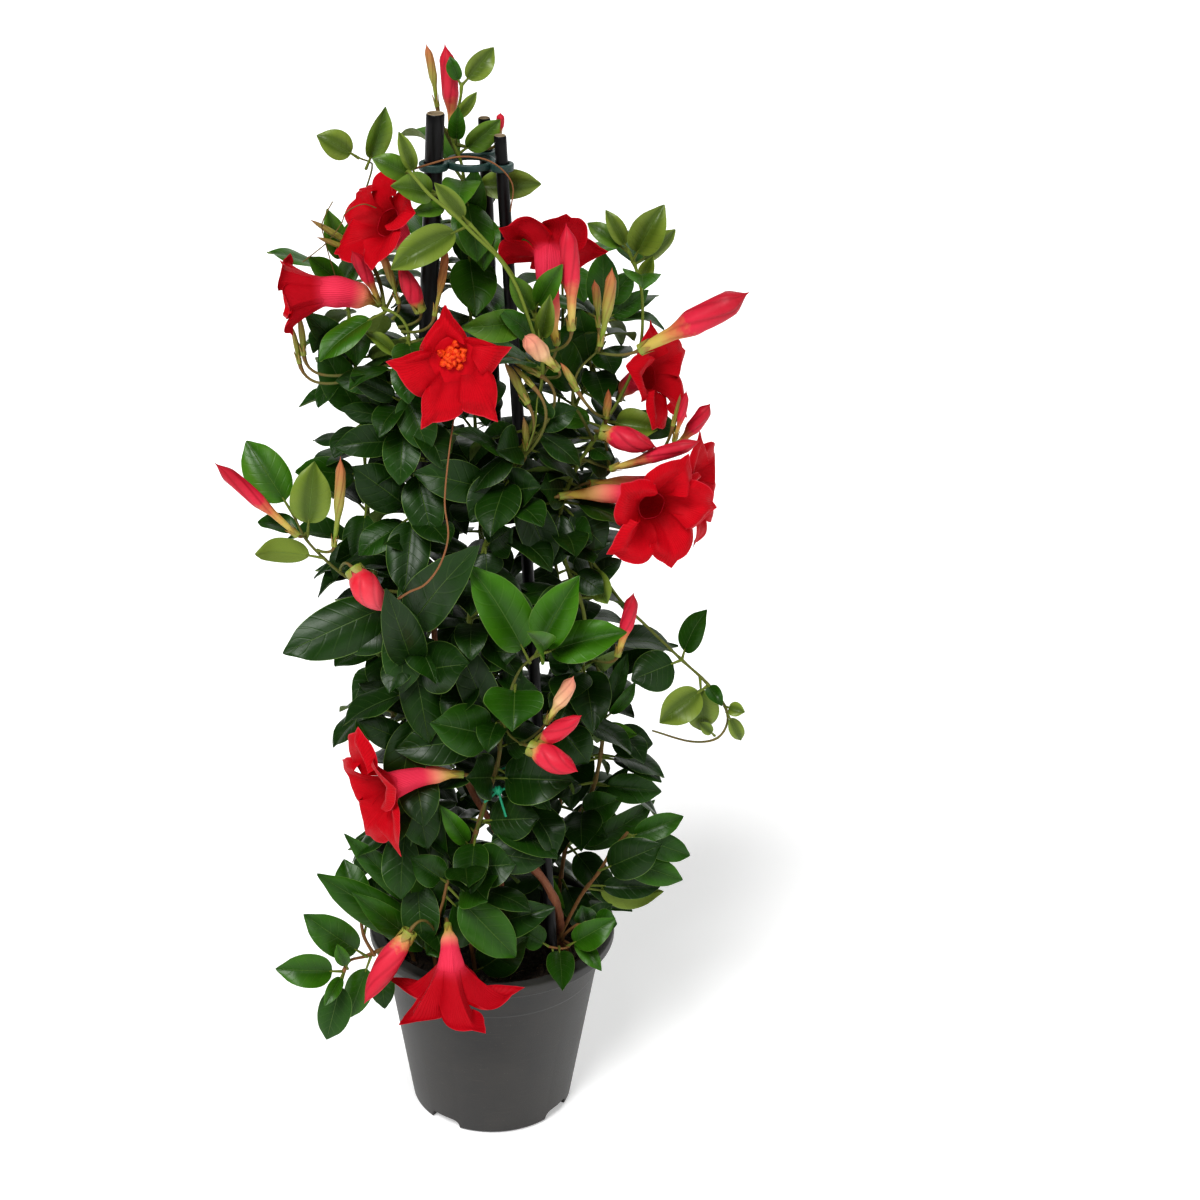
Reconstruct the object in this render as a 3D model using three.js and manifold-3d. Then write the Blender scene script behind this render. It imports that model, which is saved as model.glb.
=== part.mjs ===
// A climbing mandevilla in its nursery pot: three canes held by a clip ring carry the twining
// vines, their opposite leaves, the trumpet blooms and the buds. Millimetres, +Z up; the origin is
// on the pot's axis, on the surface that the pot stands on, and -Y is the plant's front.
import * as THREE from "three";
import { mergeVertices } from "three/addons/utils/BufferGeometryUtils.js";
import Module from "manifold-3d";

const wasm = await Module();
wasm.setup();

// ---- driving dimensions ---------------------------------------------------------------------
const GAP = 0.3; // between pieces that touch
const POT_HEIGHT = 140;
const POT_RIM_RADIUS = 85;
const POT_NECK_RADIUS = 77; // wall, just under the rim
const POT_BASE_RADIUS = 56;
const POT_WALL = 1.6;
const POT_FLOOR = 2.4;
const POT_SIDES = 32;
const RIM_DROP = 8; // height of the rim's rolled edge
const LEDGE_DROP = 31; // faint step in the wall, below the rim
const LEDGE_STEP = 0.6;
const NOTCH = { wide: 24, high: 7, deep: 8, angles: [-36, 54, 144, 234] };
const SOIL_TOP = 124;
const SOIL_RELIEF = 2.6;
const SOIL_SIDES = 16;
const SOIL_RINGS = 4;
const ROOT_DEPTH = 18; // from a route's first point down to the stem's foot in the soil
const HOLE_SLACK = 0.8; // hole radius over the stem's
const CANE_FOOT = 104; // height of a cane's buried end
const CANE_SIDES = 10;
const CANES = [
  { name: "cane_left", radius: 5.6, foot: [-59, -20], ring: [-35, -7], top: 711 },
  { name: "cane_right", radius: 3.8, foot: [42, -45], ring: [6, -9], top: 698 },
  { name: "cane_back", radius: 3.8, foot: [15, 60], ring: [-4, 19], top: 702 },
];
const CLIP_LEVEL = 679; // underside of the clip is half its height lower
const CLIP = { centre: [-13, 0], radius: 13.5, band: 3, height: 4.6, slack: 0.7, sides: 12 };
const LEAF_THICKNESS = 0.7;
const LEAF_FOLD = 16; // degrees, the blade halves rise from the midrib
const LEAF_ARCH = 0.07; // rise of the midrib over its chord, as a part of the length
const LEAF_SECTIONS = [[0.28, 0.94], [0.7, 0.88]]; // along the blade, part of the width
const PETIOLE = { part: 0.2, least: 4, most: 14 };
const THIN = 1.4; // a bar of less radius has its sections closer, by the part below
const THIN_STEP = 0.6;
const STEM_SIDES = 4;
const WOOD_SIDES = 6;
const STEM_STEP = 28; // between a stem's sections
const CLEARANCE = 3.6; // between a blade and its neighbours, where it is laid out
const OWN_CLEARANCE = 2; // the same, to its own vine
const BLADE_GRID = 3; // spacing of the points that stand for a blade in that layout
const STEM_GRID = 3;
const LAST_PLACE = 0.985; // the end of a shoot that leaves may stand at
const POT_MARGIN = 3; // between a blade and the pot or the soil
const OWN_ROOT = 12; // a blade may come this close to its own stem and sibling
const FRONT = new THREE.Vector3(0, -0.85, 0.5); // where placed leaves turn their upper faces
const UP = new THREE.Vector3(0, 0, 1);
// tries for a placed leaf: how far its tip moves back in mm, and the part of its size that is kept
const TIP_SHIFTS = [0, -5, 5, -10, 10, -15, 15, -20, 20, -27, 27, -34, 34];
const PLACED_PARTS = [1, 0.9, 0.8];
// tries for a grown leaf: turn about the stem in degrees, part of its length
const GROWN_TRIES = [[0, 1], [24, 1], [-24, 1], [46, 0.9], [-46, 0.9], [0, 0.75], [70, 0.8], [-70, 0.8]];
const GROWN_ANGLE = 62; // degrees between a grown leaf and its stem
const GROWN_DROOP = 0.22;
const GROWN_WIDTH = 0.44; // of the reach
const LEAF_SEED = 20260; // of the draws that vary the grown leaves
const BUD_SIDES = 5;
// radius of a bud along its length, as parts of its half width
const BUD_LONG = [[0, 0.3], [0.32, 0.55], [0.62, 1], [0.84, 0.66], [1, 0]];
const BUD_FULL = [[0, 0.32], [0.2, 0.8], [0.5, 1], [0.8, 0.64], [1, 0]];
const BLOOM_WALL = 0.8;
const BLOOM_TUBE = [[0, 1.8], [0.6, 3.6], [1, 9]]; // along the tube, radius
const BLOOM_LIMB = [0.5, 1]; // rings of the limb, from mouth to edge
// edge of one of the five lobes: part of the radius at 24 degree steps from its notch
const LOBE_EDGE = [0.6, 1, 0.92];
const LOBES = 5;
const HALF_LOBE = 36; // degrees
const BLOOM_GRID = [0.15, 0.38, 0.6, 0.8, 1]; // rings of points that stand for a limb
const STALK = { radius: 1.2, sides: 3, step: 30 };
const STALK_GAP = 0.4; // between a stalk's end and its flower's foot

const COLOURS = {
  pot: 0x3a3c3f, soil: 0x2a211b, cane: 0x14161a, clip: 0x1f4a3a, tie: 0x10907a, wood: 0x6b4630,
  leaf: 0x24521d, petal: 0xc4101c, bud: 0xd8324a,
};

// ---- the vines -------------------------------------------------------------------------------
// Each vine has shoots, as a radius and the points that its route passes; the first one is the main
// stem, and it is rooted in the soil unless it grows from a woody stem. Each placed leaf is: shoot,
// place along that shoot from 0 to 1, its tip's x, y, z, its width, its twist about its own length in
// degrees. Each grown row is: shoot, from, to, pairs, turn of the first pair in degrees, reach.
const VINES = [
  {
    name: "vine_front_left",
    rooted: true,
    shoots: [
      { radius: 1.8, route: [[-38, -42, 128], [-51, -52, 220], [-57, -54, 275], [-46, -57, 329],
        [-51, -54, 377], [-55, -50, 418], [-49, -47, 458], [-48, -44, 497], [-53, -42, 529],
        [-56, -43, 561], [-50, -48, 585], [-55, -46, 597], [-66, -40, 601]] },
      { radius: 1.4, route: [[-55, -50, 416], [-73, -56, 421], [-90, -60, 431], [-104, -62, 445],
        [-115, -63, 459], [-122, -63, 475]] },
      { radius: 0.9, route: [[-55, -50, 416], [-39, -90, 438], [-27, -102, 461], [-28, -98, 500],
        [-23, -88, 541], [-21, -78, 556]] },
    ],
    leaves: [
      [0, 0.55, -83, -72, 448, 22, 25],
      [0, 0.52, -63, -66, 462, 12, 0], [0, 0.41, -16, -84, 472, 32, 0],
      [0, 0.36, -63, -92, 443, 26, 0], [0, 0.45, -131, -74, 385, 35, 0],
      [0, 0.43, -96, -92, 385, 31, 0], [0, 0.36, -16, -100, 391, 34, 0],
      [0, 0.28, -83, -76, 337, 20, 0], [0, 0.38, -38, -62, 366, 15, 0],
      [0, 0.66, -95, -58, 519, 21, 0], [0, 0.69, -92, -52, 541, 15, 0],
      [0, 0.64, -86, -40, 515, 16, 0], [0, 0.56, -85, -64, 510, 28, 0],
      [0, 0.72, -85, -60, 564, 14, 0], [0, 0.75, -95, -44, 556, 17, 0],
      [0, 0.79, -76, -50, 589, 11, 30], [0, 0.23, -71, -66, 295, 19, 0],
      [0, 0.1, -41, -84, 285, 26, 0], [0, 0.09, -91, -78, 211, 20, 0], [0, 0.1, -115, -66, 218, 26, 0],
      [0, 0.12, -96, -60, 244, 17, 0],
      [1, 0.81, -108, -82, 510, 26, 0], [1, 1.0, -151, -70, 516, 28, 0],
      [1, 0.6, -146, -78, 457, 18, 150], [1, 0.8, -146, -58, 465, 15, 30],
    ],
    grown: [[0, 0.3, 0.98, 2, 60, 62]],
  },
  {
    name: "vine_front_centre",
    rooted: true,
    shoots: [
      { radius: 1.8, route: [[-12, -40, 128], [-19, -62, 207], [-8, -57, 254], [5, -62, 309],
        [-1, -60, 352], [-14, -57, 393], [-7, -54, 440], [8, -52, 487], [23, -52, 527], [30, -52, 559],
        [28, -50, 594], [14, -50, 622], [-2, -48, 643], [-25, -44, 666], [-50, -40, 685]] },
      { radius: 1.5, route: [[5, -62, 309], [7, -78, 341], [12, -88, 367], [18, -92, 384],
        [27, -94, 394]] },
      { radius: 1.2, route: [[7, -76, 337], [11, -92, 337], [18, -104, 337]] },
      { radius: 0.8, route: [[-50, -40, 685], [-37, -28, 686], [-18, -26, 690], [0, -24, 686],
        [12, -24, 673], [11, -28, 657]] },
    ],
    leaves: [
      [0, 0.99, -69, -46, 695, 15, 0], [0, 1.0, -54, -40, 710, 10, 0], [0, 0.93, -46, -56, 665, 10, 0],
      [0, 0.9, -33, -54, 682, 12, 0], [0, 0.9, -59, -66, 635, 22, 0], [0, 0.95, -57, -58, 682, 19, 0],
      [0, 0.74, -15, -82, 603, 20, -20], [0, 0.71, 6, -70, 611, 14, 0], [0, 0.74, 11, -62, 627, 14, 0],
      [0, 0.75, 40, -46, 638, 15, 0], [0, 0.71, 34, -60, 623, 12, 0], [0, 0.55, -13, -80, 479, 27, 0],
      [0, 0.56, -22, -70, 535, 20, 60], [0, 0.48, -3, -64, 433, 21, 0],
      [0, 0.53, -45, -74, 508, 26, 0], [0, 0.28, -37, -104, 352, 34, 0],
      [0, 0.24, -16, -98, 309, 31, 0], [0, 0.24, 48, -92, 304, 34, 0], [0, 0.28, -23, -72, 394, 25, 0],
      [0, 0.14, -3, -96, 217, 34, 0], [0, 0.17, 35, -70, 230, 25, 0], [0, 0.17, 51, -62, 243, 30, 0],
      [0, 0.28, -61, -72, 318, 28, 0], [0, 0.17, -32, -76, 274, 14, 0],
      [1, 0.86, -11, -104, 458, 32, 10], [1, 1.0, 51, -102, 455, 27, -10],
      [1, 1.0, 27, -114, 434, 18, 70], [1, 0.99, 82, -108, 417, 27, -15],
      [1, 0.56, 13, -124, 359, 38, 0], [0, 0.55, 38, -62, 439, 24, 0], [0, 0.6, 51, -40, 542, 18, 0],
    ],
    grown: [[0, 0.15, 0.68, 3, 20, 64]],
  },
  {
    name: "vine_front_right",
    rooted: false,
    shoots: [
      { radius: 1.8, route: [[17, -40, 225], [18, -45, 262], [34, -44, 307], [54, -42, 342],
        [59, -40, 392], [46, -38, 433], [43, -36, 466], [52, -32, 492], [63, -28, 510], [80, -20, 537],
        [91, -15, 565], [92, -12, 596], [88, -12, 615], [82, -12, 629]] },
      { radius: 1.3, route: [[44, -38, 443], [62, -34, 431], [82, -28, 400], [99, -26, 381],
        [123, -26, 356], [138, -28, 342], [151, -30, 326], [154, -30, 312], [147, -32, 301],
        [130, -32, 299], [105, -32, 307]] },
      { radius: 1.3, route: [[63, -28, 510], [54, -40, 532], [49, -44, 542], [52, -46, 562],
        [64, -46, 576]] },
      { radius: 1.2, route: [[56, -31, 499], [75, -34, 494], [95, -34, 497], [109, -36, 504]] },
    ],
    leaves: [
      [0, 0.48, 34, -60, 434, 27, 0], [0, 0.95, 102, -18, 657, 22, 0], [0, 0.94, 112, 4, 636, 14, 40],
      [0, 1.0, 58, -4, 643, 12, 0], [0, 1.0, 69, -18, 653, 11, 0], [0, 0.88, 97, -18, 628, 10, 0],
      [0, 0.65, 102, -44, 520, 21, 0], [0, 0.65, 117, -18, 514, 19, 0],
      [0, 0.64, 29, -50, 528, 19, 30], [0, 0.47, 71, -48, 444, 29, 0], [0, 0.37, 70, -54, 418, 18, 0],
      [0, 0.24, 40, -56, 386, 23, 0], [0, 0.23, 43, -66, 333, 26, 0], [1, 0.4, 90, -46, 352, 28, 0],
      [1, 0.4, 135, -40, 398, 18, -30], [1, 0.52, 109, -46, 321, 23, 0],
      [1, 0.48, 138, -30, 305, 22, 0], [1, 0.51, 148, -46, 334, 10, 0],
      [1, 0.61, 164, -38, 324, 10, 0], [1, 0.64, 164, -30, 298, 10, 0], [1, 0.1, 73, -50, 408, 18, 30],
      [1, 0.8, 135, -35, 315, 8, 0],
    ],
    grown: [[0, 0.05, 0.9, 3, 15, 64]],
  },
  {
    name: "vine_right",
    rooted: true,
    shoots: [
      { radius: 1.8, route: [[45, 15, 128], [52, 12, 197], [68, 4, 241], [74, 0, 282], [73, 0, 320],
        [65, 2, 356], [54, 10, 389], [44, 14, 423], [39, 16, 465], [45, 15, 500], [61, 12, 535],
        [69, 10, 566], [70, 10, 589]] },
    ],
    leaves: [
      [0, 0.79, 28, -8, 510, 20, 0], [0, 0.95, 68, 2, 622, 21, 0], [0, 0.98, 87, 4, 609, 16, 0],
      [0, 0.95, 97, 4, 595, 13, 20], [0, 0.86, 54, 0, 585, 24, 0], [0, 0.81, 35, -4, 579, 25, 0],
      [0, 0.84, 83, 4, 532, 11, 0], [0, 0.31, 107, -8, 284, 24, 0], [0, 0.32, 93, -26, 301, 14, 0],
      [0, 0.24, 114, -6, 246, 21, 0], [0, 0.34, 95, -6, 327, 10, 30], [0, 0.34, 89, 2, 345, 12, 0],
      [0, 0.19, 85, -12, 243, 23, 0], [0, 0.15, 49, -8, 222, 20, 0], [0, 0.17, 79, -14, 208, 18, 0],
      [0, 0.17, 94, 2, 253, 12, 0], [0, 0.14, 111, -2, 227, 20, 20], [0, 0.08, 69, -14, 149, 28, 0],
      [0, 0.07, 41, -20, 182, 14, 0],
    ],
    grown: [[0, 0.1, 0.95, 4, 20, 62]],
  },
  {
    name: "vine_left",
    rooted: true,
    shoots: [
      { radius: 1.8, route: [[-40, 18, 128], [-47, 28, 179], [-65, 24, 238], [-67, 20, 302],
        [-69, 16, 349], [-77, 16, 401], [-81, 20, 442], [-82, 20, 484], [-83, 20, 518], [-88, 18, 553],
        [-90, 14, 587], [-91, 8, 614]] },
      { radius: 1.0, route: [[-90, 14, 587], [-80, 4, 620], [-79, 0, 651], [-72, -2, 677],
        [-76, -3, 681], [-80, -4, 683]] },
    ],
    leaves: [
      [0, 1.0, -100, 0, 650, 15, 0], [0, 1.0, -80, -8, 648, 16, 0], [0, 0.94, -112, -6, 622, 15, 0],
      [0, 0.95, -78, -10, 628, 15, 0], [0, 0.81, -113, -4, 584, 19, 0], [0, 0.71, -106, 2, 565, 25, 0],
      [0, 0.79, -107, -10, 558, 16, 50], [0, 0.63, -123, -20, 486, 23, 0],
      [0, 0.53, -98, -20, 425, 23, 0], [1, 0.99, -104, -8, 698, 18, 0],
      [1, 0.61, -63, -6, 714, 15, 25],
    ],
    grown: [[0, 0.1, 0.95, 5, 70, 62]],
  },
  {
    name: "vine_top",
    rooted: true,
    shoots: [
      { radius: 1.8, route: [[5, 40, 128], [4, 46, 250], [-6, 50, 340], [-8, 46, 430], [-12, 34, 520],
        [-14, 24, 590], [-16, 12, 640], [-18, 4, 675], [-24, 2, 695], [-19, 0, 717], [-18, 0, 727]] },
    ],
    leaves: [
      [0, 1.0, 1, 0, 748, 15, 20], [0, 0.99, -25, 4, 743, 9, -20], [0, 0.85, -9, -4, 723, 8, 20],
      [0, 0.79, -20, 14, 717, 11, 0], [0, 0.76, 5, 16, 705, 16, 30],
      [0, 0.69, 30, 6, 664, 19, 10], [0, 0.6, -10, -4, 677, 19, 0], [0, 0.56, -7, 26, 645, 16, 0],
    ],
    grown: [[0, 0.14, 0.7, 5, 35, 62]],
  },
  {
    name: "vine_back_right",
    rooted: true,
    shoots: [
      { radius: 1.6, route: [[28, 45, 128], [52, 52, 230], [50, 62, 330], [38, 58, 430], [45, 46, 530],
        [44, 40, 610]] },
    ],
    leaves: [
    ],
    grown: [[0, 0.1, 1, 7, 50, 72]],
  },
  {
    name: "vine_back_left",
    rooted: true,
    shoots: [
      { radius: 1.6, route: [[-22, 50, 128], [-46, 58, 230], [-52, 58, 330], [-46, 54, 430],
        [-42, 46, 530], [-34, 38, 610]] },
    ],
    leaves: [
    ],
    grown: [[0, 0.1, 1, 7, 10, 72]],
  },
  {
    name: "shoot_low_left",
    rooted: true,
    shoots: [
      { radius: 1.8, route: [[-54, -30, 128], [-59, -37, 142], [-66, -45, 149], [-75, -54, 151],
        [-85, -62, 151], [-95, -70, 153], [-99, -76, 148]] },
      { radius: 1.5, route: [[-79, -58, 149], [-86, -60, 167], [-88, -60, 190]] },
    ],
    leaves: [
      [0, 1.0, -141, -92, 161, 23, 0], [0, 1.0, -111, -88, 101, 23, 0],
      [0, 0.92, -102, -82, 173, 10, 0], [0, 1.0, -110, -96, 139, 10, 0],
      [0, 0.7, -122, -74, 190, 25, 0], [0, 0.66, -97, -66, 104, 20, 0],
      [0, 0.58, -72, -72, 119, 18, 0], [1, 0.68, -99, -66, 213, 24, 0],
      [1, 0.49, -76, -52, 201, 19, 0],
    ],
    grown: [],
  },
  {
    name: "shoot_low_front",
    rooted: true,
    shoots: [
      { radius: 1.8, route: [[-30, -56, 128], [-35, -68, 180], [-32, -72, 202], [-29, -72, 217]] },
    ],
    leaves: [
      [0, 0.8, -5, -98, 170, 39, 0], [0, 0.93, 16, -84, 165, 30, 0], [0, 0.42, -43, -78, 164, 19, 0],
      [0, 0.97, -52, -80, 239, 22, 0],
    ],
    grown: [],
  },
  {
    name: "shoot_low_right",
    rooted: true,
    shoots: [
      { radius: 1.8, route: [[40, -30, 128], [59, -22, 170], [72, -24, 193], [81, -26, 212],
        [91, -26, 226]] },
    ],
    leaves: [
      [0, 0.92, 128, -24, 237, 17, 0], [0, 1.0, 134, -30, 207, 19, 0], [0, 0.61, 112, -44, 227, 28, 0],
      [0, 0.75, 129, -30, 191, 21, 0], [0, 0.49, 114, -26, 183, 17, 0],
      [0, 0.47, 116, -14, 170, 20, 160],
    ],
    grown: [],
  },
  {
    name: "shoot_rim_right",
    rooted: true,
    shoots: [
      { radius: 1.5, route: [[52, -22, 128], [48, -30, 144], [56, -36, 158], [66, -40, 167]] },
      { radius: 1.2, route: [[49, -28, 141], [53, -42, 147], [48, -54, 152], [38, -58, 156]] },
    ],
    leaves: [
      [0, 1.0, 84, -46, 166, 19, 0], [0, 0.66, 73, -58, 141, 13, 0], [1, 0.9, 43, -66, 138, 11, 0],
      [0, 0.68, 82, -26, 169, 14, 0], [1, 1.0, 19, -56, 169, 18, 0],
    ],
    grown: [],
  },
];

// Old brown stems, from the soil up; the vine on the front right grows on from the first one's end.
const WOODY_STEMS = [
  { name: "woody_stem_front", radius: 2.9,
    route: [[46, -16, 128], [46, -18, 150], [43, -23, 171], [33, -30, 193], [21, -37, 213],
      [18, -39, 223]] },
  { name: "woody_stem_tall", radius: 2.2,
    route: [[4, -14, 128], [6, -22, 180], [4, -30, 221], [0, -36, 238], [-13, -38, 264], [-24, -36, 295],
      [-31, -34, 316], [-36, -32, 359], [-38, -30, 401]] },
];
// Soft ties: a closed loop that starts at its knot, and the two cut ends.
const TIES = [
  { name: "tie_front", radius: 0.8, knot: 3,
    loop: [[4, -70, 284], [23, -56, 285], [38, -41, 284], [37, -30, 284], [28, -28, 285], [10, -43, 286],
      [-5, -56, 286], [-7, -62, 286]],
    ends: [[[6, -74, 278], [9, -76, 268]], [[-1, -74, 281], [-5, -75, 278]]] },
  { name: "tie_left", radius: 0.8, knot: 1.6,
    loop: [[-59, -16, 300], [-55, -9, 300], [-47, -9, 300], [-43, -16, 300], [-47, -23, 300],
      [-55, -23, 300]],
    ends: [[[-61, -21, 297], [-60, -26, 293]]] },
];

// ---- the flowers ------------------------------------------------------------------------------
// on: the vine, its shoot and the place along it that the stalk leaves.
const BUDS = [
  { name: "bud_top_red", on: ["vine_top", 0, 0.75],
    base: [-24, 10, 690], tip: [-28, 8, 749], width: 10 },
  { name: "bud_top_orange", on: ["vine_top", 0, 0.75],
    base: [-33, 8, 712], tip: [-39, 4, 750], width: 5 },
  { name: "bud_far_right", on: ["vine_front_right", 2, 1.0],
    base: [89, -58, 581], tip: [151, -70, 621], width: 16 },
  { name: "bud_left_oval", on: ["vine_front_left", 1, 0.47],
    base: [-85, -78, 445], tip: [-66, -94, 424], width: 18, full: true },
  { name: "bud_left_long", on: ["vine_front_left", 1, 0.83],
    base: [-120, -70, 465], tip: [-167, -80, 517], width: 9 },
  { name: "bud_left_orange", on: ["vine_front_left", 1, 0.68],
    base: [-97, -72, 459], tip: [-91, -80, 521], width: 8 },
  { name: "bud_mid_right_fat", on: ["vine_front_right", 0, 0.63],
    base: [68, -44, 522], tip: [100, -58, 518], width: 15, full: true },
  { name: "bud_mid_right_low", on: ["vine_front_right", 3, 0.33],
    base: [74, -44, 498], tip: [127, -62, 524], width: 9 },
  { name: "bud_mid_right_up", on: ["vine_front_right", 3, 1.0],
    base: [114, -30, 506], tip: [134, -36, 538], width: 9 },
  { name: "bud_mid_right_thin", on: ["vine_front_right", 3, 1.0],
    base: [112, -44, 517], tip: [118, -48, 551], width: 5 },
  { name: "bud_right_low", on: ["vine_front_right", 0, 0.27],
    base: [80, -50, 372], tip: [89, -52, 417], width: 9 },
  { name: "bud_front_lower", on: ["vine_front_centre", 2, 1.0],
    base: [24, -112, 339], tip: [53, -128, 331], width: 16, full: true },
  { name: "bud_front_middle", on: ["vine_front_centre", 2, 1.0],
    base: [30, -108, 341], tip: [55, -120, 366], width: 12, full: true },
  { name: "bud_front_upper", on: ["vine_front_centre", 2, 1.0],
    base: [34, -106, 354], tip: [50, -112, 389], width: 9 },
  { name: "bud_rim_left", on: ["shoot_low_front", 0, 0.35],
    base: [-54, -90, 189], tip: [-84, -104, 142], width: 16, full: true },
  { name: "bud_high_left_red", on: ["vine_front_left", 0, 0.9],
    base: [-43, -52, 604], tip: [-55, -56, 633], width: 11, full: true },
  { name: "bud_high_left_pink", on: ["vine_front_left", 0, 1.0],
    base: [-68, -32, 602], tip: [-83, -50, 640], width: 8 },
  { name: "bud_high_left_orange", on: ["vine_front_left", 0, 0.94],
    base: [-56, -44, 606], tip: [-66, -46, 638], width: 5 },
  { name: "bud_high_right_red", on: ["vine_front_centre", 0, 0.7],
    base: [47, -66, 597], tip: [43, -66, 662], width: 11 },
  { name: "bud_high_right_orange", on: ["vine_front_right", 2, 1.0],
    base: [65, -52, 582], tip: [71, -54, 631], width: 7 },
  { name: "bud_high_right_thin", on: ["vine_front_right", 2, 1.0],
    base: [64, -44, 591], tip: [61, -44, 620], width: 5 },
  { name: "bud_centre_pale", on: ["vine_front_centre", 0, 0.67],
    base: [38, -76, 576], tip: [19, -92, 602], width: 11 },
  { name: "bud_cane_brown", on: ["vine_front_left", 0, 0.88],
    base: [-34, -58, 603], tip: [-27, -52, 644], width: 5 },
  { name: "bud_behind_cane", on: ["vine_top", 0, 0.79],
    base: [4, 8, 692], tip: [5, 6, 708], width: 5 },
];
// facing: azimuth from the front towards +X and elevation, in degrees; roll turns the five lobes;
// dish is how far the limb flares forward, and sag how far its edge hangs below the mouth.
const BLOOMS = [
  { name: "bloom_star", on: ["vine_front_left", 0, 0.83],
    base: [-21, -66, 591], mouth: [-23, -98, 592], facing: [5, 10],
    roll: 7, radius: 37, dish: 8, sag: 11 },
  { name: "bloom_right_front", on: ["vine_front_right", 0, 0.48],
    base: [42, -48, 481], mouth: [98, -60, 480], facing: [25, -2],
    roll: 68, radius: 37, dish: 18, sag: 0 },
  { name: "bloom_right_back", on: ["vine_front_right", 0, 0.49],
    base: [61, -30, 482], mouth: [122, -18, 474], facing: [70, 5],
    roll: 20, radius: 35, dish: 14, sag: 0 },
  { name: "bloom_left_high", on: ["vine_front_left", 0, 1.0],
    base: [-69, -24, 598], mouth: [-102, -34, 609], facing: [-94, -5],
    roll: 60, radius: 31, dish: 24, sag: 0 },
  { name: "bloom_left_top", on: ["vine_front_left", 0, 1.0],
    base: [-54, -20, 623], mouth: [-62, -30, 651], facing: [-55, 32],
    roll: 20, radius: 33, dish: 12, sag: 0 },
  { name: "bloom_right_top", on: ["vine_front_centre", 0, 0.67],
    base: [39, -40, 579], mouth: [34, -40, 635], facing: [174, 36],
    roll: 38, radius: 33, dish: 8, sag: 0 },
  { name: "bloom_right_mid", on: ["vine_front_right", 0, 0.66],
    base: [80, 0, 527], mouth: [97, -12, 546], facing: [60, 15],
    roll: 10, radius: 33, dish: 12, sag: 0 },
  { name: "bloom_left_low", on: ["vine_front_centre", 0, 0.19],
    base: [-19, -74, 298], mouth: [-64, -88, 298], facing: [-59, -7],
    roll: 33, radius: 40, dish: 18, sag: 0 },
  { name: "bloom_rim_front", on: ["shoot_low_front", 0, 0.37],
    base: [-29, -84, 190], mouth: [-27, -104, 172], facing: [12, -37],
    roll: 51, radius: 42, dish: 25, sag: 0 },
];

// ---- solids -----------------------------------------------------------------------------------
const radians = THREE.MathUtils.degToRad;
const vector = (point) => new THREE.Vector3(...point);

/** A geometry as one closed mesh: positions only, shared vertices merged, no empty triangles. */
function closed(geometry) {
  const bare = geometry.clone();
  bare.deleteAttribute("normal");
  bare.deleteAttribute("uv");
  const merged = mergeVertices(bare, 1e-3);
  const kept = [];
  const index = merged.index.array;
  for (let i = 0; i < index.length; i += 3) {
    const [a, b, c] = [index[i], index[i + 1], index[i + 2]];
    if (a !== b && b !== c && c !== a) kept.push(a, b, c);
  }
  merged.setIndex(kept);
  return merged;
}

/** The manifold solid of a closed geometry. */
function solid(geometry) {
  const mesh = closed(geometry);
  return new wasm.Manifold(new wasm.Mesh({
    numProp: 3,
    vertProperties: new Float32Array(mesh.attributes.position.array),
    triVerts: new Uint32Array(mesh.index.array),
  }));
}

/** The geometry of a manifold solid. */
function geometryOf(manifold) {
  const mesh = manifold.getMesh();
  const geometry = new THREE.BufferGeometry();
  geometry.setAttribute("position", new THREE.BufferAttribute(mesh.vertProperties, 3));
  geometry.setIndex(new THREE.BufferAttribute(mesh.triVerts, 1));
  return geometry;
}

/** All the solids in a list as one. */
const joined = (solids) => solids.reduce((whole, next) => whole.add(next));

/** An indexed geometry from points and triangles. */
function surface(points, triangles) {
  const geometry = new THREE.BufferGeometry();
  const numbers = points.flatMap((p) => p.toArray());
  geometry.setAttribute("position", new THREE.Float32BufferAttribute(numbers, 3));
  geometry.setIndex(triangles.flat());
  return geometry;
}

/** A smooth curve through a route's points, at equal parameter steps between them. */
const curveOf = (route) => new THREE.CatmullRomCurve3(route.map(vector), false, "catmullrom", 0.5);

/** A regular outline for a round section. */
function roundSection(radius, sides) {
  const corners = [];
  for (let i = 0; i < sides; i++) {
    const turn = (i * 2 * Math.PI) / sides;
    corners.push(new THREE.Vector2(radius * Math.cos(turn), radius * Math.sin(turn)));
  }
  return new THREE.Shape(corners);
}

/** How many lengths a bar along a curve has; a thin one has its sections closer. */
function barSteps(curve, radius, step) {
  const length = radius < THIN ? step * THIN_STEP : step;
  return Math.max(2, Math.round(curve.getLength() / length));
}

/** A round bar along a curve. */
function bar(curve, radius, sides, step) {
  const options = { extrudePath: curve, steps: barSteps(curve, radius, step) };
  return new THREE.ExtrudeGeometry(roundSection(radius, sides), options);
}

/** A closed turned body from profile points [radius, height]. */
function turned(profile, sides) {
  const lathe = new THREE.LatheGeometry(profile.map((p) => new THREE.Vector2(...p)), sides);
  return lathe.rotateX(Math.PI / 2);
}

function named(name, geometry, colour, roughness = 0.6) {
  const material = new THREE.MeshStandardMaterial({ color: colour, roughness, metalness: 0 });
  const mesh = new THREE.Mesh(geometry, material);
  mesh.name = name;
  return mesh;
}

// ---- pot, soil and canes ------------------------------------------------------------------------
/** The pot wall's outer radius at a height. */
function wallRadius(z) {
  const part = z / (POT_HEIGHT - RIM_DROP);
  return POT_BASE_RADIUS + (POT_NECK_RADIUS - POT_BASE_RADIUS) * part;
}

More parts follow.
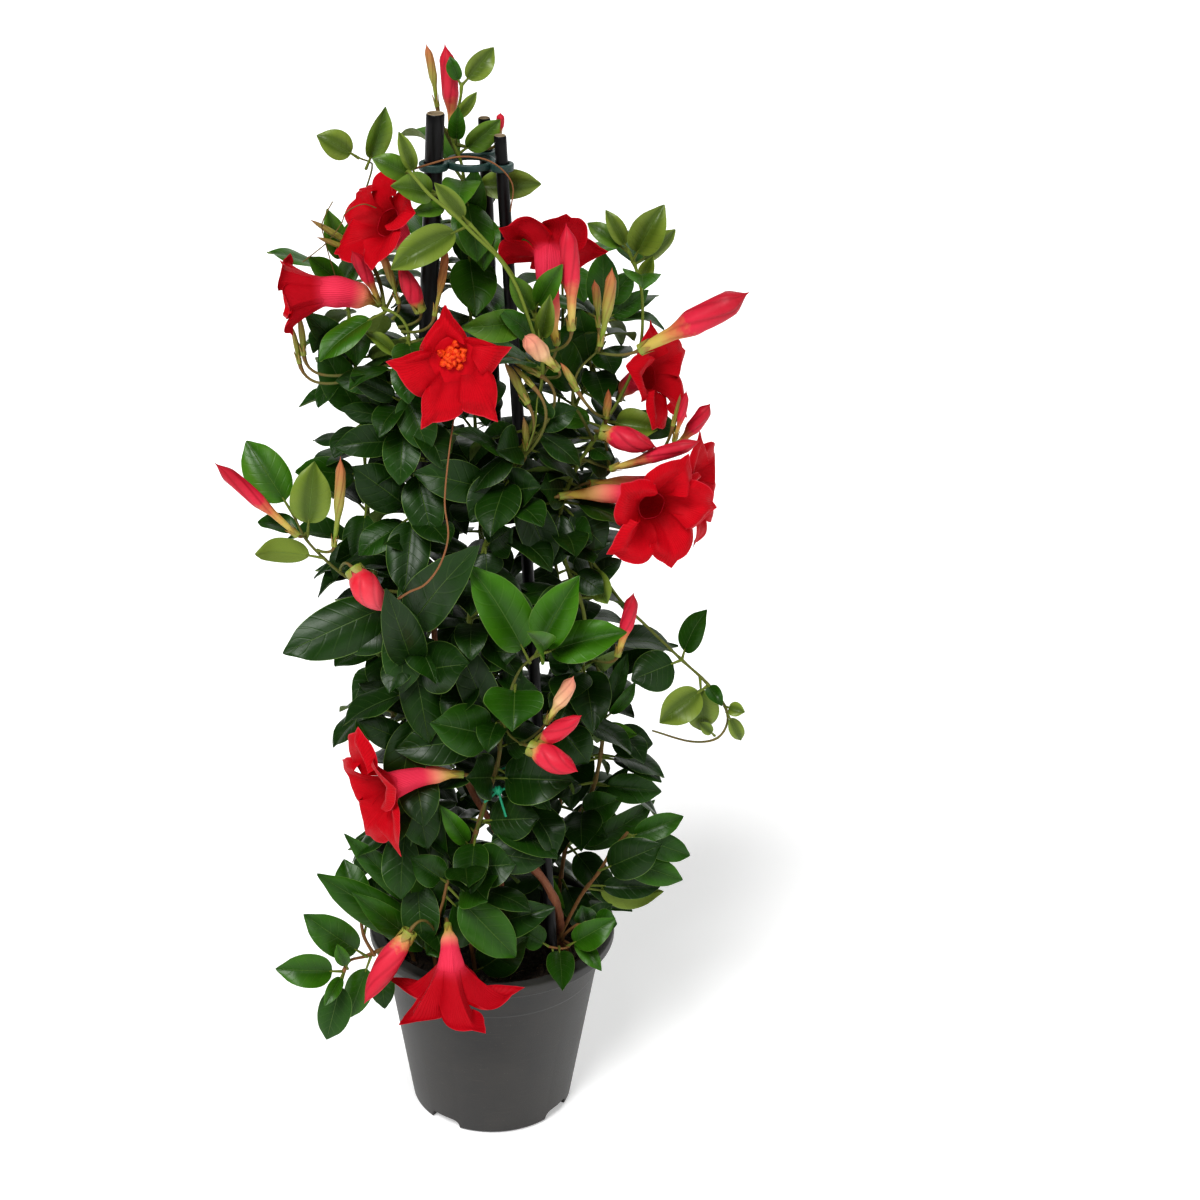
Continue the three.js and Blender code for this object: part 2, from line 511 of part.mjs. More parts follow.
/** Blocks at the pot's bottom edge, for the drain notches. */
function notchBlocks(extra) {
  return NOTCH.angles.map((angle) => {
    const { wide, high, deep } = NOTCH;
    const block = new THREE.BoxGeometry(wide + 2 * extra, 2 * (deep + extra), 2 * (high + extra));
    block.translate(0, -POT_BASE_RADIUS, 0).rotateZ(radians(angle));
    return solid(block);
  });
}

function potSolid() {
  const ledge = POT_HEIGHT - LEDGE_DROP;
  const under = POT_HEIGHT - RIM_DROP;
  const profile = [
    [0, 0], [POT_BASE_RADIUS, 0], [wallRadius(ledge), ledge],
    [wallRadius(ledge) + LEDGE_STEP, ledge + 1],
    [POT_NECK_RADIUS, under], [POT_RIM_RADIUS, under], [POT_RIM_RADIUS, POT_HEIGHT - 1],
    [POT_RIM_RADIUS - 1, POT_HEIGHT], [POT_NECK_RADIUS - 1, POT_HEIGHT],
    [wallRadius(under) - POT_WALL, under],
    [wallRadius(POT_FLOOR) - POT_WALL, POT_FLOOR], [0, POT_FLOOR],
  ];
  return notchBlocks(0).reduce((pot, block) => pot.subtract(block), solid(turned(profile, POT_SIDES)));
}

/** Height of the soil's lumpy top at a radius and an angle. */
function soilHeight(radius, angle) {
  const waves = Math.sin(3 * angle + radius * 0.09) + 0.7 * Math.sin(5 * angle - radius * 0.21 + 1.3);
  const fade = Math.min(1, radius / 20);
  return SOIL_TOP + SOIL_RELIEF * 0.5 * fade * waves + 1.5 * Math.cos(radius * 0.05);
}

function soilSolid(standing) {
  const inner = (z) => wallRadius(z) - POT_WALL - GAP;
  const floor = POT_FLOOR + GAP;
  const points = [new THREE.Vector3(0, 0, floor), new THREE.Vector3(0, 0, soilHeight(0, 0))];
  const at = (radius, angle, z) => (
    new THREE.Vector3(radius * Math.sin(angle), -radius * Math.cos(angle), z));
  for (let ring = 0; ring <= SOIL_RINGS; ring++) {
    for (let i = 0; i < SOIL_SIDES; i++) {
      const angle = (i * 2 * Math.PI) / SOIL_SIDES;
      if (ring === 0) points.push(at(inner(floor), angle, floor));
      else {
        const radius = (inner(SOIL_TOP - 4) * (SOIL_RINGS + 1 - ring)) / SOIL_RINGS;
        points.push(at(radius, angle, soilHeight(radius, angle)));
      }
    }
  }
  const triangles = [];
  const id = (ring, i) => 2 + ring * SOIL_SIDES + (i % SOIL_SIDES);
  for (let i = 0; i < SOIL_SIDES; i++) {
    triangles.push([0, id(0, i + 1), id(0, i)], [1, id(SOIL_RINGS, i), id(SOIL_RINGS, i + 1)]);
    for (let ring = 0; ring < SOIL_RINGS; ring++) {
      triangles.push([id(ring, i), id(ring, i + 1), id(ring + 1, i)]);
      triangles.push([id(ring + 1, i), id(ring, i + 1), id(ring + 1, i + 1)]);
    }
  }
  const cuts = [...notchBlocks(GAP), ...standing];
  return cuts.reduce((soil, cut) => soil.subtract(cut), solid(surface(points, triangles)));
}

/** A cane's axis from a height to another; canes are straight and pass the clip ring at its level. */
function caneAxis(cane, from, to) {
  const foot = new THREE.Vector3(...cane.foot, SOIL_TOP);
  const ring = new THREE.Vector3(...cane.ring, CLIP_LEVEL);
  const at = (z) => foot.clone().lerp(ring, (z - SOIL_TOP) / (CLIP_LEVEL - SOIL_TOP));
  return new THREE.LineCurve3(at(from), at(to));
}

const caneGeometry = (cane, radius, from) => new THREE.ExtrudeGeometry(
  roundSection(radius, CANE_SIDES), { extrudePath: caneAxis(cane, from, cane.top), steps: 1 });

/** The clip: a ring between the canes and a ring about each of them, in one piece. */
function clipSolid() {
  const { centre, radius, band, height, slack, sides } = CLIP;
  const ring = (x, y, inner, outer) => {
    const shape = new THREE.Shape(roundSection(outer, sides).getPoints());
    shape.holes.push(new THREE.Path(roundSection(inner, sides).getPoints()));
    const geometry = new THREE.ExtrudeGeometry(shape, { depth: height, bevelEnabled: false });
    return solid(geometry.translate(x, y, CLIP_LEVEL - height / 2));
  };
  const holes = CANES.map((cane) => {
    const plug = new THREE.ExtrudeGeometry(roundSection(cane.radius + slack, sides),
      { depth: 2 * height, bevelEnabled: false });
    return solid(plug.translate(...cane.ring, CLIP_LEVEL - height));
  });
  const hub = ring(...centre, radius - band / 2, radius + band / 2);
  const eyes = CANES.map((cane) => ring(...cane.ring, cane.radius + slack, cane.radius + slack + band));
  return holes.reduce((clip, hole) => clip.subtract(hole), joined([hub, ...eyes]));
}

/** Points that stand for the clip in the room. */
function clipPoints() {
  const { centre, radius, band, slack, sides } = CLIP;
  const eyes = CANES.map((cane) => [...cane.ring, cane.radius + slack + band / 2]);
  return [[...centre, radius], ...eyes].flatMap(([x, y, middle]) => (
    roundSection(middle, sides).getPoints().map((p) => [x + p.x, y + p.y, CLIP_LEVEL, 1])));
}

/** Points that stand for a tie in the room. */
const tiePoints = (tie) => [[...tie.loop[0], tie.knot], ...tie.loop.slice(1).map((p) => [...p, tie.radius]),
  ...tie.ends.flat().map((p) => [...p, tie.radius])];

/** A soft tie: a thin band along a closed flat loop, its knot and two short ends. */
function tieSolid(tie) {
  const loop = new THREE.CatmullRomCurve3(tie.loop.map(vector), true, "catmullrom", 0.5);
  const steps = 2 * tie.loop.length;
  const band = new THREE.ExtrudeGeometry(roundSection(tie.radius, 4), { extrudePath: loop, steps });
  const knot = new THREE.IcosahedronGeometry(tie.knot, 0).translate(...tie.loop[0]);
  const ends = tie.ends.map((end) => solid(bar(curveOf([tie.loop[0], ...end]), tie.radius, 4, 8)));
  return joined([solid(band), solid(knot), ...ends]);
}

// ---- layout of stems and leaves -------------------------------------------------------------------
/** The distance between two points given as arrays. */
const apart = (p, q) => Math.hypot(p[0] - q[0], p[1] - q[1], p[2] - q[2]);

/** Things that blades keep clear of: points with a radius, in groups with a bounding sphere. */
class Room {
  constructor() {
    this.groups = [];
  }

  add(owner, points) {
    const centre = [0, 1, 2].map((axis) => points.reduce((sum, p) => sum + p[axis], 0) / points.length);
    const reach = Math.max(...points.map((p) => apart(p, centre) + p[3]));
    this.groups.push({ owner, points, centre, reach });
  }

  /** True if a blade's points come too close to anything, or into the pot. */
  blocks(owner, root, points) {
    if (points.some(inPot)) return true;
    const middle = points[Math.floor(points.length / 2)];
    const size = Math.max(...points.map((p) => apart(p, middle)));
    const free = points.filter((p) => apart(p, root.toArray()) > OWN_ROOT);
    const hit = (p, q, clearance) => {
      const near = q[3] + clearance;
      const [dx, dy, dz] = [p[0] - q[0], p[1] - q[1], p[2] - q[2]];
      return dx * dx + dy * dy + dz * dz < near * near;
    };
    return this.groups.some((group) => {
      if (apart(group.centre, middle) > group.reach + size + CLEARANCE) return false;
      const own = group.owner === owner;
      const clearance = own ? OWN_CLEARANCE : CLEARANCE;
      return (own ? free : points).some((p) => group.points.some((q) => hit(p, q, clearance)));
    });
  }
}

/** True for a point in the pot's wall or its soil, or near them. */
function inPot([x, y, z]) {
  const radius = Math.hypot(x, y);
  const outer = z > POT_HEIGHT - RIM_DROP - POT_MARGIN ? POT_RIM_RADIUS : wallRadius(z);
  const filled = z < SOIL_TOP + 2 * POT_MARGIN || radius > POT_NECK_RADIUS - POT_MARGIN;
  return z < POT_HEIGHT + POT_MARGIN && radius < outer + POT_MARGIN && filled;
}

/** The point of a shoot's axis, as its bar has it, that is nearest to a place on its curve. */
function axisPoint(vine, shoot, place) {
  const curve = vine.curves[shoot];
  const point = curve.getPoint(Math.min(place, LAST_PLACE));
  const corners = curve.getSpacedPoints(barSteps(curve, vine.radii[shoot], STEM_STEP));
  const nearest = corners.slice(1).map((end, i) => (
    new THREE.Line3(corners[i], end).closestPointToPoint(point, true, new THREE.Vector3())));
  return nearest.reduce((best, next) => (next.distanceTo(point) < best.distanceTo(point) ? next : best));
}

/** Points along a curve for the room, each with the stem's radius. */
function stemPoints(curve, radius, spacing) {
  const steps = Math.ceil(curve.getLength() / spacing);
  const points = [];
  for (let i = 0; i <= steps; i++) {
    const p = curve.getPoint(i / steps);
    points.push([p.x, p.y, p.z, radius]);
  }
  return points;
}

/** A leaf's frame: its root on the stem, chord, side and facing, and the blade's two ends. */
function leafFrame(root, tip, width, facing, twist) {
  const chord = tip.clone().sub(root);
  const length = chord.length();
  const along = chord.clone().divideScalar(length);
  const face = facing.clone().addScaledVector(along, -facing.dot(along)).normalize();
  face.applyAxisAngle(along, radians(twist));
  const side = along.clone().cross(face);
  const petiole = Math.min(PETIOLE.most, Math.max(PETIOLE.least, PETIOLE.part * length)) / length;
  return { root, along, face, side, length, width, petiole };
}

/** A point of the leaf: s along the chord from 0 to 1, w across it in mm, lift off its face. */
function leafPoint(leaf, s, w, lift) {
  const fold = radians(LEAF_FOLD);
  const rise = 4 * LEAF_ARCH * leaf.length * s * (1 - s) + Math.abs(w) * Math.sin(fold) + lift;
  return leaf.root.clone().addScaledVector(leaf.along, s * leaf.length)
    .addScaledVector(leaf.side, w * Math.cos(fold)).addScaledVector(leaf.face, rise);
}

/** Part of the full width at q along the blade, from 0 at its base to 1 at its tip. */
const bladeWidth = (q) => Math.sin(Math.PI * Math.pow(q, 0.85)) ** 0.7;

/** Points over a blade, for the room. */
function leafGrid(leaf) {
  const blade = leaf.length * (1 - leaf.petiole);
  const rows = Math.ceil(blade / BLADE_GRID);
  const points = [];
  for (let i = 0; i <= rows; i++) {
    const q = i / rows;
    const half = 0.5 * leaf.width * bladeWidth(Math.min(Math.max(q, 0.02), 0.98));
    const across = Math.ceil(half / BLADE_GRID);
    for (let j = -across; j <= across; j++) {
      const p = leafPoint(leaf, leaf.petiole + q * (1 - leaf.petiole), (half * j) / Math.max(1, across), 0);
      points.push([p.x, p.y, p.z, 0]);
    }
  }
  return points;
}

/** The leaf as a thin folded blade whose root stands in its stem. */
function leafSolid(leaf) {
  const half = leaf.width / 2;
  const blade = 1 - leaf.petiole;
  const [near, far] = LEAF_SECTIONS.map(([q, part]) => [leaf.petiole + q * blade, part * half]);
  const outline = [[0, 0], near, far, [1, 0], [far[0], -far[1]], [near[0], -near[1]]];
  const middle = [(near[0] + far[0]) / 2, 0];
  const count = outline.length;
  const points = [];
  for (const lift of [LEAF_THICKNESS / 2, -LEAF_THICKNESS / 2]) {
    for (const [s, w] of [...outline, middle]) points.push(leafPoint(leaf, s, w, lift));
  }
  const under = count + 1;
  const faces = [[0, 1, 5], [1, 6, 5], [1, 2, 6], [2, 3, 6], [3, 4, 6], [4, 5, 6]];
  const triangles = [...faces, ...faces.map(([a, b, c]) => [under + a, under + c, under + b])];
  for (let i = 0; i < count; i++) {
    const next = (i + 1) % count;
    triangles.push([i, under + i, next], [next, under + i, under + next]);
  }
  return solid(surface(points, triangles));
}

/** The stem's frame at a place: its direction and two directions across it. */
function stemFrame(vine, shoot, place) {
  const along = vine.curves[shoot].getTangent(place);
  const front = new THREE.Vector3(0, -1, 0);
  if (Math.abs(along.y) > 0.9) front.set(0, 0, 1);
  front.addScaledVector(along, -front.dot(along)).normalize();
  return { point: axisPoint(vine, shoot, place), along, front, side: along.clone().cross(front) };
}

/** A seeded draw of numbers from 0 to 1. */
function draws(seed) {
  let state = seed;
  return () => {
    state = (state * 48271) % 2147483647;
    return state / 2147483647;
  };
}

/** Lays out a vine's placed leaves, each moved back or forward until it is clear. */
function placeLeaves(vine, room) {
  for (const [shoot, place, x, y, z, width, twist] of vine.placed) {
    const root = axisPoint(vine, shoot, place);
    const tries = PLACED_PARTS.flatMap((part) => TIP_SHIFTS.map((shift) => [part, shift]));
    for (const [part, shift] of tries) {
      const tip = root.clone().lerp(new THREE.Vector3(x, y + shift, z), part);
      const leaf = leafFrame(root, tip, width * part, FRONT, twist);
      const grid = leafGrid(leaf);
      if (room.blocks(vine.name, root, grid)) continue;
      room.add(vine.name, grid);
      vine.leaves.push(leaf);
      break;
    }
  }
}

/** Grows opposite pairs of leaves along a vine, each pair a quarter turn from the last. */
function growLeaves(vine, room, draw) {
  for (const [shoot, from, to, pairs, turn, reach] of vine.grown) {
    for (let pair = 0; pair < pairs; pair++) {
      const place = from + ((to - from) * pair) / Math.max(1, pairs - 1);
      const frame = stemFrame(vine, shoot, place);
      for (const half of [0, 180]) {
        const angle = turn + 90 * pair + half + 30 * (draw() - 0.5);
        const length = reach * (1 - 0.22 * place) * (0.86 + 0.28 * draw());
        for (const [more, part] of GROWN_TRIES) {
          const leaf = grownLeaf(frame, angle + more, length * part);
          const grid = leafGrid(leaf);
          if (room.blocks(vine.name, leaf.root, grid)) continue;
          room.add(vine.name, grid);
          vine.leaves.push(leaf);
          break;
        }
      }
    }
  }
}

/** A leaf that leaves its stem at an angle about it, with its upper face up and outward. */
function grownLeaf(frame, angle, length) {
  const tilt = radians(GROWN_ANGLE);
  const outward = frame.front.clone().multiplyScalar(Math.cos(radians(angle)))
    .addScaledVector(frame.side, Math.sin(radians(angle)));
  const reach = frame.along.clone().multiplyScalar(Math.cos(tilt)).addScaledVector(outward, Math.sin(tilt));
  reach.z -= GROWN_DROOP;
  const tip = frame.point.clone().addScaledVector(reach.normalize(), length);
  const facing = UP.clone().multiplyScalar(0.9).addScaledVector(outward, 0.6);
  return leafFrame(frame.point, tip, GROWN_WIDTH * length, facing, 0);
}

// ---- flowers ----------------------------------------------------------------------------------------
/** A bent line from one point to another that arrives along a direction. */
function arriving(from, to, direction, part) {
  const bend = to.clone().addScaledVector(direction, -part * from.distanceTo(to));
  return new THREE.QuadraticBezierCurve3(from, bend, to);
}

/** A bloom's frame at its mouth: the way it faces, and two directions across. */
function bloomFrame(bloom) {
  const [azimuth, elevation] = bloom.facing.map(radians);
  const face = new THREE.Vector3(Math.sin(azimuth) * Math.cos(elevation),
    -Math.cos(azimuth) * Math.cos(elevation), Math.sin(elevation));
  const top = UP.clone().addScaledVector(face, -face.z).normalize();
  return { face, top, side: face.clone().cross(top), mouth: vector(bloom.mouth) };
}

/** A point of the bloom's limb: q from the mouth to the edge, at an angle about its face. */
function limbPoint(bloom, frame, q, angle, edge) {
  const mouthRadius = BLOOM_TUBE[BLOOM_TUBE.length - 1][1];
  const radius = mouthRadius + q * (edge * bloom.radius - mouthRadius);
  const out = frame.top.clone().multiplyScalar(Math.cos(angle))
    .addScaledVector(frame.side, Math.sin(angle));
  return frame.mouth.clone().addScaledVector(out, radius)
    .addScaledVector(frame.face, bloom.dish * Math.sin((q * Math.PI) / 2))
    .add(new THREE.Vector3(0, 0, -bloom.sag * q));
}

/** A bloom as a thin funnel with five lobes, open at its mouth and closed at its foot. */
function bloomSolid(bloom) {
  const frame = bloomFrame(bloom);
  const tube = arriving(vector(bloom.base), frame.mouth, frame.face, 0.5);
  const steps = LOBES * LOBE_EDGE.length;
  const rings = [];
  for (const [t, radius] of BLOOM_TUBE) {
    const centre = tube.getPoint(t);
    const along = tube.getTangent(t);
    const top = frame.top.clone().addScaledVector(along, -frame.top.dot(along)).normalize();
    const side = along.clone().cross(top);
    const ring = [];
    for (let i = 0; i < steps; i++) {
      const angle = radians(bloom.roll - HALF_LOBE) + (i * 2 * Math.PI) / steps;
      const out = top.clone().multiplyScalar(Math.cos(angle)).addScaledVector(side, Math.sin(angle));
      const inward = out.clone().multiplyScalar(-BLOOM_WALL * (t < 1 ? 1 : 0.7));
      if (t === 0) inward.addScaledVector(along, 2 * BLOOM_WALL);
      if (t === 1) inward.addScaledVector(frame.face, BLOOM_WALL * 0.7);
      ring.push({ outer: centre.clone().addScaledVector(out, radius), inward });
    }
    rings.push(ring);
  }
  for (const q of BLOOM_LIMB) {
    const ring = [];
    for (let i = 0; i < steps; i++) {
      const angle = radians(bloom.roll - HALF_LOBE) + (i * 2 * Math.PI) / steps;
      const outer = limbPoint(bloom, frame, q, angle, LOBE_EDGE[i % LOBE_EDGE.length]);
      ring.push({ outer, inward: frame.face.clone().multiplyScalar(BLOOM_WALL) });
    }
    rings.push(ring);
  }
  const points = [];
  for (const ring of rings) points.push(...ring.map((p) => p.outer));
  for (const ring of rings) points.push(...ring.map((p) => p.outer.clone().add(p.inward)));
  const layer = rings.length * steps;
  const id = (ring, i) => ring * steps + (i % steps);
  const foot = 2 * layer;
  const start = tube.getPoint(0);
  points.push(start, start.clone().addScaledVector(tube.getTangent(0), 2 * BLOOM_WALL));
  const triangles = [];
  const last = rings.length - 1;
  for (let i = 0; i < steps; i++) {
    for (let ring = 0; ring < last; ring++) {
      const [a, b, c, d] = [id(ring, i), id(ring, i + 1), id(ring + 1, i), id(ring + 1, i + 1)];
      triangles.push([a, b, c], [c, b, d]);
      triangles.push([layer + a, layer + c, layer + b], [layer + c, layer + d, layer + b]);
    }
    const [edge, next] = [id(last, i), id(last, i + 1)];
    triangles.push([edge, next, layer + edge], [layer + edge, next, layer + next]);
    triangles.push([foot, id(0, i + 1), id(0, i)], [foot + 1, layer + id(0, i), layer + id(0, i + 1)]);
  }
  return surface(points, triangles);
}

/** A bud: a slender spindle from its calyx to its tip. */
function budGeometry(bud) {
  const axis = vector(bud.tip).sub(vector(bud.base));
  const length = axis.length();
  const profile = (bud.full ? BUD_FULL : BUD_LONG).map(([s, part]) => [(part * bud.width) / 2, s * length]);
  const body = turned([[0, 0], ...profile], BUD_SIDES);
  body.applyQuaternion(new THREE.Quaternion().setFromUnitVectors(UP, axis.divideScalar(length)));
  return body.translate(...bud.base);
}

/** The stalk that carries a flower, from its vine to a gap before the flower's foot. */
function stalkSolid(flower, vine) {
  const from = axisPoint(vine, flower.on[1], flower.on[2]);
  const base = vector(flower.base);
  const towards = flower.mouth
    ? arriving(base, vector(flower.mouth), bloomFrame(flower).face, 0.5).getTangent(0)
    : vector(flower.tip).sub(base).normalize();
  const end = base.clone().addScaledVector(towards, -STALK_GAP);
  return solid(bar(arriving(from, end, towards, 0.45), STALK.radius, STALK.sides, STALK.step));
}

/** Points that stand for a flower in the room. */
function flowerPoints(flower) {
  if (!flower.mouth) {
    const [base, tip] = [vector(flower.base), vector(flower.tip)];
    const steps = Math.ceil(base.distanceTo(tip) / 5);
    const points = [];
    for (let i = 0; i <= steps; i++) {
      const p = base.clone().lerp(tip, i / steps);
      points.push([p.x, p.y, p.z, i === steps ? 0.5 : flower.width / 2 - 1]);
    }
    return points;
  }
  const frame = bloomFrame(flower);
  const tube = arriving(vector(flower.base), frame.mouth, frame.face, 0.5);
  const points = [];
  for (let i = 0; i <= 8; i++) {
    const p = tube.getPoint(i / 8);
    points.push([p.x, p.y, p.z, 1 + 6 * Math.max(0, i / 8 - 0.5)]);
  }
  const steps = LOBES * LOBE_EDGE.length;
  for (const q of BLOOM_GRID) {
    for (let i = 0; i < 2 * steps; i++) {
      const angle = radians(flower.roll - HALF_LOBE) + (i * Math.PI) / steps;
      const edge = (LOBE_EDGE[Math.floor(i / 2) % 3] + LOBE_EDGE[Math.ceil(i / 2) % 3]) / 2;
      const p = limbPoint(flower, frame, q, angle, edge);
      points.push([p.x, p.y, p.z, 0.5]);
    }
  }
  return points;
}

// ---- the plant --------------------------------------------------------------------------------------
/** A vine's shoots as curves; a rooted one starts in the soil, straight below its first point. */
function vineOf(row) {
  const curves = row.shoots.map(({ route }, index) => {
    const [x, y, z] = route[0];
    return curveOf(index === 0 && row.rooted ? [[x, y, z - ROOT_DEPTH], ...route] : route);
  });
  return { name: row.name, rooted: row.rooted, curves, radii: row.shoots.map((s) => s.radius),
    placed: row.leaves, grown: row.grown, leaves: [] };
}

/** The hole that a stem stands in: its own bar, a little wider and lower. */
const holeSolid = (curve, radius, sides) => solid(
  bar(curve, radius + HOLE_SLACK, sides, STEM_STEP).translate(0, 0, -GAP));

function vineSolid(vine, flowers) {
  const stems = vine.curves.map((curve, i) => solid(bar(curve, vine.radii[i], STEM_SIDES, STEM_STEP)));
  const carried = flowers.filter((flower) => flower.on[0] === vine.name);
  const stalks = carried.map((flower) => stalkSolid(flower, vine));
  return joined([...stems, ...stalks, ...vine.leaves.map(leafSolid)]);
}

/** The woody stems and the vines, with every leaf laid out clear of the rest. */
function layOut(flowers) {
  const vines = VINES.map(vineOf);
  const woods = WOODY_STEMS.map((stem) => {
    const [x, y, z] = stem.route[0];
    return { ...stem, curve: curveOf([[x, y, z - ROOT_DEPTH], ...stem.route]) };
  });
  const room = new Room();
  for (const cane of CANES) {
    room.add(cane.name, stemPoints(caneAxis(cane, SOIL_TOP, cane.top), cane.radius - 1, STEM_GRID));
  }
  for (const wood of woods) room.add(wood.name, stemPoints(wood.curve, wood.radius - 1, STEM_GRID));
  for (const vine of vines) {
    vine.curves.forEach((curve, i) => room.add(vine.name, stemPoints(curve, vine.radii[i] - 1, STEM_GRID)));
  }
  for (const flower of flowers) room.add(flower.name, flowerPoints(flower));
  for (const tie of TIES) room.add(tie.name, tiePoints(tie));
  room.add("clip_ring", clipPoints());
  for (const vine of vines) placeLeaves(vine, room);
  const draw = draws(LEAF_SEED);
  for (const vine of vines) growLeaves(vine, room, draw);
  return { vines, woods };
}

function build() {
  const plant = new THREE.Group();
  const flowers = [...BLOOMS, ...BUDS];
  const { vines, woods } = layOut(flowers);
  plant.add(named("nursery_pot", geometryOf(potSolid()), COLOURS.pot, 0.5));
  const rooted = vines.filter((vine) => vine.rooted);
  const holes = [
    ...CANES.map((cane) => solid(caneGeometry(cane, cane.radius + HOLE_SLACK, CANE_FOOT - HOLE_SLACK))),
    ...woods.map((wood) => holeSolid(wood.curve, wood.radius, WOOD_SIDES)),
    ...rooted.map((vine) => holeSolid(vine.curves[0], vine.radii[0], STEM_SIDES)),
  ];
  plant.add(named("soil", geometryOf(soilSolid(holes)), COLOURS.soil, 0.95));
  for (const cane of CANES) {
    plant.add(named(cane.name, closed(caneGeometry(cane, cane.radius, CANE_FOOT)), COLOURS.cane, 0.45));
  }
  plant.add(named("clip_ring", geometryOf(clipSolid()), COLOURS.clip, 0.45));
  for (const tie of TIES) plant.add(named(tie.name, geometryOf(tieSolid(tie)), COLOURS.tie, 0.6));
  for (const wood of woods) {
    const stem = bar(wood.curve, wood.radius, WOOD_SIDES, STEM_STEP);
    plant.add(named(wood.name, closed(stem), COLOURS.wood, 0.8));
  }
  for (const vine of vines) {
    plant.add(named(vine.name, geometryOf(vineSolid(vine, flowers)), COLOURS.leaf, 0.4));
  }
  for (const bloom of BLOOMS) plant.add(named(bloom.name, closed(bloomSolid(bloom)), COLOURS.petal, 0.5));
  for (const bud of BUDS) plant.add(named(bud.name, closed(budGeometry(bud)), COLOURS.bud, 0.5));
  return plant;
}

export default build();
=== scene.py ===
"""A climbing mandevilla in its nursery pot: fine surfaces and finishes for each of its pieces.

The plant stands on the pot's axis, with -Y as its front. Layout sizes are in millimetres; meshes are
written in metres.
"""
import logging
import math
from dataclasses import dataclass, field, replace
from enum import Enum
from typing import Callable, Iterable, Sequence

import bpy
import numpy as np
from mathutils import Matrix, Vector


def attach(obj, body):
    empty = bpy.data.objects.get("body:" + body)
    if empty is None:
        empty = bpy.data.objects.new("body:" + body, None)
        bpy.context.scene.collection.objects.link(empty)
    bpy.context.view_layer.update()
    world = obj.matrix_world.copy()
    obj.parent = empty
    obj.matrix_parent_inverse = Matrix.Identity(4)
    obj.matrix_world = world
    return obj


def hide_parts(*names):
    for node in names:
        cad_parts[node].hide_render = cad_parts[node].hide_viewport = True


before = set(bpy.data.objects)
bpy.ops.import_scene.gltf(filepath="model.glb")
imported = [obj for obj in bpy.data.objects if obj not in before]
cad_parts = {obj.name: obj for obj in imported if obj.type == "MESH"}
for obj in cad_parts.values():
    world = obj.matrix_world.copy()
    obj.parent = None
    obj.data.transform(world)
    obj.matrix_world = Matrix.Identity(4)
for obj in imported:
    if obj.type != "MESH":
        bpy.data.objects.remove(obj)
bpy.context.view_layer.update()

MM = 0.001
LOG = logging.getLogger("mandevilla")
Point = Sequence[float]
Array = np.ndarray
Colour = tuple[float, float, float]


# ---- driving dimensions, in millimetres ---------------------------------------------------------
POT_HEIGHT = 140.0
POT_RIM_RADIUS = 85.0
POT_NECK_RADIUS = 77.0
POT_BASE_RADIUS = 56.0
POT_WALL = 1.6
POT_FLOOR = 2.4
RIM_DROP = 8.0
LEDGE_DROP = 31.0
LEDGE_STEP = 0.6
NOTCH_WIDE, NOTCH_HIGH, NOTCH_DEEP = 24.0, 7.0, 8.0
NOTCH_ANGLES = (-36.0, 54.0, 144.0, 234.0)
SOIL_TOP = 124.0
SOIL_RELIEF = 2.6
ROOT_DEPTH = 18.0
CANE_FOOT = 104.0
CLIP_LEVEL = 679.0
CLIP_CENTRE = (-13.0, 0.0)
CLIP_RADIUS, CLIP_BAND, CLIP_HEIGHT, CLIP_SLACK, CLIP_SIDES = 13.5, 3.0, 4.6, 0.7, 12
LEAF_FOLD = 16.0
LEAF_ARCH = 0.07
SIDE_VEINS, VEIN_SLANT = 7.0, 0.22
PETIOLE_PART, PETIOLE_LEAST, PETIOLE_MOST = 0.2, 4.0, 14.0
THIN, THIN_STEP, STEM_STEP = 1.4, 0.6, 28.0
CLEARANCE, OWN_CLEARANCE, OWN_ROOT = 3.6, 2.0, 12.0
BLADE_GRID, STEM_GRID = 3.0, 3.0
LAST_PLACE = 0.985
POT_MARGIN = 3.0
FRONT = np.array((0.0, -0.85, 0.5))
UP = np.array((0.0, 0.0, 1.0))
TIP_SHIFTS = (0, -5, 5, -10, 10, -15, 15, -20, 20, -27, 27, -34, 34)
PLACED_PARTS = (1.0, 0.9, 0.8)
GROWN_TRIES = ((0, 1.0), (24, 1.0), (-24, 1.0), (46, 0.9), (-46, 0.9), (0, 0.75), (70, 0.8), (-70, 0.8))
GROWN_ANGLE, GROWN_DROOP, GROWN_WIDTH, GROWN_TONE = 62.0, 0.22, 0.44, 0.4
NEW_TONE, NEW_FROM = 1.3, (500.0, 650.0)
LEAF_SEED = 20260
MOUTH_RADIUS = 9.0
LOBES, HALF_LOBE = 5, 36.0
LOBE_EDGE = (0.6, 1.0, 0.92)
LIMB_GRID = (0.15, 0.38, 0.6, 0.8, 1.0)
STALK_GAP = 0.4
VIEW = np.array((0.0, -0.9, 0.44))
OPEN_STEPS, OPEN_RADIUS = (14.0, 28.0, 42.0), 4.0
FILL_EASE, FILL_TONE, FILL_WIDTH = 0.3, 0.15, 0.56
FILL_DROOP = (0.3, 1.2)
FILL_TRIES = ((0, 1.0), (30, 1.0), (-30, 1.0), (0, 0.8), (50, 0.8), (-50, 0.8), (0, 0.62), (65, 0.62),
              (-65, 0.62))


class Bark(Enum):
    """How old a stem is, as its finish shows it."""

    GREEN = 0.0
    FRESH = 0.35
    RUST = 0.7
    WOOD = 1.0


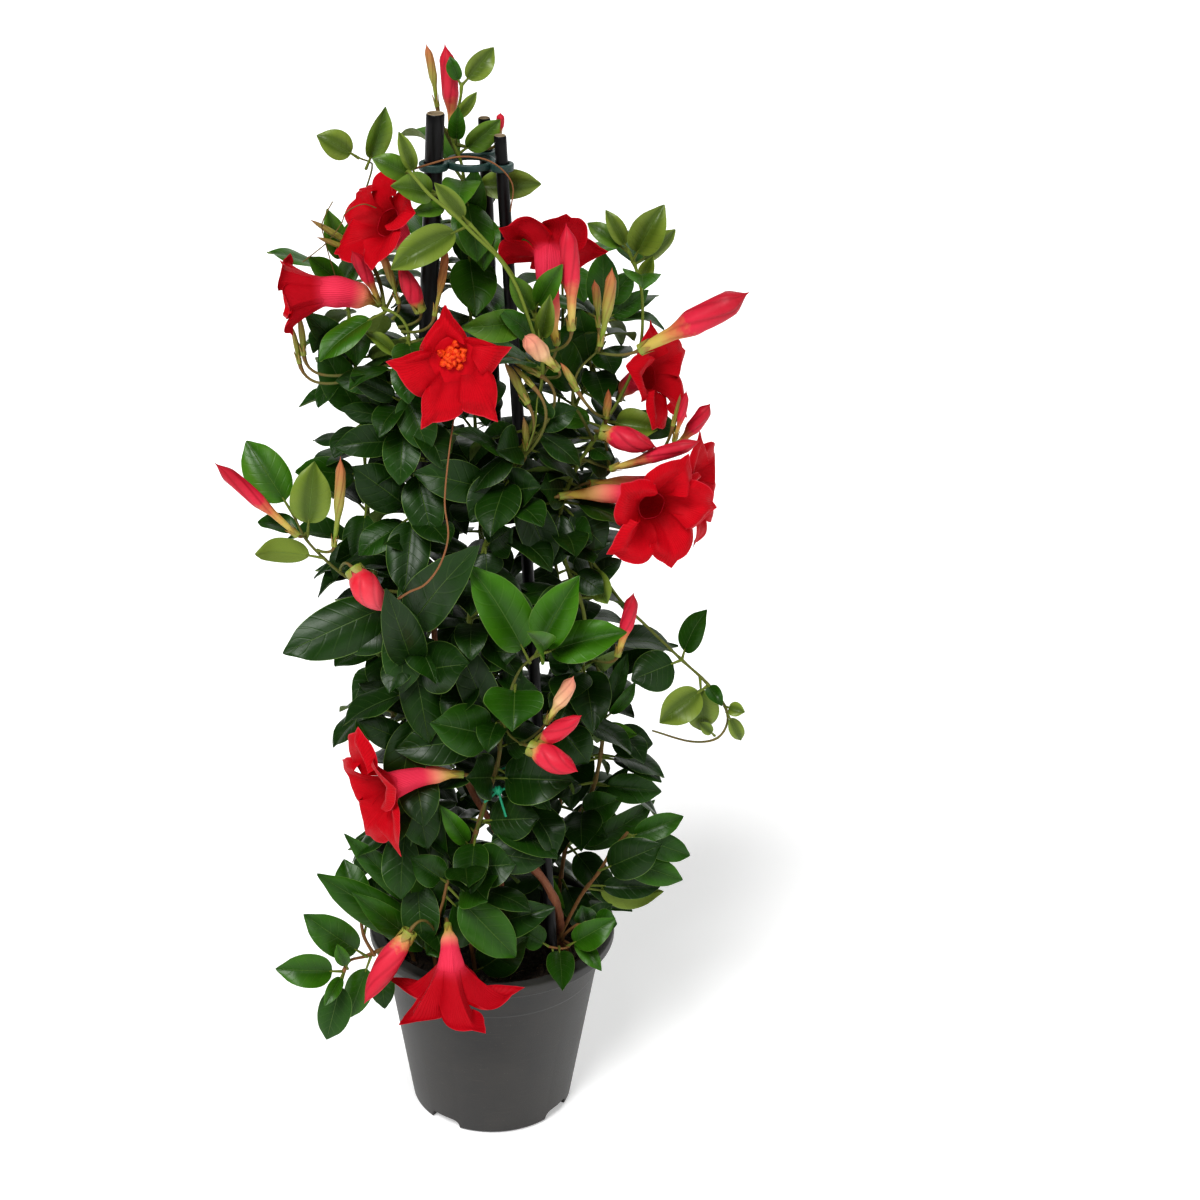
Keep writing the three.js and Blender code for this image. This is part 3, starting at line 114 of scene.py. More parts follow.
class Lobe(Enum):
    """A petal lobe's edge: places across it, with parts of the bloom's radius."""

    FULL = ((0.0, 0.58), (0.08, 0.72), (0.2, 0.87), (0.28, 0.95), (0.36, 1.1), (0.44, 0.99),
            (0.56, 0.97), (0.7, 0.91), (0.84, 0.80), (0.94, 0.68), (1.0, 0.58))
    STAR = ((0.0, 0.54), (0.08, 0.66), (0.2, 0.79), (0.28, 0.90), (0.36, 1.13), (0.44, 0.93),
            (0.56, 0.84), (0.7, 0.76), (0.84, 0.69), (0.94, 0.61), (1.0, 0.54))
    DEEP = ((0.0, 0.37), (0.08, 0.52), (0.2, 0.72), (0.28, 0.87), (0.36, 1.12), (0.44, 0.92),
            (0.56, 0.79), (0.7, 0.66), (0.84, 0.53), (0.94, 0.43), (1.0, 0.37))


class Tint(Enum):
    """A bud's colours: its foot, its middle and its tip."""

    BARREL = ((0.60, 0.10, 0.10), (0.62, 0.016, 0.035), (0.70, 0.10, 0.13))
    RED = ((0.50, 0.38, 0.09), (0.60, 0.022, 0.055), (0.36, 0.005, 0.016))
    PINK = ((0.55, 0.42, 0.12), (0.62, 0.03, 0.06), (0.50, 0.008, 0.03))
    ORANGE = ((0.20, 0.27, 0.035), (0.32, 0.30, 0.07), (0.45, 0.12, 0.06))
    PALE = ((0.48, 0.46, 0.10), (0.74, 0.46, 0.26), (0.66, 0.22, 0.16))
    BROWN = ((0.28, 0.26, 0.05), (0.34, 0.16, 0.045), (0.26, 0.06, 0.025))
    GREEN = ((0.18, 0.21, 0.03), (0.23, 0.22, 0.04), (0.26, 0.12, 0.05))


# ---- the plant's own numbers, in millimetres ---------------------------------------------------
# A vine has a name, whether it is rooted, and its shoots, each with a radius, a bark and a route. Its
# leaves follow by shoot: place, tip x, y, z, width, tone from 0, old and dark, to 3, new and light,
# and, where it has one, a twist in degrees. Its grown rows are shoot, from, to, pairs, first turn in
# degrees and reach.
VINES: tuple[tuple, ...] = (
    ("vine_front_left", True,
     ((1.8, Bark.GREEN,
       ((-38, -42, 128), (-51, -52, 220), (-57, -54, 275), (-46, -57, 329), (-51, -54, 377),
        (-55, -50, 418), (-49, -47, 458), (-48, -44, 497), (-53, -42, 529), (-56, -43, 561),
        (-50, -48, 585), (-55, -46, 597), (-66, -40, 601))),
      (1.4, Bark.FRESH,
       ((-55, -50, 416), (-73, -56, 421), (-90, -60, 431), (-104, -62, 445), (-115, -63, 459),
        (-122, -63, 475))),
      (0.9, Bark.RUST,
       ((-55, -50, 416), (-39, -90, 438), (-27, -102, 461), (-28, -98, 500), (-23, -88, 541),
        (-21, -78, 556)))),
     ((0,
       ((0.55, -83, -72, 448, 22, 1, 25), (0.52, -63, -66, 462, 12, 0), (0.41, -16, -84, 472, 32, 0),
        (0.36, -63, -92, 443, 26, 0), (0.45, -131, -74, 385, 35, 0), (0.43, -96, -92, 385, 31, 0),
        (0.36, -16, -100, 391, 34, 0), (0.28, -83, -76, 337, 20, 0), (0.38, -38, -62, 366, 15, 1),
        (0.66, -95, -58, 519, 21, 0), (0.69, -92, -52, 541, 15, 0), (0.64, -86, -40, 515, 16, 0),
        (0.56, -85, -64, 510, 28, 0), (0.72, -85, -60, 564, 14, 0), (0.75, -95, -44, 556, 17, 1),
        (0.79, -76, -50, 589, 11, 3, 30), (0.23, -71, -66, 295, 19, 0), (0.1, -41, -84, 285, 26, 1),
        (0.09, -91, -78, 211, 20, 1.2), (0.1, -115, -66, 218, 26, 1), (0.12, -96, -60, 244, 17, 1))),
      (1,
       ((0.81, -108, -82, 510, 26, 3), (1, -151, -70, 516, 28, 2), (0.6, -146, -78, 457, 18, 3, 150),
        (0.8, -146, -58, 465, 15, 1, 30)))),
     ((0, 0.3, 0.98, 2, 60, 62),)),
    ("vine_front_centre", True,
     ((1.8, Bark.GREEN,
       ((-12, -40, 128), (-19, -62, 207), (-8, -57, 254), (5, -62, 309), (-1, -60, 352),
        (-14, -57, 393), (-7, -54, 440), (8, -52, 487), (23, -52, 527), (30, -52, 559),
        (28, -50, 594), (14, -50, 622), (-2, -48, 643), (-25, -44, 666), (-50, -40, 685))),
      (1.5, Bark.FRESH,
       ((5, -62, 309), (7, -78, 341), (12, -88, 367), (18, -92, 384), (27, -94, 394))),
      (1.2, Bark.FRESH, ((7, -76, 337), (11, -92, 337), (18, -104, 337))),
      (0.8, Bark.RUST,
       ((-50, -40, 685), (-37, -28, 686), (-18, -26, 690), (0, -24, 686), (12, -24, 673),
        (11, -28, 657)))),
     ((0,
       ((0.99, -69, -46, 695, 15, 2), (1, -54, -40, 710, 10, 3), (0.93, -46, -56, 665, 10, 2),
        (0.9, -33, -54, 682, 12, 3), (0.9, -59, -66, 635, 22, 3), (0.95, -57, -58, 682, 19, 2),
        (0.74, -15, -82, 603, 20, 2, -20), (0.71, 6, -70, 611, 14, 1), (0.74, 11, -62, 627, 14, 2),
        (0.75, 40, -46, 638, 15, 2), (0.71, 34, -60, 623, 12, 3), (0.55, -13, -80, 479, 27, 0),
        (0.56, -22, -70, 535, 20, 1, 60), (0.48, -3, -64, 433, 21, 0), (0.53, -45, -74, 508, 26, 0),
        (0.28, -37, -104, 352, 34, 1), (0.24, -16, -98, 309, 31, 0), (0.24, 48, -92, 304, 34, 0),
        (0.28, -23, -72, 394, 25, 0), (0.14, -3, -96, 217, 34, 1), (0.17, 35, -70, 230, 25, 0),
        (0.17, 51, -62, 243, 30, 0), (0.28, -61, -72, 318, 28, 0), (0.17, -32, -76, 274, 14, 2))),
      (1,
       ((0.86, -11, -104, 458, 32, 2, 10), (1, 51, -102, 455, 27, 2, -10),
        (1, 27, -114, 434, 18, 2.2, 70), (0.99, 82, -108, 417, 27, 1.9, -15),
        (0.56, 13, -124, 359, 38, 1.1))),
      (0, ((0.55, 38, -62, 439, 24, 0.1), (0.6, 51, -40, 542, 18, 0.4)))),
     ((0, 0.15, 0.68, 3, 20, 64),)),
    ("vine_front_right", False,
     ((1.8, Bark.GREEN,
       ((17, -40, 225), (18, -45, 262), (34, -44, 307), (54, -42, 342), (59, -40, 392),
        (46, -38, 433), (43, -36, 466), (52, -32, 492), (63, -28, 510), (80, -20, 537),
        (91, -15, 565), (92, -12, 596), (88, -12, 615), (82, -12, 629))),
      (1.3, Bark.GREEN,
       ((44, -38, 443), (62, -34, 431), (82, -28, 400), (99, -26, 381), (123, -26, 356),
        (138, -28, 342), (151, -30, 326), (154, -30, 312), (147, -32, 301), (130, -32, 299),
        (105, -32, 307))),
      (1.3, Bark.FRESH,
       ((63, -28, 510), (54, -40, 532), (49, -44, 542), (52, -46, 562), (64, -46, 576))),
      (1.2, Bark.FRESH, ((56, -31, 499), (75, -34, 494), (95, -34, 497), (109, -36, 504)))),
     ((0,
       ((0.48, 34, -60, 434, 27, 0), (0.95, 102, -18, 657, 22, 3), (0.94, 112, 4, 636, 14, 3, 40),
        (1, 58, -4, 643, 12, 2), (1, 69, -18, 653, 11, 3), (0.88, 97, -18, 628, 10, 3),
        (0.65, 102, -44, 520, 21, 3), (0.65, 117, -18, 514, 19, 1), (0.64, 29, -50, 528, 19, 2, 30),
        (0.47, 71, -48, 444, 29, 0), (0.37, 70, -54, 418, 18, 0), (0.24, 40, -56, 386, 23, 0),
        (0.23, 43, -66, 333, 26, 0))),
      (1,
       ((0.4, 90, -46, 352, 28, 0.2), (0.4, 135, -40, 398, 18, 0.5, -30),
        (0.52, 109, -46, 321, 23, 3), (0.48, 138, -30, 305, 22, 3), (0.51, 148, -46, 334, 10, 1),
        (0.61, 164, -38, 324, 10, 3), (0.64, 164, -30, 298, 10, 3), (0.1, 73, -50, 408, 18, 3, 30),
        (0.8, 135, -35, 315, 8, 3)))),
     ((0, 0.05, 0.9, 3, 15, 64),)),
    ("vine_right", True,
     ((1.8, Bark.GREEN,
       ((45, 15, 128), (52, 12, 197), (68, 4, 241), (74, 0, 282), (73, 0, 320), (65, 2, 356),
        (54, 10, 389), (44, 14, 423), (39, 16, 465), (45, 15, 500), (61, 12, 535), (69, 10, 566),
        (70, 10, 589))),),
     ((0,
       ((0.79, 28, -8, 510, 20, 1), (0.95, 68, 2, 622, 21, 1), (0.98, 87, 4, 609, 16, 1),
        (0.95, 97, 4, 595, 13, 1, 20), (0.86, 54, 0, 585, 24, 1), (0.81, 35, -4, 579, 25, 1),
        (0.84, 83, 4, 532, 11, 0), (0.31, 107, -8, 284, 24, 0), (0.32, 93, -26, 301, 14, 2),
        (0.24, 114, -6, 246, 21, 1), (0.34, 95, -6, 327, 10, 1, 30), (0.34, 89, 2, 345, 12, 1),
        (0.19, 85, -12, 243, 23, 1), (0.15, 49, -8, 222, 20, 0), (0.17, 79, -14, 208, 18, 1),
        (0.17, 94, 2, 253, 12, 1), (0.14, 111, -2, 227, 20, 1, 20), (0.08, 69, -14, 149, 28, 0),
        (0.07, 41, -20, 182, 14, 2))),),
     ((0, 0.1, 0.95, 4, 20, 62),)),
    ("vine_left", True,
     ((1.8, Bark.GREEN,
       ((-40, 18, 128), (-47, 28, 179), (-65, 24, 238), (-67, 20, 302), (-69, 16, 349),
        (-77, 16, 401), (-81, 20, 442), (-82, 20, 484), (-83, 20, 518), (-88, 18, 553),
        (-90, 14, 587), (-91, 8, 614))),
      (1, Bark.FRESH,
       ((-90, 14, 587), (-80, 4, 620), (-79, 0, 651), (-72, -2, 677), (-76, -3, 681),
        (-80, -4, 683)))),
     ((0,
       ((1, -100, 0, 650, 15, 2), (1, -80, -8, 648, 16, 2), (0.94, -112, -6, 622, 15, 2),
        (0.95, -78, -10, 628, 15, 2), (0.81, -113, -4, 584, 19, 1), (0.71, -106, 2, 565, 25, 1),
        (0.79, -107, -10, 558, 16, 2, 50), (0.63, -123, -20, 486, 23, 1),
        (0.53, -98, -20, 425, 23, 0))),
      (1, ((0.99, -104, -8, 698, 18, 3), (0.61, -63, -6, 714, 15, 2, 25)))),
     ((0, 0.1, 0.95, 5, 70, 62),)),
    ("vine_top", True,
     ((1.8, Bark.GREEN,
       ((5, 40, 128), (4, 46, 250), (-6, 50, 340), (-8, 46, 430), (-12, 34, 520), (-14, 24, 590),
        (-16, 12, 640), (-18, 4, 675), (-24, 2, 695), (-19, 0, 717), (-18, 0, 727))),),
     ((0,
       ((1, 1, 0, 748, 15, 3, 20), (0.99, -25, 4, 743, 9, 1, -20), (0.85, -9, -4, 723, 8, 3, 20),
        (0.79, -20, 14, 717, 11, 1), (0.76, 5, 16, 705, 16, 2, 30), (0.69, 30, 6, 664, 19, 3, 10),
        (0.6, -10, -4, 677, 19, 1), (0.56, -7, 26, 645, 16, 0))),),
     ((0, 0.14, 0.7, 5, 35, 62),)),
    ("vine_back_right", True,
     ((1.6, Bark.GREEN,
       ((28, 45, 128), (52, 52, 230), (50, 62, 330), (38, 58, 430), (45, 46, 530), (44, 40, 610))),),
     (), ((0, 0.1, 1, 7, 50, 72),)),
    ("vine_back_left", True,
     ((1.6, Bark.GREEN,
       ((-22, 50, 128), (-46, 58, 230), (-52, 58, 330), (-46, 54, 430), (-42, 46, 530),
        (-34, 38, 610))),),
     (), ((0, 0.1, 1, 7, 10, 72),)),
    ("shoot_low_left", True,
     ((1.8, Bark.GREEN,
       ((-54, -30, 128), (-59, -37, 142), (-66, -45, 149), (-75, -54, 151), (-85, -62, 151),
        (-95, -70, 153), (-99, -76, 148))),
      (1.5, Bark.GREEN, ((-79, -58, 149), (-86, -60, 167), (-88, -60, 190)))),
     ((0,
       ((1, -141, -92, 161, 23, 1.6), (1, -111, -88, 101, 23, 1), (0.92, -102, -82, 173, 10, 1.6),
        (1, -110, -96, 139, 10, 1.4), (0.7, -122, -74, 190, 25, 1), (0.66, -97, -66, 104, 20, 1.4),
        (0.58, -72, -72, 119, 18, 0.3))),
      (1, ((0.68, -99, -66, 213, 24, 1), (0.49, -76, -52, 201, 19, 0)))),
     ()),
    ("shoot_low_front", True,
     ((1.8, Bark.GREEN, ((-30, -56, 128), (-35, -68, 180), (-32, -72, 202), (-29, -72, 217))),),
     ((0,
       ((0.8, -5, -98, 170, 39, 0.9), (0.93, 16, -84, 165, 30, 1), (0.42, -43, -78, 164, 19, 1),
        (0.97, -52, -80, 239, 22, 1))),),
     ()),
    ("shoot_low_right", True,
     ((1.8, Bark.GREEN,
       ((40, -30, 128), (59, -22, 170), (72, -24, 193), (81, -26, 212), (91, -26, 226))),),
     ((0,
       ((0.92, 128, -24, 237, 17, 1), (1, 134, -30, 207, 19, 1), (0.61, 112, -44, 227, 28, 0),
        (0.75, 129, -30, 191, 21, 1), (0.49, 114, -26, 183, 17, 0),
        (0.47, 116, -14, 170, 20, 3, 160))),),
     ()),
    ("shoot_rim_right", True,
     ((1.5, Bark.GREEN, ((52, -22, 128), (48, -30, 144), (56, -36, 158), (66, -40, 167))),
      (1.2, Bark.GREEN, ((49, -28, 141), (53, -42, 147), (48, -54, 152), (38, -58, 156)))),
     ((0, ((1, 84, -46, 166, 19, 1), (0.66, 73, -58, 141, 13, 1.4))),
      (1, ((0.9, 43, -66, 138, 11, 0.8),)), (0, ((0.68, 82, -26, 169, 14, 0),)),
      (1, ((1, 19, -56, 169, 18, 1.2),))),
     ()),
)
WOODY_STEMS: tuple[tuple, ...] = (
    ("woody_stem_front", 2.9,
     ((46, -16, 128), (46, -18, 150), (43, -23, 171), (33, -30, 193), (21, -37, 213),
      (18, -39, 223))),
    ("woody_stem_tall", 2.2,
     ((4, -14, 128), (6, -22, 180), (4, -30, 221), (0, -36, 238), (-13, -38, 264), (-24, -36, 295),
      (-31, -34, 316), (-36, -32, 359), (-38, -30, 401))),
)
CANES: tuple[dict, ...] = (
    {"name": "cane_left", "radius": 5.6, "foot": (-59, -20), "ring": (-35, -7), "top": 711},
    {"name": "cane_right", "radius": 3.8, "foot": (42, -45), "ring": (6, -9), "top": 698},
    {"name": "cane_back", "radius": 3.8, "foot": (15, 60), "ring": (-4, 19), "top": 702},
)
TIES: tuple[dict, ...] = (
    {"name": "tie_front", "radius": 0.8, "knot": 3,
     "loop": ((4, -70, 284), (23, -56, 285), (38, -41, 284), (37, -30, 284), (28, -28, 285),
              (10, -43, 286), (-5, -56, 286), (-7, -62, 286)),
     "ends": (((6, -74, 278), (9, -76, 268)), ((-1, -74, 281), (-5, -75, 278)))},
    {"name": "tie_left", "radius": 0.8, "knot": 1.6,
     "loop": ((-59, -16, 300), (-55, -9, 300), (-47, -9, 300), (-43, -16, 300), (-47, -23, 300),
              (-55, -23, 300)),
     "ends": (((-61, -21, 297), (-60, -26, 293)),)},
)
# A flower has a name and the vine, shoot and place that it stands on. A bud runs from its base to its
# tip, and has a width, whether it is full, and a tint.
BUDS: tuple[tuple, ...] = (
    ("bud_top_red", ("vine_top", 0, 0.75), (-24, 10, 690), (-28, 8, 749), 10, False, Tint.PINK),
    ("bud_top_orange", ("vine_top", 0, 0.75), (-33, 8, 712), (-39, 4, 750), 5, False, Tint.ORANGE),
    ("bud_far_right", ("vine_front_right", 2, 1), (89, -58, 581), (151, -70, 621),
     16, False, Tint.RED),
    ("bud_left_oval", ("vine_front_left", 1, 0.47), (-85, -78, 445), (-66, -94, 424),
     18, True, Tint.BARREL),
    ("bud_left_long", ("vine_front_left", 1, 0.83), (-120, -70, 465), (-167, -80, 517),
     9, False, Tint.RED),
    ("bud_left_orange", ("vine_front_left", 1, 0.68), (-97, -72, 459), (-91, -80, 521),
     6.5, False, Tint.ORANGE),
    ("bud_mid_right_fat", ("vine_front_right", 0, 0.63), (68, -44, 522), (100, -58, 518),
     15, True, Tint.RED),
    ("bud_mid_right_low", ("vine_front_right", 3, 0.33), (74, -44, 498), (127, -62, 524),
     9, False, Tint.RED),
    ("bud_mid_right_up", ("vine_front_right", 3, 1), (114, -30, 506), (134, -36, 538),
     9, False, Tint.RED),
    ("bud_mid_right_thin", ("vine_front_right", 3, 1), (112, -44, 517), (118, -48, 551),
     5, False, Tint.RED),
    ("bud_right_low", ("vine_front_right", 0, 0.27), (80, -50, 372), (89, -52, 417),
     9, False, Tint.RED),
    ("bud_front_lower", ("vine_front_centre", 2, 1), (24, -112, 339), (53, -128, 331),
     16, True, Tint.PINK),
    ("bud_front_middle", ("vine_front_centre", 2, 1), (30, -108, 341), (55, -120, 366),
     12, True, Tint.PINK),
    ("bud_front_upper", ("vine_front_centre", 2, 1), (34, -106, 354), (50, -112, 389),
     9, False, Tint.PALE),
    ("bud_rim_left", ("shoot_low_front", 0, 0.35), (-54, -90, 189), (-84, -104, 142),
     16, True, Tint.PINK),
    ("bud_high_left_red", ("vine_front_left", 0, 0.9), (-43, -52, 604), (-55, -56, 633),
     11, True, Tint.RED),
    ("bud_high_left_pink", ("vine_front_left", 0, 1), (-68, -32, 602), (-83, -50, 640),
     8, False, Tint.RED),
    ("bud_high_left_orange", ("vine_front_left", 0, 0.94), (-56, -44, 606), (-66, -46, 638),
     5, False, Tint.ORANGE),
    ("bud_high_right_red", ("vine_front_centre", 0, 0.7), (47, -66, 597), (43, -66, 662),
     11, False, Tint.PINK),
    ("bud_high_right_orange", ("vine_front_right", 2, 1), (65, -52, 582), (71, -54, 631),
     7, False, Tint.ORANGE),
    ("bud_high_right_thin", ("vine_front_right", 2, 1), (64, -44, 591), (61, -44, 620),
     5, False, Tint.ORANGE),
    ("bud_centre_pale", ("vine_front_centre", 0, 0.67), (38, -76, 576), (19, -92, 602),
     11, False, Tint.PALE),
    ("bud_cane_brown", ("vine_front_left", 0, 0.88), (-34, -58, 603), (-27, -52, 644),
     5, False, Tint.BROWN),
    ("bud_behind_cane", ("vine_top", 0, 0.79), (4, 8, 692), (5, 6, 708), 5, False, Tint.PINK),
)
# A bloom has its base, its mouth, the azimuth and elevation that it faces and the roll of its lobes, in
# degrees, its radius, its dish, its sag, and, where they aren't the usual ones, its lobe and its heart.
BLOOMS: tuple[tuple, ...] = (
    ("bloom_star", ("vine_front_left", 0, 0.83), (-21, -66, 591), (-23, -98, 592), (5, 10),
     7, 37, 8, 11, Lobe.STAR, True),
    ("bloom_right_front", ("vine_front_right", 0, 0.48), (42, -48, 481), (98, -60, 480), (25, -2),
     68, 37, 18, 0),
    ("bloom_right_back", ("vine_front_right", 0, 0.49), (61, -30, 482), (122, -18, 474), (70, 5),
     20, 35, 14, 0),
    ("bloom_left_high", ("vine_front_left", 0, 1), (-69, -24, 598), (-102, -34, 609), (-94, -5),
     60, 31, 24, 0),
    ("bloom_left_top", ("vine_front_left", 0, 1), (-54, -20, 623), (-62, -30, 651), (-55, 32),
     20, 33, 12, 0),
    ("bloom_right_top", ("vine_front_centre", 0, 0.67), (39, -40, 579), (34, -40, 635), (174, 36),
     38, 33, 8, 0),
    ("bloom_right_mid", ("vine_front_right", 0, 0.66), (80, 0, 527), (97, -12, 546), (60, 15),
     10, 33, 12, 0),
    ("bloom_left_low", ("vine_front_centre", 0, 0.19), (-19, -74, 298), (-64, -88, 298), (-59, -7),
     33, 40, 18, 0),
    ("bloom_rim_front", ("shoot_low_front", 0, 0.37), (-29, -84, 190), (-27, -104, 172), (12, -37),
     51, 42, 25, 0, Lobe.STAR),
)
# Small inner leaves, which fill the plant out: placed ones before the canes, then grown rows.
COVERING: dict[str, tuple] = {
    "vine_front_left": (
        (0,
         ((0.15, -46, -78, 168, 26, 0.3), (0.2, -60, -78, 206, 26, 0.2, 10),
          (0.26, -42, -76, 243, 28, 0.4), (0.33, -60, -80, 282, 28, 0.1),
          (0.4, -40, -76, 322, 28, 0.3), (0.45, -57, -80, 360, 28, 0.2),
          (0.5, -38, -76, 404, 28, 0.2), (0.57, -54, -78, 430, 28, 0.3),
          (0.63, -36, -72, 462, 26, 0.3), (0.7, -56, -72, 500, 24, 0.4),
          (0.75, -38, -70, 520, 24, 0.5), (0.82, -50, -72, 552, 20, 0.6))),
    ),
    "vine_front_centre": (
        (0,
         ((0.06, 22, -70, 170, 30, 0.3), (0.1, 44, -72, 200, 28, 0.1), (0.15, 14, -76, 232, 30, 0.2),
          (0.2, 30, -78, 268, 30, 0.2), (0.27, 34, -80, 330, 28, 0.2), (0.33, 26, -74, 362, 28, 0.1),
          (0.38, 14, -76, 386, 28, 0.3), (0.43, 28, -76, 410, 30, 0.2), (0.48, 12, -72, 470, 28, 0.3),
          (0.53, 28, -72, 498, 28, 0.2), (0.58, 4, -68, 520, 26, 0.4),
          (0.62, 30, -66, 556, 24, 0.3))),
    ),
    "shoot_rim_right": (
        (1, ((0.5, 80, -62, 179, 20, 1.3), (0.7, 46, -76, 158, 19, 0.8))),
        (0, ((0.9, 60, -60, 190, 16, 0.6),)),
    ),
    "vine_front_right": (
        (0,
         ((0.02, 36, -62, 250, 28, 0.2), (0.1, 20, -60, 290, 28, 0.1), (0.18, 62, -62, 300, 28, 0.2),
          (0.3, 74, -58, 370, 28, 0.2), (0.36, 30, -56, 396, 26, 0.3), (0.43, 62, -56, 452, 26, 0.1),
          (0.5, 30, -54, 486, 26, 0.3), (0.56, 78, -50, 492, 24, 0.3))),
    ),
}
FILLING: dict[str, tuple] = {
    "vine_front_left": ((0, 0.12, 0.85, 11, 15, 52), (0, 0.15, 0.8, 9, 60, 46)),
    "vine_front_centre": ((0, 0.1, 0.6, 11, 40, 52), (0, 0.13, 0.58, 9, 85, 46)),
    "vine_front_right": ((0, 0.05, 0.62, 9, 70, 52), (0, 0.08, 0.6, 7, 25, 46)),
    "vine_right": (
        (0, 0.12, 0.95, 11, 65, 54),
        (0, 0.15, 0.9, 9, 20, 50),
        (0, 0.1, 0.92, 10, 45, 44),
    ),
    "vine_left": ((0, 0.1, 0.9, 11, 25, 54), (0, 0.14, 0.86, 9, 70, 48), (0, 0.12, 0.88, 10, 50, 44)),
    "vine_top": ((0, 0.12, 0.68, 14, 80, 62), (0, 0.14, 0.66, 11, 35, 58)),
    "vine_back_right": (
        (0, 0.08, 1, 13, 5, 62),
        (0, 0.1, 0.96, 10, 50, 56),
        (0, 0.06, 0.9, 12, 80, 50),
    ),
    "vine_back_left": (
        (0, 0.08, 1, 13, 55, 62),
        (0, 0.1, 0.96, 10, 10, 56),
        (0, 0.06, 0.9, 12, 30, 50),
    ),
}
# Slender young buds: name, what they stand on, base, tip, width, fullness and tint.
SPRIGS: tuple[tuple, ...] = (
    ("sprig_1", ("vine_front_left", 0, 1), (-83, -20, 633), (-109, -24, 651), 4.2, True, Tint.GREEN),
    ("sprig_2", ("vine_front_left", 0, 1), (-84, -22, 631), (-105, -30, 642), 3.4, True, Tint.GREEN),
    ("sprig_3", ("vine_front_left", 0, 0.8), (-115, -30, 568), (-117, -34, 596),
     4.2, True, Tint.GREEN),
    ("sprig_4", ("vine_front_left", 0, 0.8), (-118, -28, 562), (-122, -30, 587),
     3.4, True, Tint.GREEN),
    ("sprig_5", ("vine_front_centre", 0, 0.56), (21, -70, 552), (7, -70, 578), 5.6, True, Tint.GREEN),
    ("sprig_6", ("vine_front_centre", 0, 0.57), (28, -66, 568), (8, -66, 580), 4.2, True, Tint.GREEN),
    ("sprig_7", ("vine_front_centre", 0, 0.56), (24, -74, 564), (12, -68, 575),
     3.2, True, Tint.GREEN),
    ("sprig_8", ("vine_front_centre", 0, 0.55), (21, -58, 517), (19, -66, 541),
     4.6, True, Tint.GREEN),
    ("sprig_9", ("vine_front_right", 0, 0.66), (51, -60, 556), (41, -56, 572),
     4.6, True, Tint.ORANGE),
    ("sprig_10", ("vine_front_right", 3, 0.3), (70, -38, 530), (71, -40, 549), 5.0, True, Tint.BROWN),
    ("sprig_11", ("vine_front_right", 3, 0.8), (111, -44, 527), (115, -40, 546),
     3.0, True, Tint.GREEN),
)
# Thin curling tendrils and twining shoots: radius, age and route of each.
TENDRILS: tuple[tuple[float, float, tuple[Point, ...]], ...] = (
    (0.35, 0.5,
     ((-95, -24, 662), (-99, -25, 655), (-102, -24, 647), (-101, -24, 641), (-98, -24, 628),
      (-94, -22, 612))),
    (0.35, 0.5,
     ((-69, -24, 658), (-77, -26, 661), (-87, -26, 656), (-90, -26, 649), (-97, -24, 639),
      (-102, -24, 634), (-114, -26, 625))),
    (0.5, 0.1, ((21, -66, 519), (26, -68, 536), (27, -68, 552), (30, -66, 570), (27, -66, 600))),
    (1.05, 0.0,
     ((-50, -46, 686), (-47, -60, 690), (-36, -67, 679), (-22, -70, 668), (-10, -71, 656),
      (4, -71, 642), (14, -72, 626), (21, -72, 607), (26, -68, 590), (30, -56, 574))),
)
# What is drawn a little further forward than its plain solid: a stem's or a shoot's route.
DRAWN_ROUTES: dict[tuple[str, int], tuple[Point, ...]] = {
    ("woody_stem_front", 0): (
        (46, -16, 110),
        (46, -17, 130),
        (46, -28, 156),
        (42, -42, 183),
        (33, -49, 205),
        (21, -50, 221),
        (17, -46, 228),
    ),
    ("vine_front_left", 2): (
        (-55, -50, 416),
        (-58, -92, 431),
        (-50, -112, 446),
        (-40, -118, 454),
        (-31, -118, 467),
        (-26, -116, 485),
        (-28, -110, 505),
        (-25, -100, 535),
        (-21, -80, 556),
    ),
}
DRAWN_BLOOMS: dict[str, dict] = {
    "bloom_rim_front": {"facing": (12, -86), "roll": 4, "radius": 44, "dish": 30, "lobe": Lobe.DEEP},
    "bloom_star": {"flare": 0.93, "roll": 25},
    "bloom_left_high": {"flare": 0.78, "stout": 1.4},
}


# ---- routes and the layout of the leaves ----------------------------------------------------------
def vec(*numbers: float) -> Array:
    """Numbers as a vector."""
    return np.array(numbers, dtype=float)


def unit(vector: Array) -> Array:
    """A vector, or each row of an array, at length one."""
    return vector / np.linalg.norm(vector, axis=-1, keepdims=True)


def smooth(low: float, high: float, value: Array) -> Array:
    """A soft step from 0 at low to 1 at high."""
    part = np.clip((value - low) / (high - low), 0.0, 1.0)
    return part * part * (3.0 - 2.0 * part)


def circle(count: int) -> Array:
    """Equal angles about a circle."""
    return np.linspace(0, math.tau, count, endpoint=False)


def spokes(first: Array, second: Array, angle: Array | float) -> Array:
    """Directions at angles from a first direction towards a second."""
    return np.cos(angle)[..., None] * first + np.sin(angle)[..., None] * second


def upright(axis: Array) -> Array:
    """A direction well away from an axis: up, or to the front where the axis itself stands."""
    return vec(0, 0, 1) if abs(axis[2]) < 0.8 else vec(0, -1, 0)


def level(axis: Array, start: Array) -> Array:
    """What is left of a direction square to an axis, at length one."""
    return unit(start - axis * np.dot(start, axis))


def around(axis: Array) -> tuple[Array, Array]:
    """Two directions square to an axis and to each other."""
    across = level(axis, upright(axis))
    return across, np.cross(axis, across)


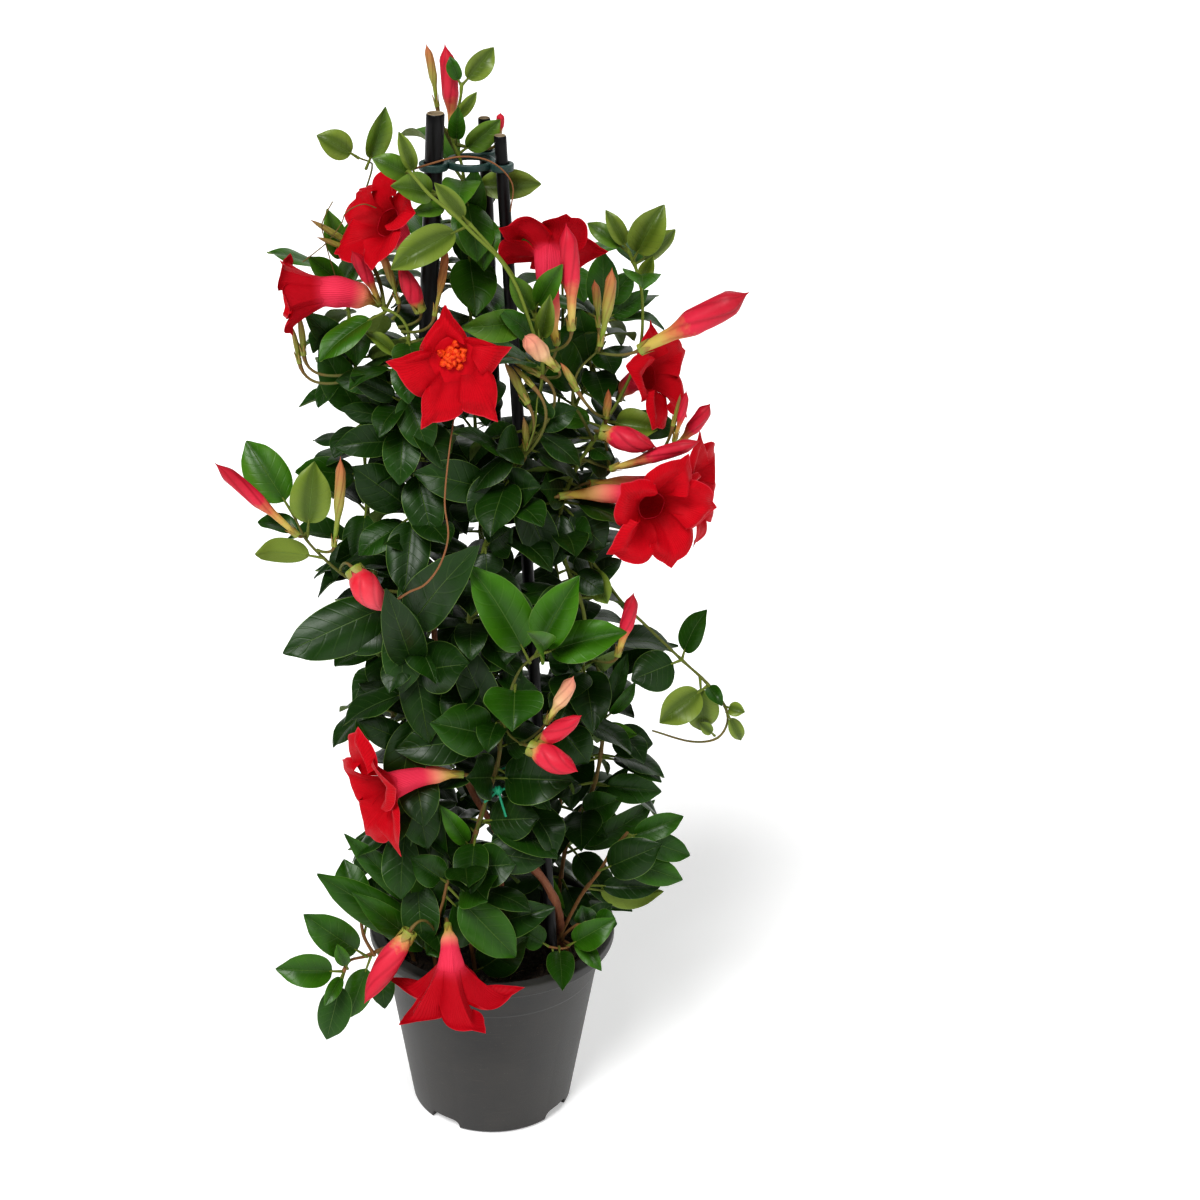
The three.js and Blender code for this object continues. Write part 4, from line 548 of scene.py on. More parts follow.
class Route:
    """A smooth curve that passes the points of a route."""

    DIVISIONS = 200

    def __init__(self, points: Sequence[Point], loop: bool = False) -> None:
        """Measure the curve.

        Args:
            points: The points that the curve passes.
            loop: Whether it closes on its first point.
        """
        self.points = np.array([tuple(p) for p in points], dtype=float)
        self.loop = loop
        marks = self.at(np.linspace(0.0, 1.0, self.DIVISIONS + 1))
        steps = np.linalg.norm(np.diff(marks, axis=0), axis=1)
        self.measure = np.concatenate(([0.0], np.cumsum(steps)))
        self.length = float(self.measure[-1])

    def at(self, places: Array | float) -> Array:
        """Points at places from 0 to 1, by equal steps from point to point.

        Args:
            places: The places.

        Returns:
            A point for each place.
        """
        pts, count = self.points, len(self.points)
        place = np.asarray(places, dtype=float) * (count if self.loop else count - 1)
        first = np.floor(place).astype(int)
        part = place - first
        if self.loop:
            four = [pts[(first + k) % count] for k in (-1, 0, 1, 2)]
        else:
            last = first >= count - 1
            first = np.where(last, count - 2, first)
            part = np.where(last, 1.0, part)
            ends = np.vstack((2 * pts[0] - pts[1], pts, 2 * pts[-1] - pts[-2]))
            four = [ends[first + k] for k in (0, 1, 2, 3)]
        a, b, c, d = four
        part = part[..., None]
        leave, arrive = 0.5 * (c - a), 0.5 * (d - b)
        square = -3 * b + 3 * c - 2 * leave - arrive
        cube = 2 * b - 2 * c + leave + arrive
        return b + part * (leave + part * (square + part * cube))

    def direction(self, places: Array | float) -> Array:
        """The way the curve runs at places from 0 to 1.

        Args:
            places: The places.

        Returns:
            A direction of length one for each place.
        """
        places = np.asarray(places, dtype=float)
        before, after = np.clip(places - 0.0001, 0, 1), np.clip(places + 0.0001, 0, 1)
        return unit(self.at(after) - self.at(before))

    def spaced(self, count: int) -> Array:
        """Points at equal lengths along the curve, count steps in all.

        Args:
            count: How many steps.

        Returns:
            The points, one more than the steps.
        """
        wanted = np.linspace(0.0, 1.0, count + 1) * self.length
        marks = np.linspace(0.0, 1.0, self.DIVISIONS + 1)
        return self.at(np.interp(wanted, self.measure, marks))


def rooted_route(points: Sequence[Point]) -> Route:
    """A route that starts in the soil, straight below its first point."""
    x, y, z = points[0]
    return Route([(x, y, z - ROOT_DEPTH), *points])


class Bend:
    """A bent line to a point, at which it arrives along a direction."""

    def __init__(self, start: Array, end: Array, direction: Array, part: float) -> None:
        """Set the line's three points; part is how far back, of the distance, it turns."""
        self.start, self.end = start, end
        self.turn = end - part * np.linalg.norm(end - start) * direction

    def at(self, places: Array | float) -> Array:
        """Points at places from 0 to 1."""
        t = np.asarray(places, dtype=float)[..., None]
        return (1 - t) ** 2 * self.start + 2 * t * (1 - t) * self.turn + t * t * self.end

    def direction(self, places: Array | float) -> Array:
        """The way the line runs at places from 0 to 1."""
        t = np.asarray(places, dtype=float)[..., None]
        return unit((1 - t) * (self.turn - self.start) + t * (self.end - self.turn))


@dataclass
class Vine:
    """A vine's shoots, and the leaves that the layout gives it."""

    name: str
    routes: list[Route]
    radii: Sequence[float]
    barks: Sequence[Bark]
    placed: Sequence[tuple]
    grown: Sequence[Point]
    leaves: list["Leaf"] = field(default_factory=list)

    @classmethod
    def of(cls, name: str, rooted: bool, shoots: Sequence[tuple], placed: Sequence[tuple],
           grown: Sequence[Point]) -> "Vine":
        """The vine of a row; a rooted one starts in the soil, straight below its first point.

        Args:
            name: The vine's name.
            rooted: Whether it starts in the soil.
            shoots: Each shoot's radius, bark and route.
            placed: Its leaves, by shoot.
            grown: Its rows of grown leaves.

        Returns:
            The vine.
        """
        radii, barks, lines = zip(*shoots)
        routes = [rooted_route(line) if rooted and line is lines[0] else Route(line) for line in lines]
        return cls(name, routes, radii, barks, placed, grown)

    def axis(self, shoot: int, place: float) -> Array:
        """The point of a shoot's sections that is nearest to a place on its route.

        Args:
            shoot: The shoot's index.
            place: The place on its route, from 0 to 1.

        Returns:
            The point.
        """
        route = self.routes[shoot]
        point = route.at(min(place, LAST_PLACE))
        step = STEM_STEP * (THIN_STEP if self.radii[shoot] < THIN else 1.0)
        corners = route.spaced(max(2, math.floor(route.length / step + 0.5)))
        starts, spans = corners[:-1], np.diff(corners, axis=0)
        parts = np.sum((point - starts) * spans, axis=1) / np.sum(spans * spans, axis=1)
        nearest = starts + np.clip(parts, 0, 1)[:, None] * spans
        return nearest[np.argmin(np.linalg.norm(nearest - point, axis=1))]


@dataclass
class Leaf:
    """A leaf's frame: its root on the stem, chord, side and facing, and its sizes."""

    root: Array
    along: Array
    face: Array
    side: Array
    length: float
    width: float
    petiole: float
    tone: float = 0.5
    fine: bool = True

    @classmethod
    def between(cls, root: Array, tip: Array, width: float, facing: Array, twist: float = 0.0,
                tone: float = 0.0) -> "Leaf":
        """The leaf from a root to a tip, with its upper face turned towards a direction.

        Args:
            root: Its root on the stem.
            tip: Its tip.
            width: Its width.
            facing: The way its upper face looks.
            twist: How far it is turned about its chord, in degrees.
            tone: Its tone.

        Returns:
            The leaf.
        """
        length = float(np.linalg.norm(tip - root))
        along = (tip - root) / length
        face = level(along, facing)
        face = spokes(face, np.cross(along, face), math.radians(twist))
        petiole = min(PETIOLE_MOST, max(PETIOLE_LEAST, PETIOLE_PART * length)) / length
        return cls(root, along, face, np.cross(along, face), length, width, petiole, tone)

    def point(self, s: Array, w: Array, lift: Array | float = 0.0) -> Array:
        """Points at s along the chord from 0 to 1, w across it, lifted off its face.

        Args:
            s: Places along the chord.
            w: Places across it, in millimetres.
            lift: Heights over the folded blade.

        Returns:
            The points.
        """
        fold = math.radians(LEAF_FOLD)
        rise = 4 * LEAF_ARCH * self.length * s * (1 - s) + np.abs(w) * math.sin(fold) + lift
        return (self.root + (s * self.length)[..., None] * self.along
                + (w * math.cos(fold))[..., None] * self.side + rise[..., None] * self.face)

    def grid(self) -> Array:
        """Points over the blade that stand for it in the room.

        Returns:
            The points, each with a radius of zero as its fourth number.
        """
        rows = math.ceil(self.length * (1 - self.petiole) / BLADE_GRID)
        points = []
        for row in range(rows + 1):
            q = row / rows
            half = 0.5 * self.width * blade_width(min(max(q, 0.02), 0.98))
            across = math.ceil(half / BLADE_GRID)
            offsets = half * np.arange(-across, across + 1) / max(1, across)
            s = np.full(len(offsets), self.petiole + q * (1 - self.petiole))
            points.append(self.point(s, offsets))
        grid = np.vstack(points)
        return np.hstack((grid, np.zeros((len(grid), 1))))


def blade_width(q: float) -> float:
    """Part of the full width at q along the blade."""
    return math.sin(math.pi * q ** 0.85) ** 0.7


class Room:
    """Things that blades keep clear of: points with a radius, in groups."""

    def __init__(self) -> None:
        """Start empty."""
        self.groups: list[tuple[str, Array, Array, float]] = []

    def add(self, owner: str, points: Array) -> None:
        """Take in a group of points, each with its radius as a fourth number.

        Args:
            owner: What the points stand for.
            points: The points.
        """
        centre = points[:, :3].mean(axis=0)
        reach = float(np.max(np.linalg.norm(points[:, :3] - centre, axis=1) + points[:, 3]))
        self.groups.append((owner, points, centre, reach))

    def blocks(self, owner: str, root: Array, points: Array, ease: float = 1.0) -> bool:
        """Tell whether a blade comes too close to anything, or into the pot.

        Args:
            owner: The vine that the blade grows on.
            root: The blade's root.
            points: The points that stand for it.
            ease: Part of the usual clearance that is kept.

        Returns:
            True if the blade isn't clear.
        """
        spots = points[:, :3]
        if in_pot(spots):
            return True
        middle = spots[len(spots) // 2]
        size = float(np.max(np.linalg.norm(spots - middle, axis=1)))
        free = spots[np.linalg.norm(spots - root, axis=1) > OWN_ROOT]
        for name, group, centre, reach in self.groups:
            if np.linalg.norm(centre - middle) > reach + size + CLEARANCE:
                continue
            own = name == owner
            clearance = ease * (OWN_CLEARANCE if own else CLEARANCE)
            tested = free if own else spots
            if not len(tested):
                continue
            gaps = tested[:, None, :] - group[None, :, :3]
            if np.any(np.sum(gaps * gaps, axis=2) < (group[:, 3] + clearance) ** 2):
                return True
        return False


def wall_radius(z: Array | float) -> Array | float:
    """The pot wall's outer radius at a height."""
    return POT_BASE_RADIUS + (POT_NECK_RADIUS - POT_BASE_RADIUS) * z / (POT_HEIGHT - RIM_DROP)


def in_pot(points: Array) -> bool:
    """Tell whether any point is in the pot's wall or its soil, or near them.

    Args:
        points: The points.

    Returns:
        True if one is.
    """
    z = points[:, 2]
    radius = np.hypot(points[:, 0], points[:, 1])
    outer = np.where(z > POT_HEIGHT - RIM_DROP - POT_MARGIN, POT_RIM_RADIUS, wall_radius(z))
    filled = (z < SOIL_TOP + 2 * POT_MARGIN) | (radius > POT_NECK_RADIUS - POT_MARGIN)
    return bool(np.any((z < POT_HEIGHT + POT_MARGIN) & (radius < outer + POT_MARGIN) & filled))


def cane_axis(cane: dict, z: Array | float) -> Array:
    """The points of a cane's straight axis at heights.

    Args:
        cane: The cane's row.
        z: The heights.

    Returns:
        A point for each height.
    """
    foot, ring = vec(*cane["foot"], SOIL_TOP), vec(*cane["ring"], CLIP_LEVEL)
    part = (np.asarray(z, dtype=float) - SOIL_TOP) / (CLIP_LEVEL - SOIL_TOP)
    return foot + part[..., None] * (ring - foot)


def stem_points(at: Callable[[Array], Array], length: float, radius: float) -> Array:
    """Points along a stem for the room, each with a radius.

    Args:
        at: The stem's line, from places 0 to 1.
        length: Its length.
        radius: Its radius.

    Returns:
        The points, with the radius as a fourth number.
    """
    steps = math.ceil(length / STEM_GRID)
    points = at(np.arange(steps + 1) / steps)
    return np.hstack((points, np.full((steps + 1, 1), radius)))


def draws(seed: int) -> Callable[[], float]:
    """A seeded draw of numbers from 0 to 1.

    Args:
        seed: The seed.

    Returns:
        What draws the next number.
    """
    state = seed

    def draw() -> float:
        """The next number.

        Returns:
            The number, from 0 to 1.
        """
        nonlocal state
        state = (state * 48271) % 2147483647
        return state / 2147483647

    return draw


@dataclass
class Bloom:
    """A trumpet bloom's place and sizes, and the frame at its mouth."""

    name: str
    on: Sequence
    base: Point
    mouth: Point
    facing: Point
    roll: float
    radius: float
    dish: float
    sag: float
    lobe: Lobe = Lobe.FULL
    heart: bool = False
    flare: float = 1.0
    stout: float = 1.0

    def __post_init__(self) -> None:
        """Work out the frame at the mouth and the tube's line."""
        azimuth, elevation = (math.radians(angle) for angle in self.facing)
        flat = math.cos(elevation)
        self.face = vec(math.sin(azimuth) * flat, -math.cos(azimuth) * flat, math.sin(elevation))
        self.top = unit(UP - self.face * self.face[2])
        self.side = np.cross(self.face, self.top)
        self.centre = vec(*self.mouth)
        self.tube = Bend(vec(*self.base), self.centre, self.face, 0.5)

    def limb(self, q: Array | float, angle: Array, edge: Array | float) -> Array:
        """Points of the limb at q from the mouth to its edge, at angles about its face.

        Args:
            q: Places from the mouth to the edge.
            angle: Angles about the face.
            edge: The edge there, in parts of the bloom's radius.

        Returns:
            The points.
        """
        q = np.asarray(q, dtype=float)
        radius = MOUTH_RADIUS + q * (edge * self.radius - MOUTH_RADIUS)
        return (self.centre + radius[..., None] * spokes(self.top, self.side, angle)
                + (self.dish * np.sin(q * math.pi / 2))[..., None] * self.face
                - (self.sag * q)[..., None] * UP)

    def room_points(self) -> Array:
        """Points that stand for the bloom in the room.

        Returns:
            The points, each with its radius as a fourth number.
        """
        parts = np.arange(9) / 8
        rows = [np.hstack((self.tube.at(parts), (1 + 6 * np.maximum(0, parts - 0.5))[:, None]))]
        steps = LOBES * len(LOBE_EDGE)
        count = np.arange(2 * steps)
        angle = math.radians(self.roll - HALF_LOBE) + count * math.pi / steps
        edge = np.array(LOBE_EDGE)
        part = (edge[(count // 2) % 3] + edge[((count + 1) // 2) % 3]) / 2
        for q in LIMB_GRID:
            limb = self.limb(np.full(len(count), q), angle, part)
            rows.append(np.hstack((limb, np.full((len(count), 1), 0.5))))
        return np.vstack(rows)


@dataclass
class Bud:
    """A bud's place and sizes."""

    name: str
    on: Sequence
    base: Point
    tip: Point
    width: float
    full: bool
    tint: Tint

    def room_points(self) -> Array:
        """Points that stand for the bud in the room.

        Returns:
            The points, each with its radius as a fourth number.
        """
        base, tip = vec(*self.base), vec(*self.tip)
        steps = math.ceil(float(np.linalg.norm(tip - base)) / 5)
        parts = np.arange(steps + 1) / steps
        radii = np.where(parts < 1, self.width / 2 - 1, 0.5)
        return np.hstack((base + parts[:, None] * (tip - base), radii[:, None]))


@dataclass
class Layout:
    """The plant's lines and leaves: what grows where, with every blade clear of the rest."""

    vines: list[Vine] = field(default_factory=lambda: [Vine.of(*row) for row in VINES])
    blooms: list[Bloom] = field(default_factory=lambda: [Bloom(*row) for row in BLOOMS])
    buds: list[Bud] = field(default_factory=lambda: [Bud(*row) for row in BUDS])
    sprigs: list[Bud] = field(default_factory=lambda: [Bud(*row) for row in SPRIGS])
    woods: dict[str, Route] = field(default_factory=dict)
    room: Room = field(default_factory=Room)

    def __post_init__(self) -> None:
        """Fill the room, then lay out the leaves in it: the solids' own, then the filling ones."""
        self.fill_room()
        for vine in self.vines:
            self.place_leaves(vine, vine.placed)
        draw = draws(LEAF_SEED)
        for vine in self.vines:
            for row in vine.grown:
                self.grow_leaves(vine, row, draw)
        self.draw_forward()
        self.keep_open()
        for vine in self.vines:
            self.place_leaves(vine, COVERING.get(vine.name, ()), FILL_EASE)
        for vine in self.vines:
            for row in FILLING.get(vine.name, ()):
                self.grow_leaves(vine, row, draw, True)

    def fill_room(self) -> None:
        """Put all but the leaves in the room."""
        room = self.room
        for cane in CANES:
            def at(part: Array, cane: dict = cane) -> Array:
                """Points at parts of the cane that stands free."""
                return cane_axis(cane, SOIL_TOP + part * (cane["top"] - SOIL_TOP))

            length = float(np.linalg.norm(at(1) - at(0)))
            room.add(cane["name"], stem_points(at, length, cane["radius"] - 1))
        for name, radius, points in WOODY_STEMS:
            route = self.woods[name] = rooted_route(points)
            room.add(name, stem_points(route.at, route.length, radius - 1))
        for vine in self.vines:
            for route, radius in zip(vine.routes, vine.radii):
                room.add(vine.name, stem_points(route.at, route.length, radius - 1))
        for flower in (*self.blooms, *self.buds):
            room.add(flower.name, flower.room_points())
        for tie in TIES:
            thin = (*tie["loop"][1:], *(p for end in tie["ends"] for p in end))
            rows = [(*tie["loop"][0], tie["knot"]), *((*p, tie["radius"]) for p in thin)]
            room.add(tie["name"], np.array(rows, dtype=float))
        room.add("clip_ring", self.clip_points())

    def draw_forward(self) -> None:
        """Move what is drawn further forward than its solid, once the solids' leaves are laid out."""
        for (name, shoot), points in DRAWN_ROUTES.items():
            route = Route(points)
            if name in self.woods:
                self.woods[name] = route
            for vine in self.vines:
                if vine.name == name:
                    vine.routes[shoot] = route
            self.room.add(name, stem_points(route.at, route.length, 1.0))
        self.blooms = [replace(bloom, **DRAWN_BLOOMS.get(bloom.name, {})) for bloom in self.blooms]
        for bloom in self.blooms:
            if bloom.name in DRAWN_BLOOMS:
                self.room.add(bloom.name, bloom.room_points())

    def keep_open(self) -> None:
        """Keep the filling leaves from in front of the flowers, the clip, the ties and the old stem."""
        shown = {flower.name for flower in (*self.blooms, *self.buds)}
        shown |= {"clip_ring", "woody_stem_front", *(tie["name"] for tie in TIES)}
        groups = [points for name, points, _, _ in self.room.groups if name in shown]
        groups += [sprig.room_points() for sprig in self.sprigs]
        for points in groups:
            for step in OPEN_STEPS:
                moved = points.copy()
                moved[:, :3] += step * VIEW
                moved[:, 3] = OPEN_RADIUS
                self.room.add("opening", moved)

    @staticmethod
    def clip_points() -> Array:
        """Points that stand for the clip in the room.

        Returns:
            The points, each with its radius as a fourth number.
        """
        rings = [(*CLIP_CENTRE, CLIP_RADIUS)]
        rings += [(*cane["ring"], cane["radius"] + CLIP_SLACK + CLIP_BAND / 2) for cane in CANES]
        turns = np.arange(CLIP_SIDES + 1) * math.tau / CLIP_SIDES
        rows = [(x + r * math.cos(t), y + r * math.sin(t), CLIP_LEVEL, 1.0)
                for x, y, r in rings for t in turns]
        return np.array(rows)

    def place_leaves(self, vine: Vine, groups: Sequence[tuple], ease: float = 1.0) -> None:
        """Lay out leaves on a vine, each moved back or forward until it is clear.

        Args:
            vine: The vine that they grow on.
            groups: Shoots, each with its leaves' place, tip, width, tone and twist.
            ease: Part of the usual clearance that is kept.
        """
        leaves = [(shoot, *row) for shoot, rows in groups for row in rows]
        for shoot, place, x, y, z, width, tone, *twist in leaves:
            root = vine.axis(shoot, place)
            for part, shift in ((p, s) for p in PLACED_PARTS for s in TIP_SHIFTS):
                tip = root + part * (vec(x, y + shift, z) - root)
                leaf = Leaf.between(root, tip, width * part, FRONT, sum(twist), tone)
                if self.take(vine, leaf, ease):
                    break

    def take(self, vine: Vine, leaf: Leaf, ease: float = 1.0) -> bool:
        """Give a vine a leaf if the leaf is clear, and tell whether it was.

        Args:
            vine: The vine.
            leaf: The leaf.
            ease: Part of the usual clearance that is kept.

        Returns:
            Whether the vine took it.
        """
        grid = leaf.grid()
        if self.room.blocks(vine.name, leaf.root, grid, ease):
            return False
        self.room.add(vine.name, grid)
        vine.leaves.append(leaf)
        return True

    def grow_leaves(self, vine: Vine, row: Point, draw: Callable[[], float],
                    filling: bool = False) -> None:
        """Grow opposite pairs of leaves along a shoot, each pair a quarter turn from the last.

        Args:
            vine: The vine that they grow on.
            row: Shoot, from, to, pairs, first turn and reach.
            draw: The draw that varies them.
            filling: Whether they fill gaps: they then hang more, are darker and stand closer.
        """
        ease, width = (FILL_EASE, FILL_WIDTH) if filling else (1.0, GROWN_WIDTH)
        tone, tries = (FILL_TONE, FILL_TRIES) if filling else (GROWN_TONE, GROWN_TRIES)
        low, high = FILL_DROOP
        shoot, start, end, pairs, turn, reach = row
        route = vine.routes[shoot]
        for pair in range(pairs):
            place = start + (end - start) * pair / max(1, pairs - 1)
            along = route.direction(place)
            front = level(along, vec(0, 0, 1) if abs(along[1]) > 0.9 else vec(0, -1, 0))
            side = np.cross(along, front)
            root = vine.axis(shoot, place)
            for half in (0, 180):
                angle = turn + 90 * pair + half + 30 * (draw() - 0.5)
                length = reach * (1 - 0.22 * place) * (0.86 + 0.28 * draw())
                droop = low + (high - low) * draw() if filling else GROWN_DROOP
                for more, part in tries:
                    outward = spokes(front, side, math.radians(angle + more))
                    leaf = self.grown_leaf(root, along, outward, (length * part, width), droop)
                    leaf.fine = not filling
                    leaf.tone = tone + NEW_TONE * float(smooth(*NEW_FROM, root[2]))
                    if self.take(vine, leaf, ease):
                        break

    @staticmethod
    def grown_leaf(root: Array, along: Array, outward: Array, size: tuple[float, float],
                   droop: float) -> Leaf:
        """A leaf that leaves its stem at an angle, with its upper face up and outward.

        Args:
            root: Its root on the stem.
            along: The way the stem runs there.
            outward: The way out from the stem on the leaf's side.
            size: Its length, and its width as a part of that.
            droop: How much it hangs.

        Returns:
            The leaf.
        """
        length, width = size
        tilt = math.radians(GROWN_ANGLE)
        reach = along * math.cos(tilt) + outward * math.sin(tilt)
        reach[2] -= droop
        tip = root + unit(reach) * length
        return Leaf.between(root, tip, width * length, 0.9 * UP + 0.6 * outward)


# ---- meshes ------------------------------------------------------------------------------------------
@dataclass
class Shell:
    """A mesh in the making: closed bodies, with a number a point for each value a finish reads."""

    values: tuple[str, ...] = ()
    points: list[Array] = field(default_factory=list)
    faces: list[tuple[int, ...]] = field(default_factory=list)
    numbers: dict[str, list[Array]] = field(default_factory=dict)
    count: int = 0

    def add(self, points: Array, faces: Iterable[Sequence[int]], **numbers: Array | float) -> None:
        """Add a body.

        Args:
            points: Its points, in millimetres.
            faces: Its faces, as indices into those points.
            numbers: Each named value, at each point or for them all.
        """
        points = np.asarray(points, dtype=float).reshape(-1, 3)
        self.points.append(points)
        self.faces.extend(tuple(int(i) + self.count for i in face) for face in faces)
        for name in self.values:
            value = np.broadcast_to(np.asarray(numbers.get(name, 0.0), dtype=float), (len(points),))
            self.numbers.setdefault(name, []).append(value)
        self.count += len(points)

    def grid(self, points: Array, **numbers: Array | float) -> None:
        """Add a closed skin of rings, with its first and last ring filled.

        Args:
            points: Rings by points by three.
            numbers: Each named value, rings by points or for them all.
        """
        rings, sides = points.shape[:2]
        ids = np.arange(rings * sides).reshape(rings, sides)
        after = np.roll(ids, -1, axis=1)
        faces = np.stack((ids[:-1], after[:-1], after[1:], ids[1:]), axis=-1).reshape(-1, 4)
        caps = [tuple(ids[0][::-1]), tuple(ids[-1])]
        flat = {name: np.broadcast_to(value, (rings, sides)).ravel() for name, value in numbers.items()}
        self.add(points, [*map(tuple, faces), *caps], **flat)

    def piece(self, name: str, finish: "Finish", slot: str, nodes: Sequence[str] = (),
              crease: float = 40.0) -> bpy.types.Object:
        """Make the object, dress it and seat it on the root body.

        Args:
            name: The piece's name.
            finish: Its finish.
            slot: The material slot meant for its finish; not used.
            nodes: The CAD nodes that it stands for.
            crease: Angle in degrees beyond which an edge stays sharp.

        Returns:
            The object.
        """
        piece = linked(name, self.mesh(name))
        shade(piece, crease)
        piece.data.materials.append(finish.material())
        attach(piece, "root")
        if nodes:
            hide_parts(*nodes)
        LOG.info("%s: %d triangles", name, sum(len(face) - 2 for face in self.faces))
        return piece

    def mesh(self, name: str) -> bpy.types.Mesh:
        """The mesh itself, in metres, with its values.

        Args:
            name: Its name.

        Returns:
            The mesh.
        """
        mesh = bpy.data.meshes.new(name)
        mesh.from_pydata((np.vstack(self.points) * MM).tolist(), [], self.faces)
        for value in self.values:
            layer = mesh.attributes.new(value, "FLOAT", "POINT")
            layer.data.foreach_set("value", np.concatenate(self.numbers[value]).astype(np.float32))
        return mesh


def linked(name: str, data: bpy.types.ID) -> bpy.types.Object:
    """A new object of the scene.

    Args:
        name: Its name.
        data: Its mesh, light or camera.

    Returns:
        The object.
    """
    item = bpy.data.objects.new(name, data)
    bpy.context.scene.collection.objects.link(item)
    return item


def shade(piece: bpy.types.Object, crease: float) -> None:
    """Shade a piece smooth, but for the edges sharper than an angle in degrees."""
    piece.data.shade_smooth()
    piece.data.set_sharp_from_angle(angle=math.radians(crease))


def frames(directions: Array, first: Array) -> tuple[Array, Array]:
    """Two directions across a line at each of its points, without twist.

    Args:
        directions: The way the line runs at each point.
        first: A direction that the first one across starts from.

    Returns:
        The first and the second direction across, a row a point.
    """
    across = [first]
    for direction in directions:
        across.append(level(direction, across[-1]))
    across = np.array(across[1:])
    return across, np.cross(directions, across)


def tube(shell: Shell, points: Array, radii: Array | float, sides: int,
         ripple: Callable[[Array, Array], Array] | None = None, **numbers: Array | float) -> None:
    """Add a round bar along a line of points.

    Args:
        shell: The mesh that takes it.
        points: The line's points.
        radii: The radius at each point, or one for all.
        sides: How many sides it has.
        ripple: Part of the radius at rings and angles, for a bar that isn't round.
        numbers: Values for each point of the line, or one for all.
    """
    directions = unit(np.gradient(points, axis=0))
    across, beside = frames(directions, upright(directions[0]))
    angles = circle(sides)
    reach = np.broadcast_to(np.reshape(radii, (-1, 1)), (len(points), sides))
    if ripple:
        rows, turns = np.meshgrid(np.arange(len(points)), angles, indexing="ij")
        reach = reach * ripple(rows, turns)
    skin = points[:, None] + reach[..., None] * spokes(across[:, None], beside[:, None], angles)
    shell.grid(skin, **{name: np.reshape(value, (-1, 1)) for name, value in numbers.items()})


def sheet(shell: Shell, top: Array, bottom: Array, **numbers: Array | float) -> None:
    """Add a thin closed blade from the grids of its two faces, which share their rims.

    Args:
        shell: The mesh that takes it.
        top: Rows by columns by three, the upper face.
        bottom: The lower face's grid.
        numbers: Values on the grid, or one for all; under is 0 above and 1 below.
    """
    rows, cols = top.shape[:2]
    inner = bottom[1:-1, 1:-1].reshape(-1, 3)
    upper = np.arange(rows * cols).reshape(rows, cols)
    lower = upper.copy()
    lower[1:-1, 1:-1] = rows * cols + np.arange((rows - 2) * (cols - 2)).reshape(rows - 2, cols - 2)
    a = np.stack((upper[:-1, :-1], upper[:-1, 1:], upper[1:, 1:], upper[1:, :-1]), axis=-1)
    b = np.stack((lower[:-1, :-1], lower[1:, :-1], lower[1:, 1:], lower[:-1, 1:]), axis=-1)
    flat = {}
    for name, value in numbers.items():
        value = np.broadcast_to(np.asarray(value, dtype=float), (rows, cols))
        flat[name] = np.concatenate((value.ravel(), value[1:-1, 1:-1].ravel()))
    flat["under"] = np.concatenate((np.zeros(rows * cols), np.ones(len(inner))))
    shell.add(np.vstack((top.reshape(-1, 3), inner)),
              [*map(tuple, a.reshape(-1, 4)), *map(tuple, b.reshape(-1, 4))], **flat)


def turned(shell: Shell, profile: Sequence[tuple[float, float]], sides: int,
           centre: Point = (0.0, 0.0), loop: bool = True) -> None:
    """Add a turned body from a profile of radius and height.

    Args:
        shell: The mesh that takes it.
        profile: The profile's points, outer side first.
        sides: How many sides it has.
        centre: The axis's place.
        loop: Whether the profile closes on itself, as a ring's does.
    """
    rows = np.array(profile, dtype=float)
    angles = circle(sides)
    x = centre[0] + rows[:, :1] * np.cos(angles)
    y = centre[1] + rows[:, :1] * np.sin(angles)
    points = np.stack((x, y, rows[:, 1:] + 0 * x), axis=-1)
    if not loop:
        shell.grid(points)
        return
    count = len(rows)
    ids = np.arange(count * sides).reshape(count, sides)
    ring, after = np.roll(ids, -1, axis=0), np.roll(ids, -1, axis=1)
    both = np.roll(ring, -1, axis=1)
    faces = np.stack((ids, after, both, ring), axis=-1).reshape(-1, 4)
    shell.add(points, map(tuple, faces))


def rounded(corners: Sequence[tuple[float, float, float]], steps: int = 5) -> list[tuple[float, float]]:
    """A closed outline with round corners.

    Args:
        corners: Each corner's two coordinates and the radius that it is rounded by.
        steps: How many points a round corner has, less one.

    Returns:
        The outline's points.
    """
    outline = []
    count = len(corners)
    for index, (x, y, radius) in enumerate(corners):
        here = vec(x, y)
        before = vec(*corners[index - 1][:2]) - here
        after = vec(*corners[(index + 1) % count][:2]) - here
        if radius <= 0:
            outline.append((x, y))
            continue
        start, end = here + radius * unit(before), here + radius * unit(after)
        for step in range(steps + 1):
            t = step / steps
            spot = (1 - t) ** 2 * start + 2 * t * (1 - t) * here + t * t * end
            outline.append((float(spot[0]), float(spot[1])))
    return outline


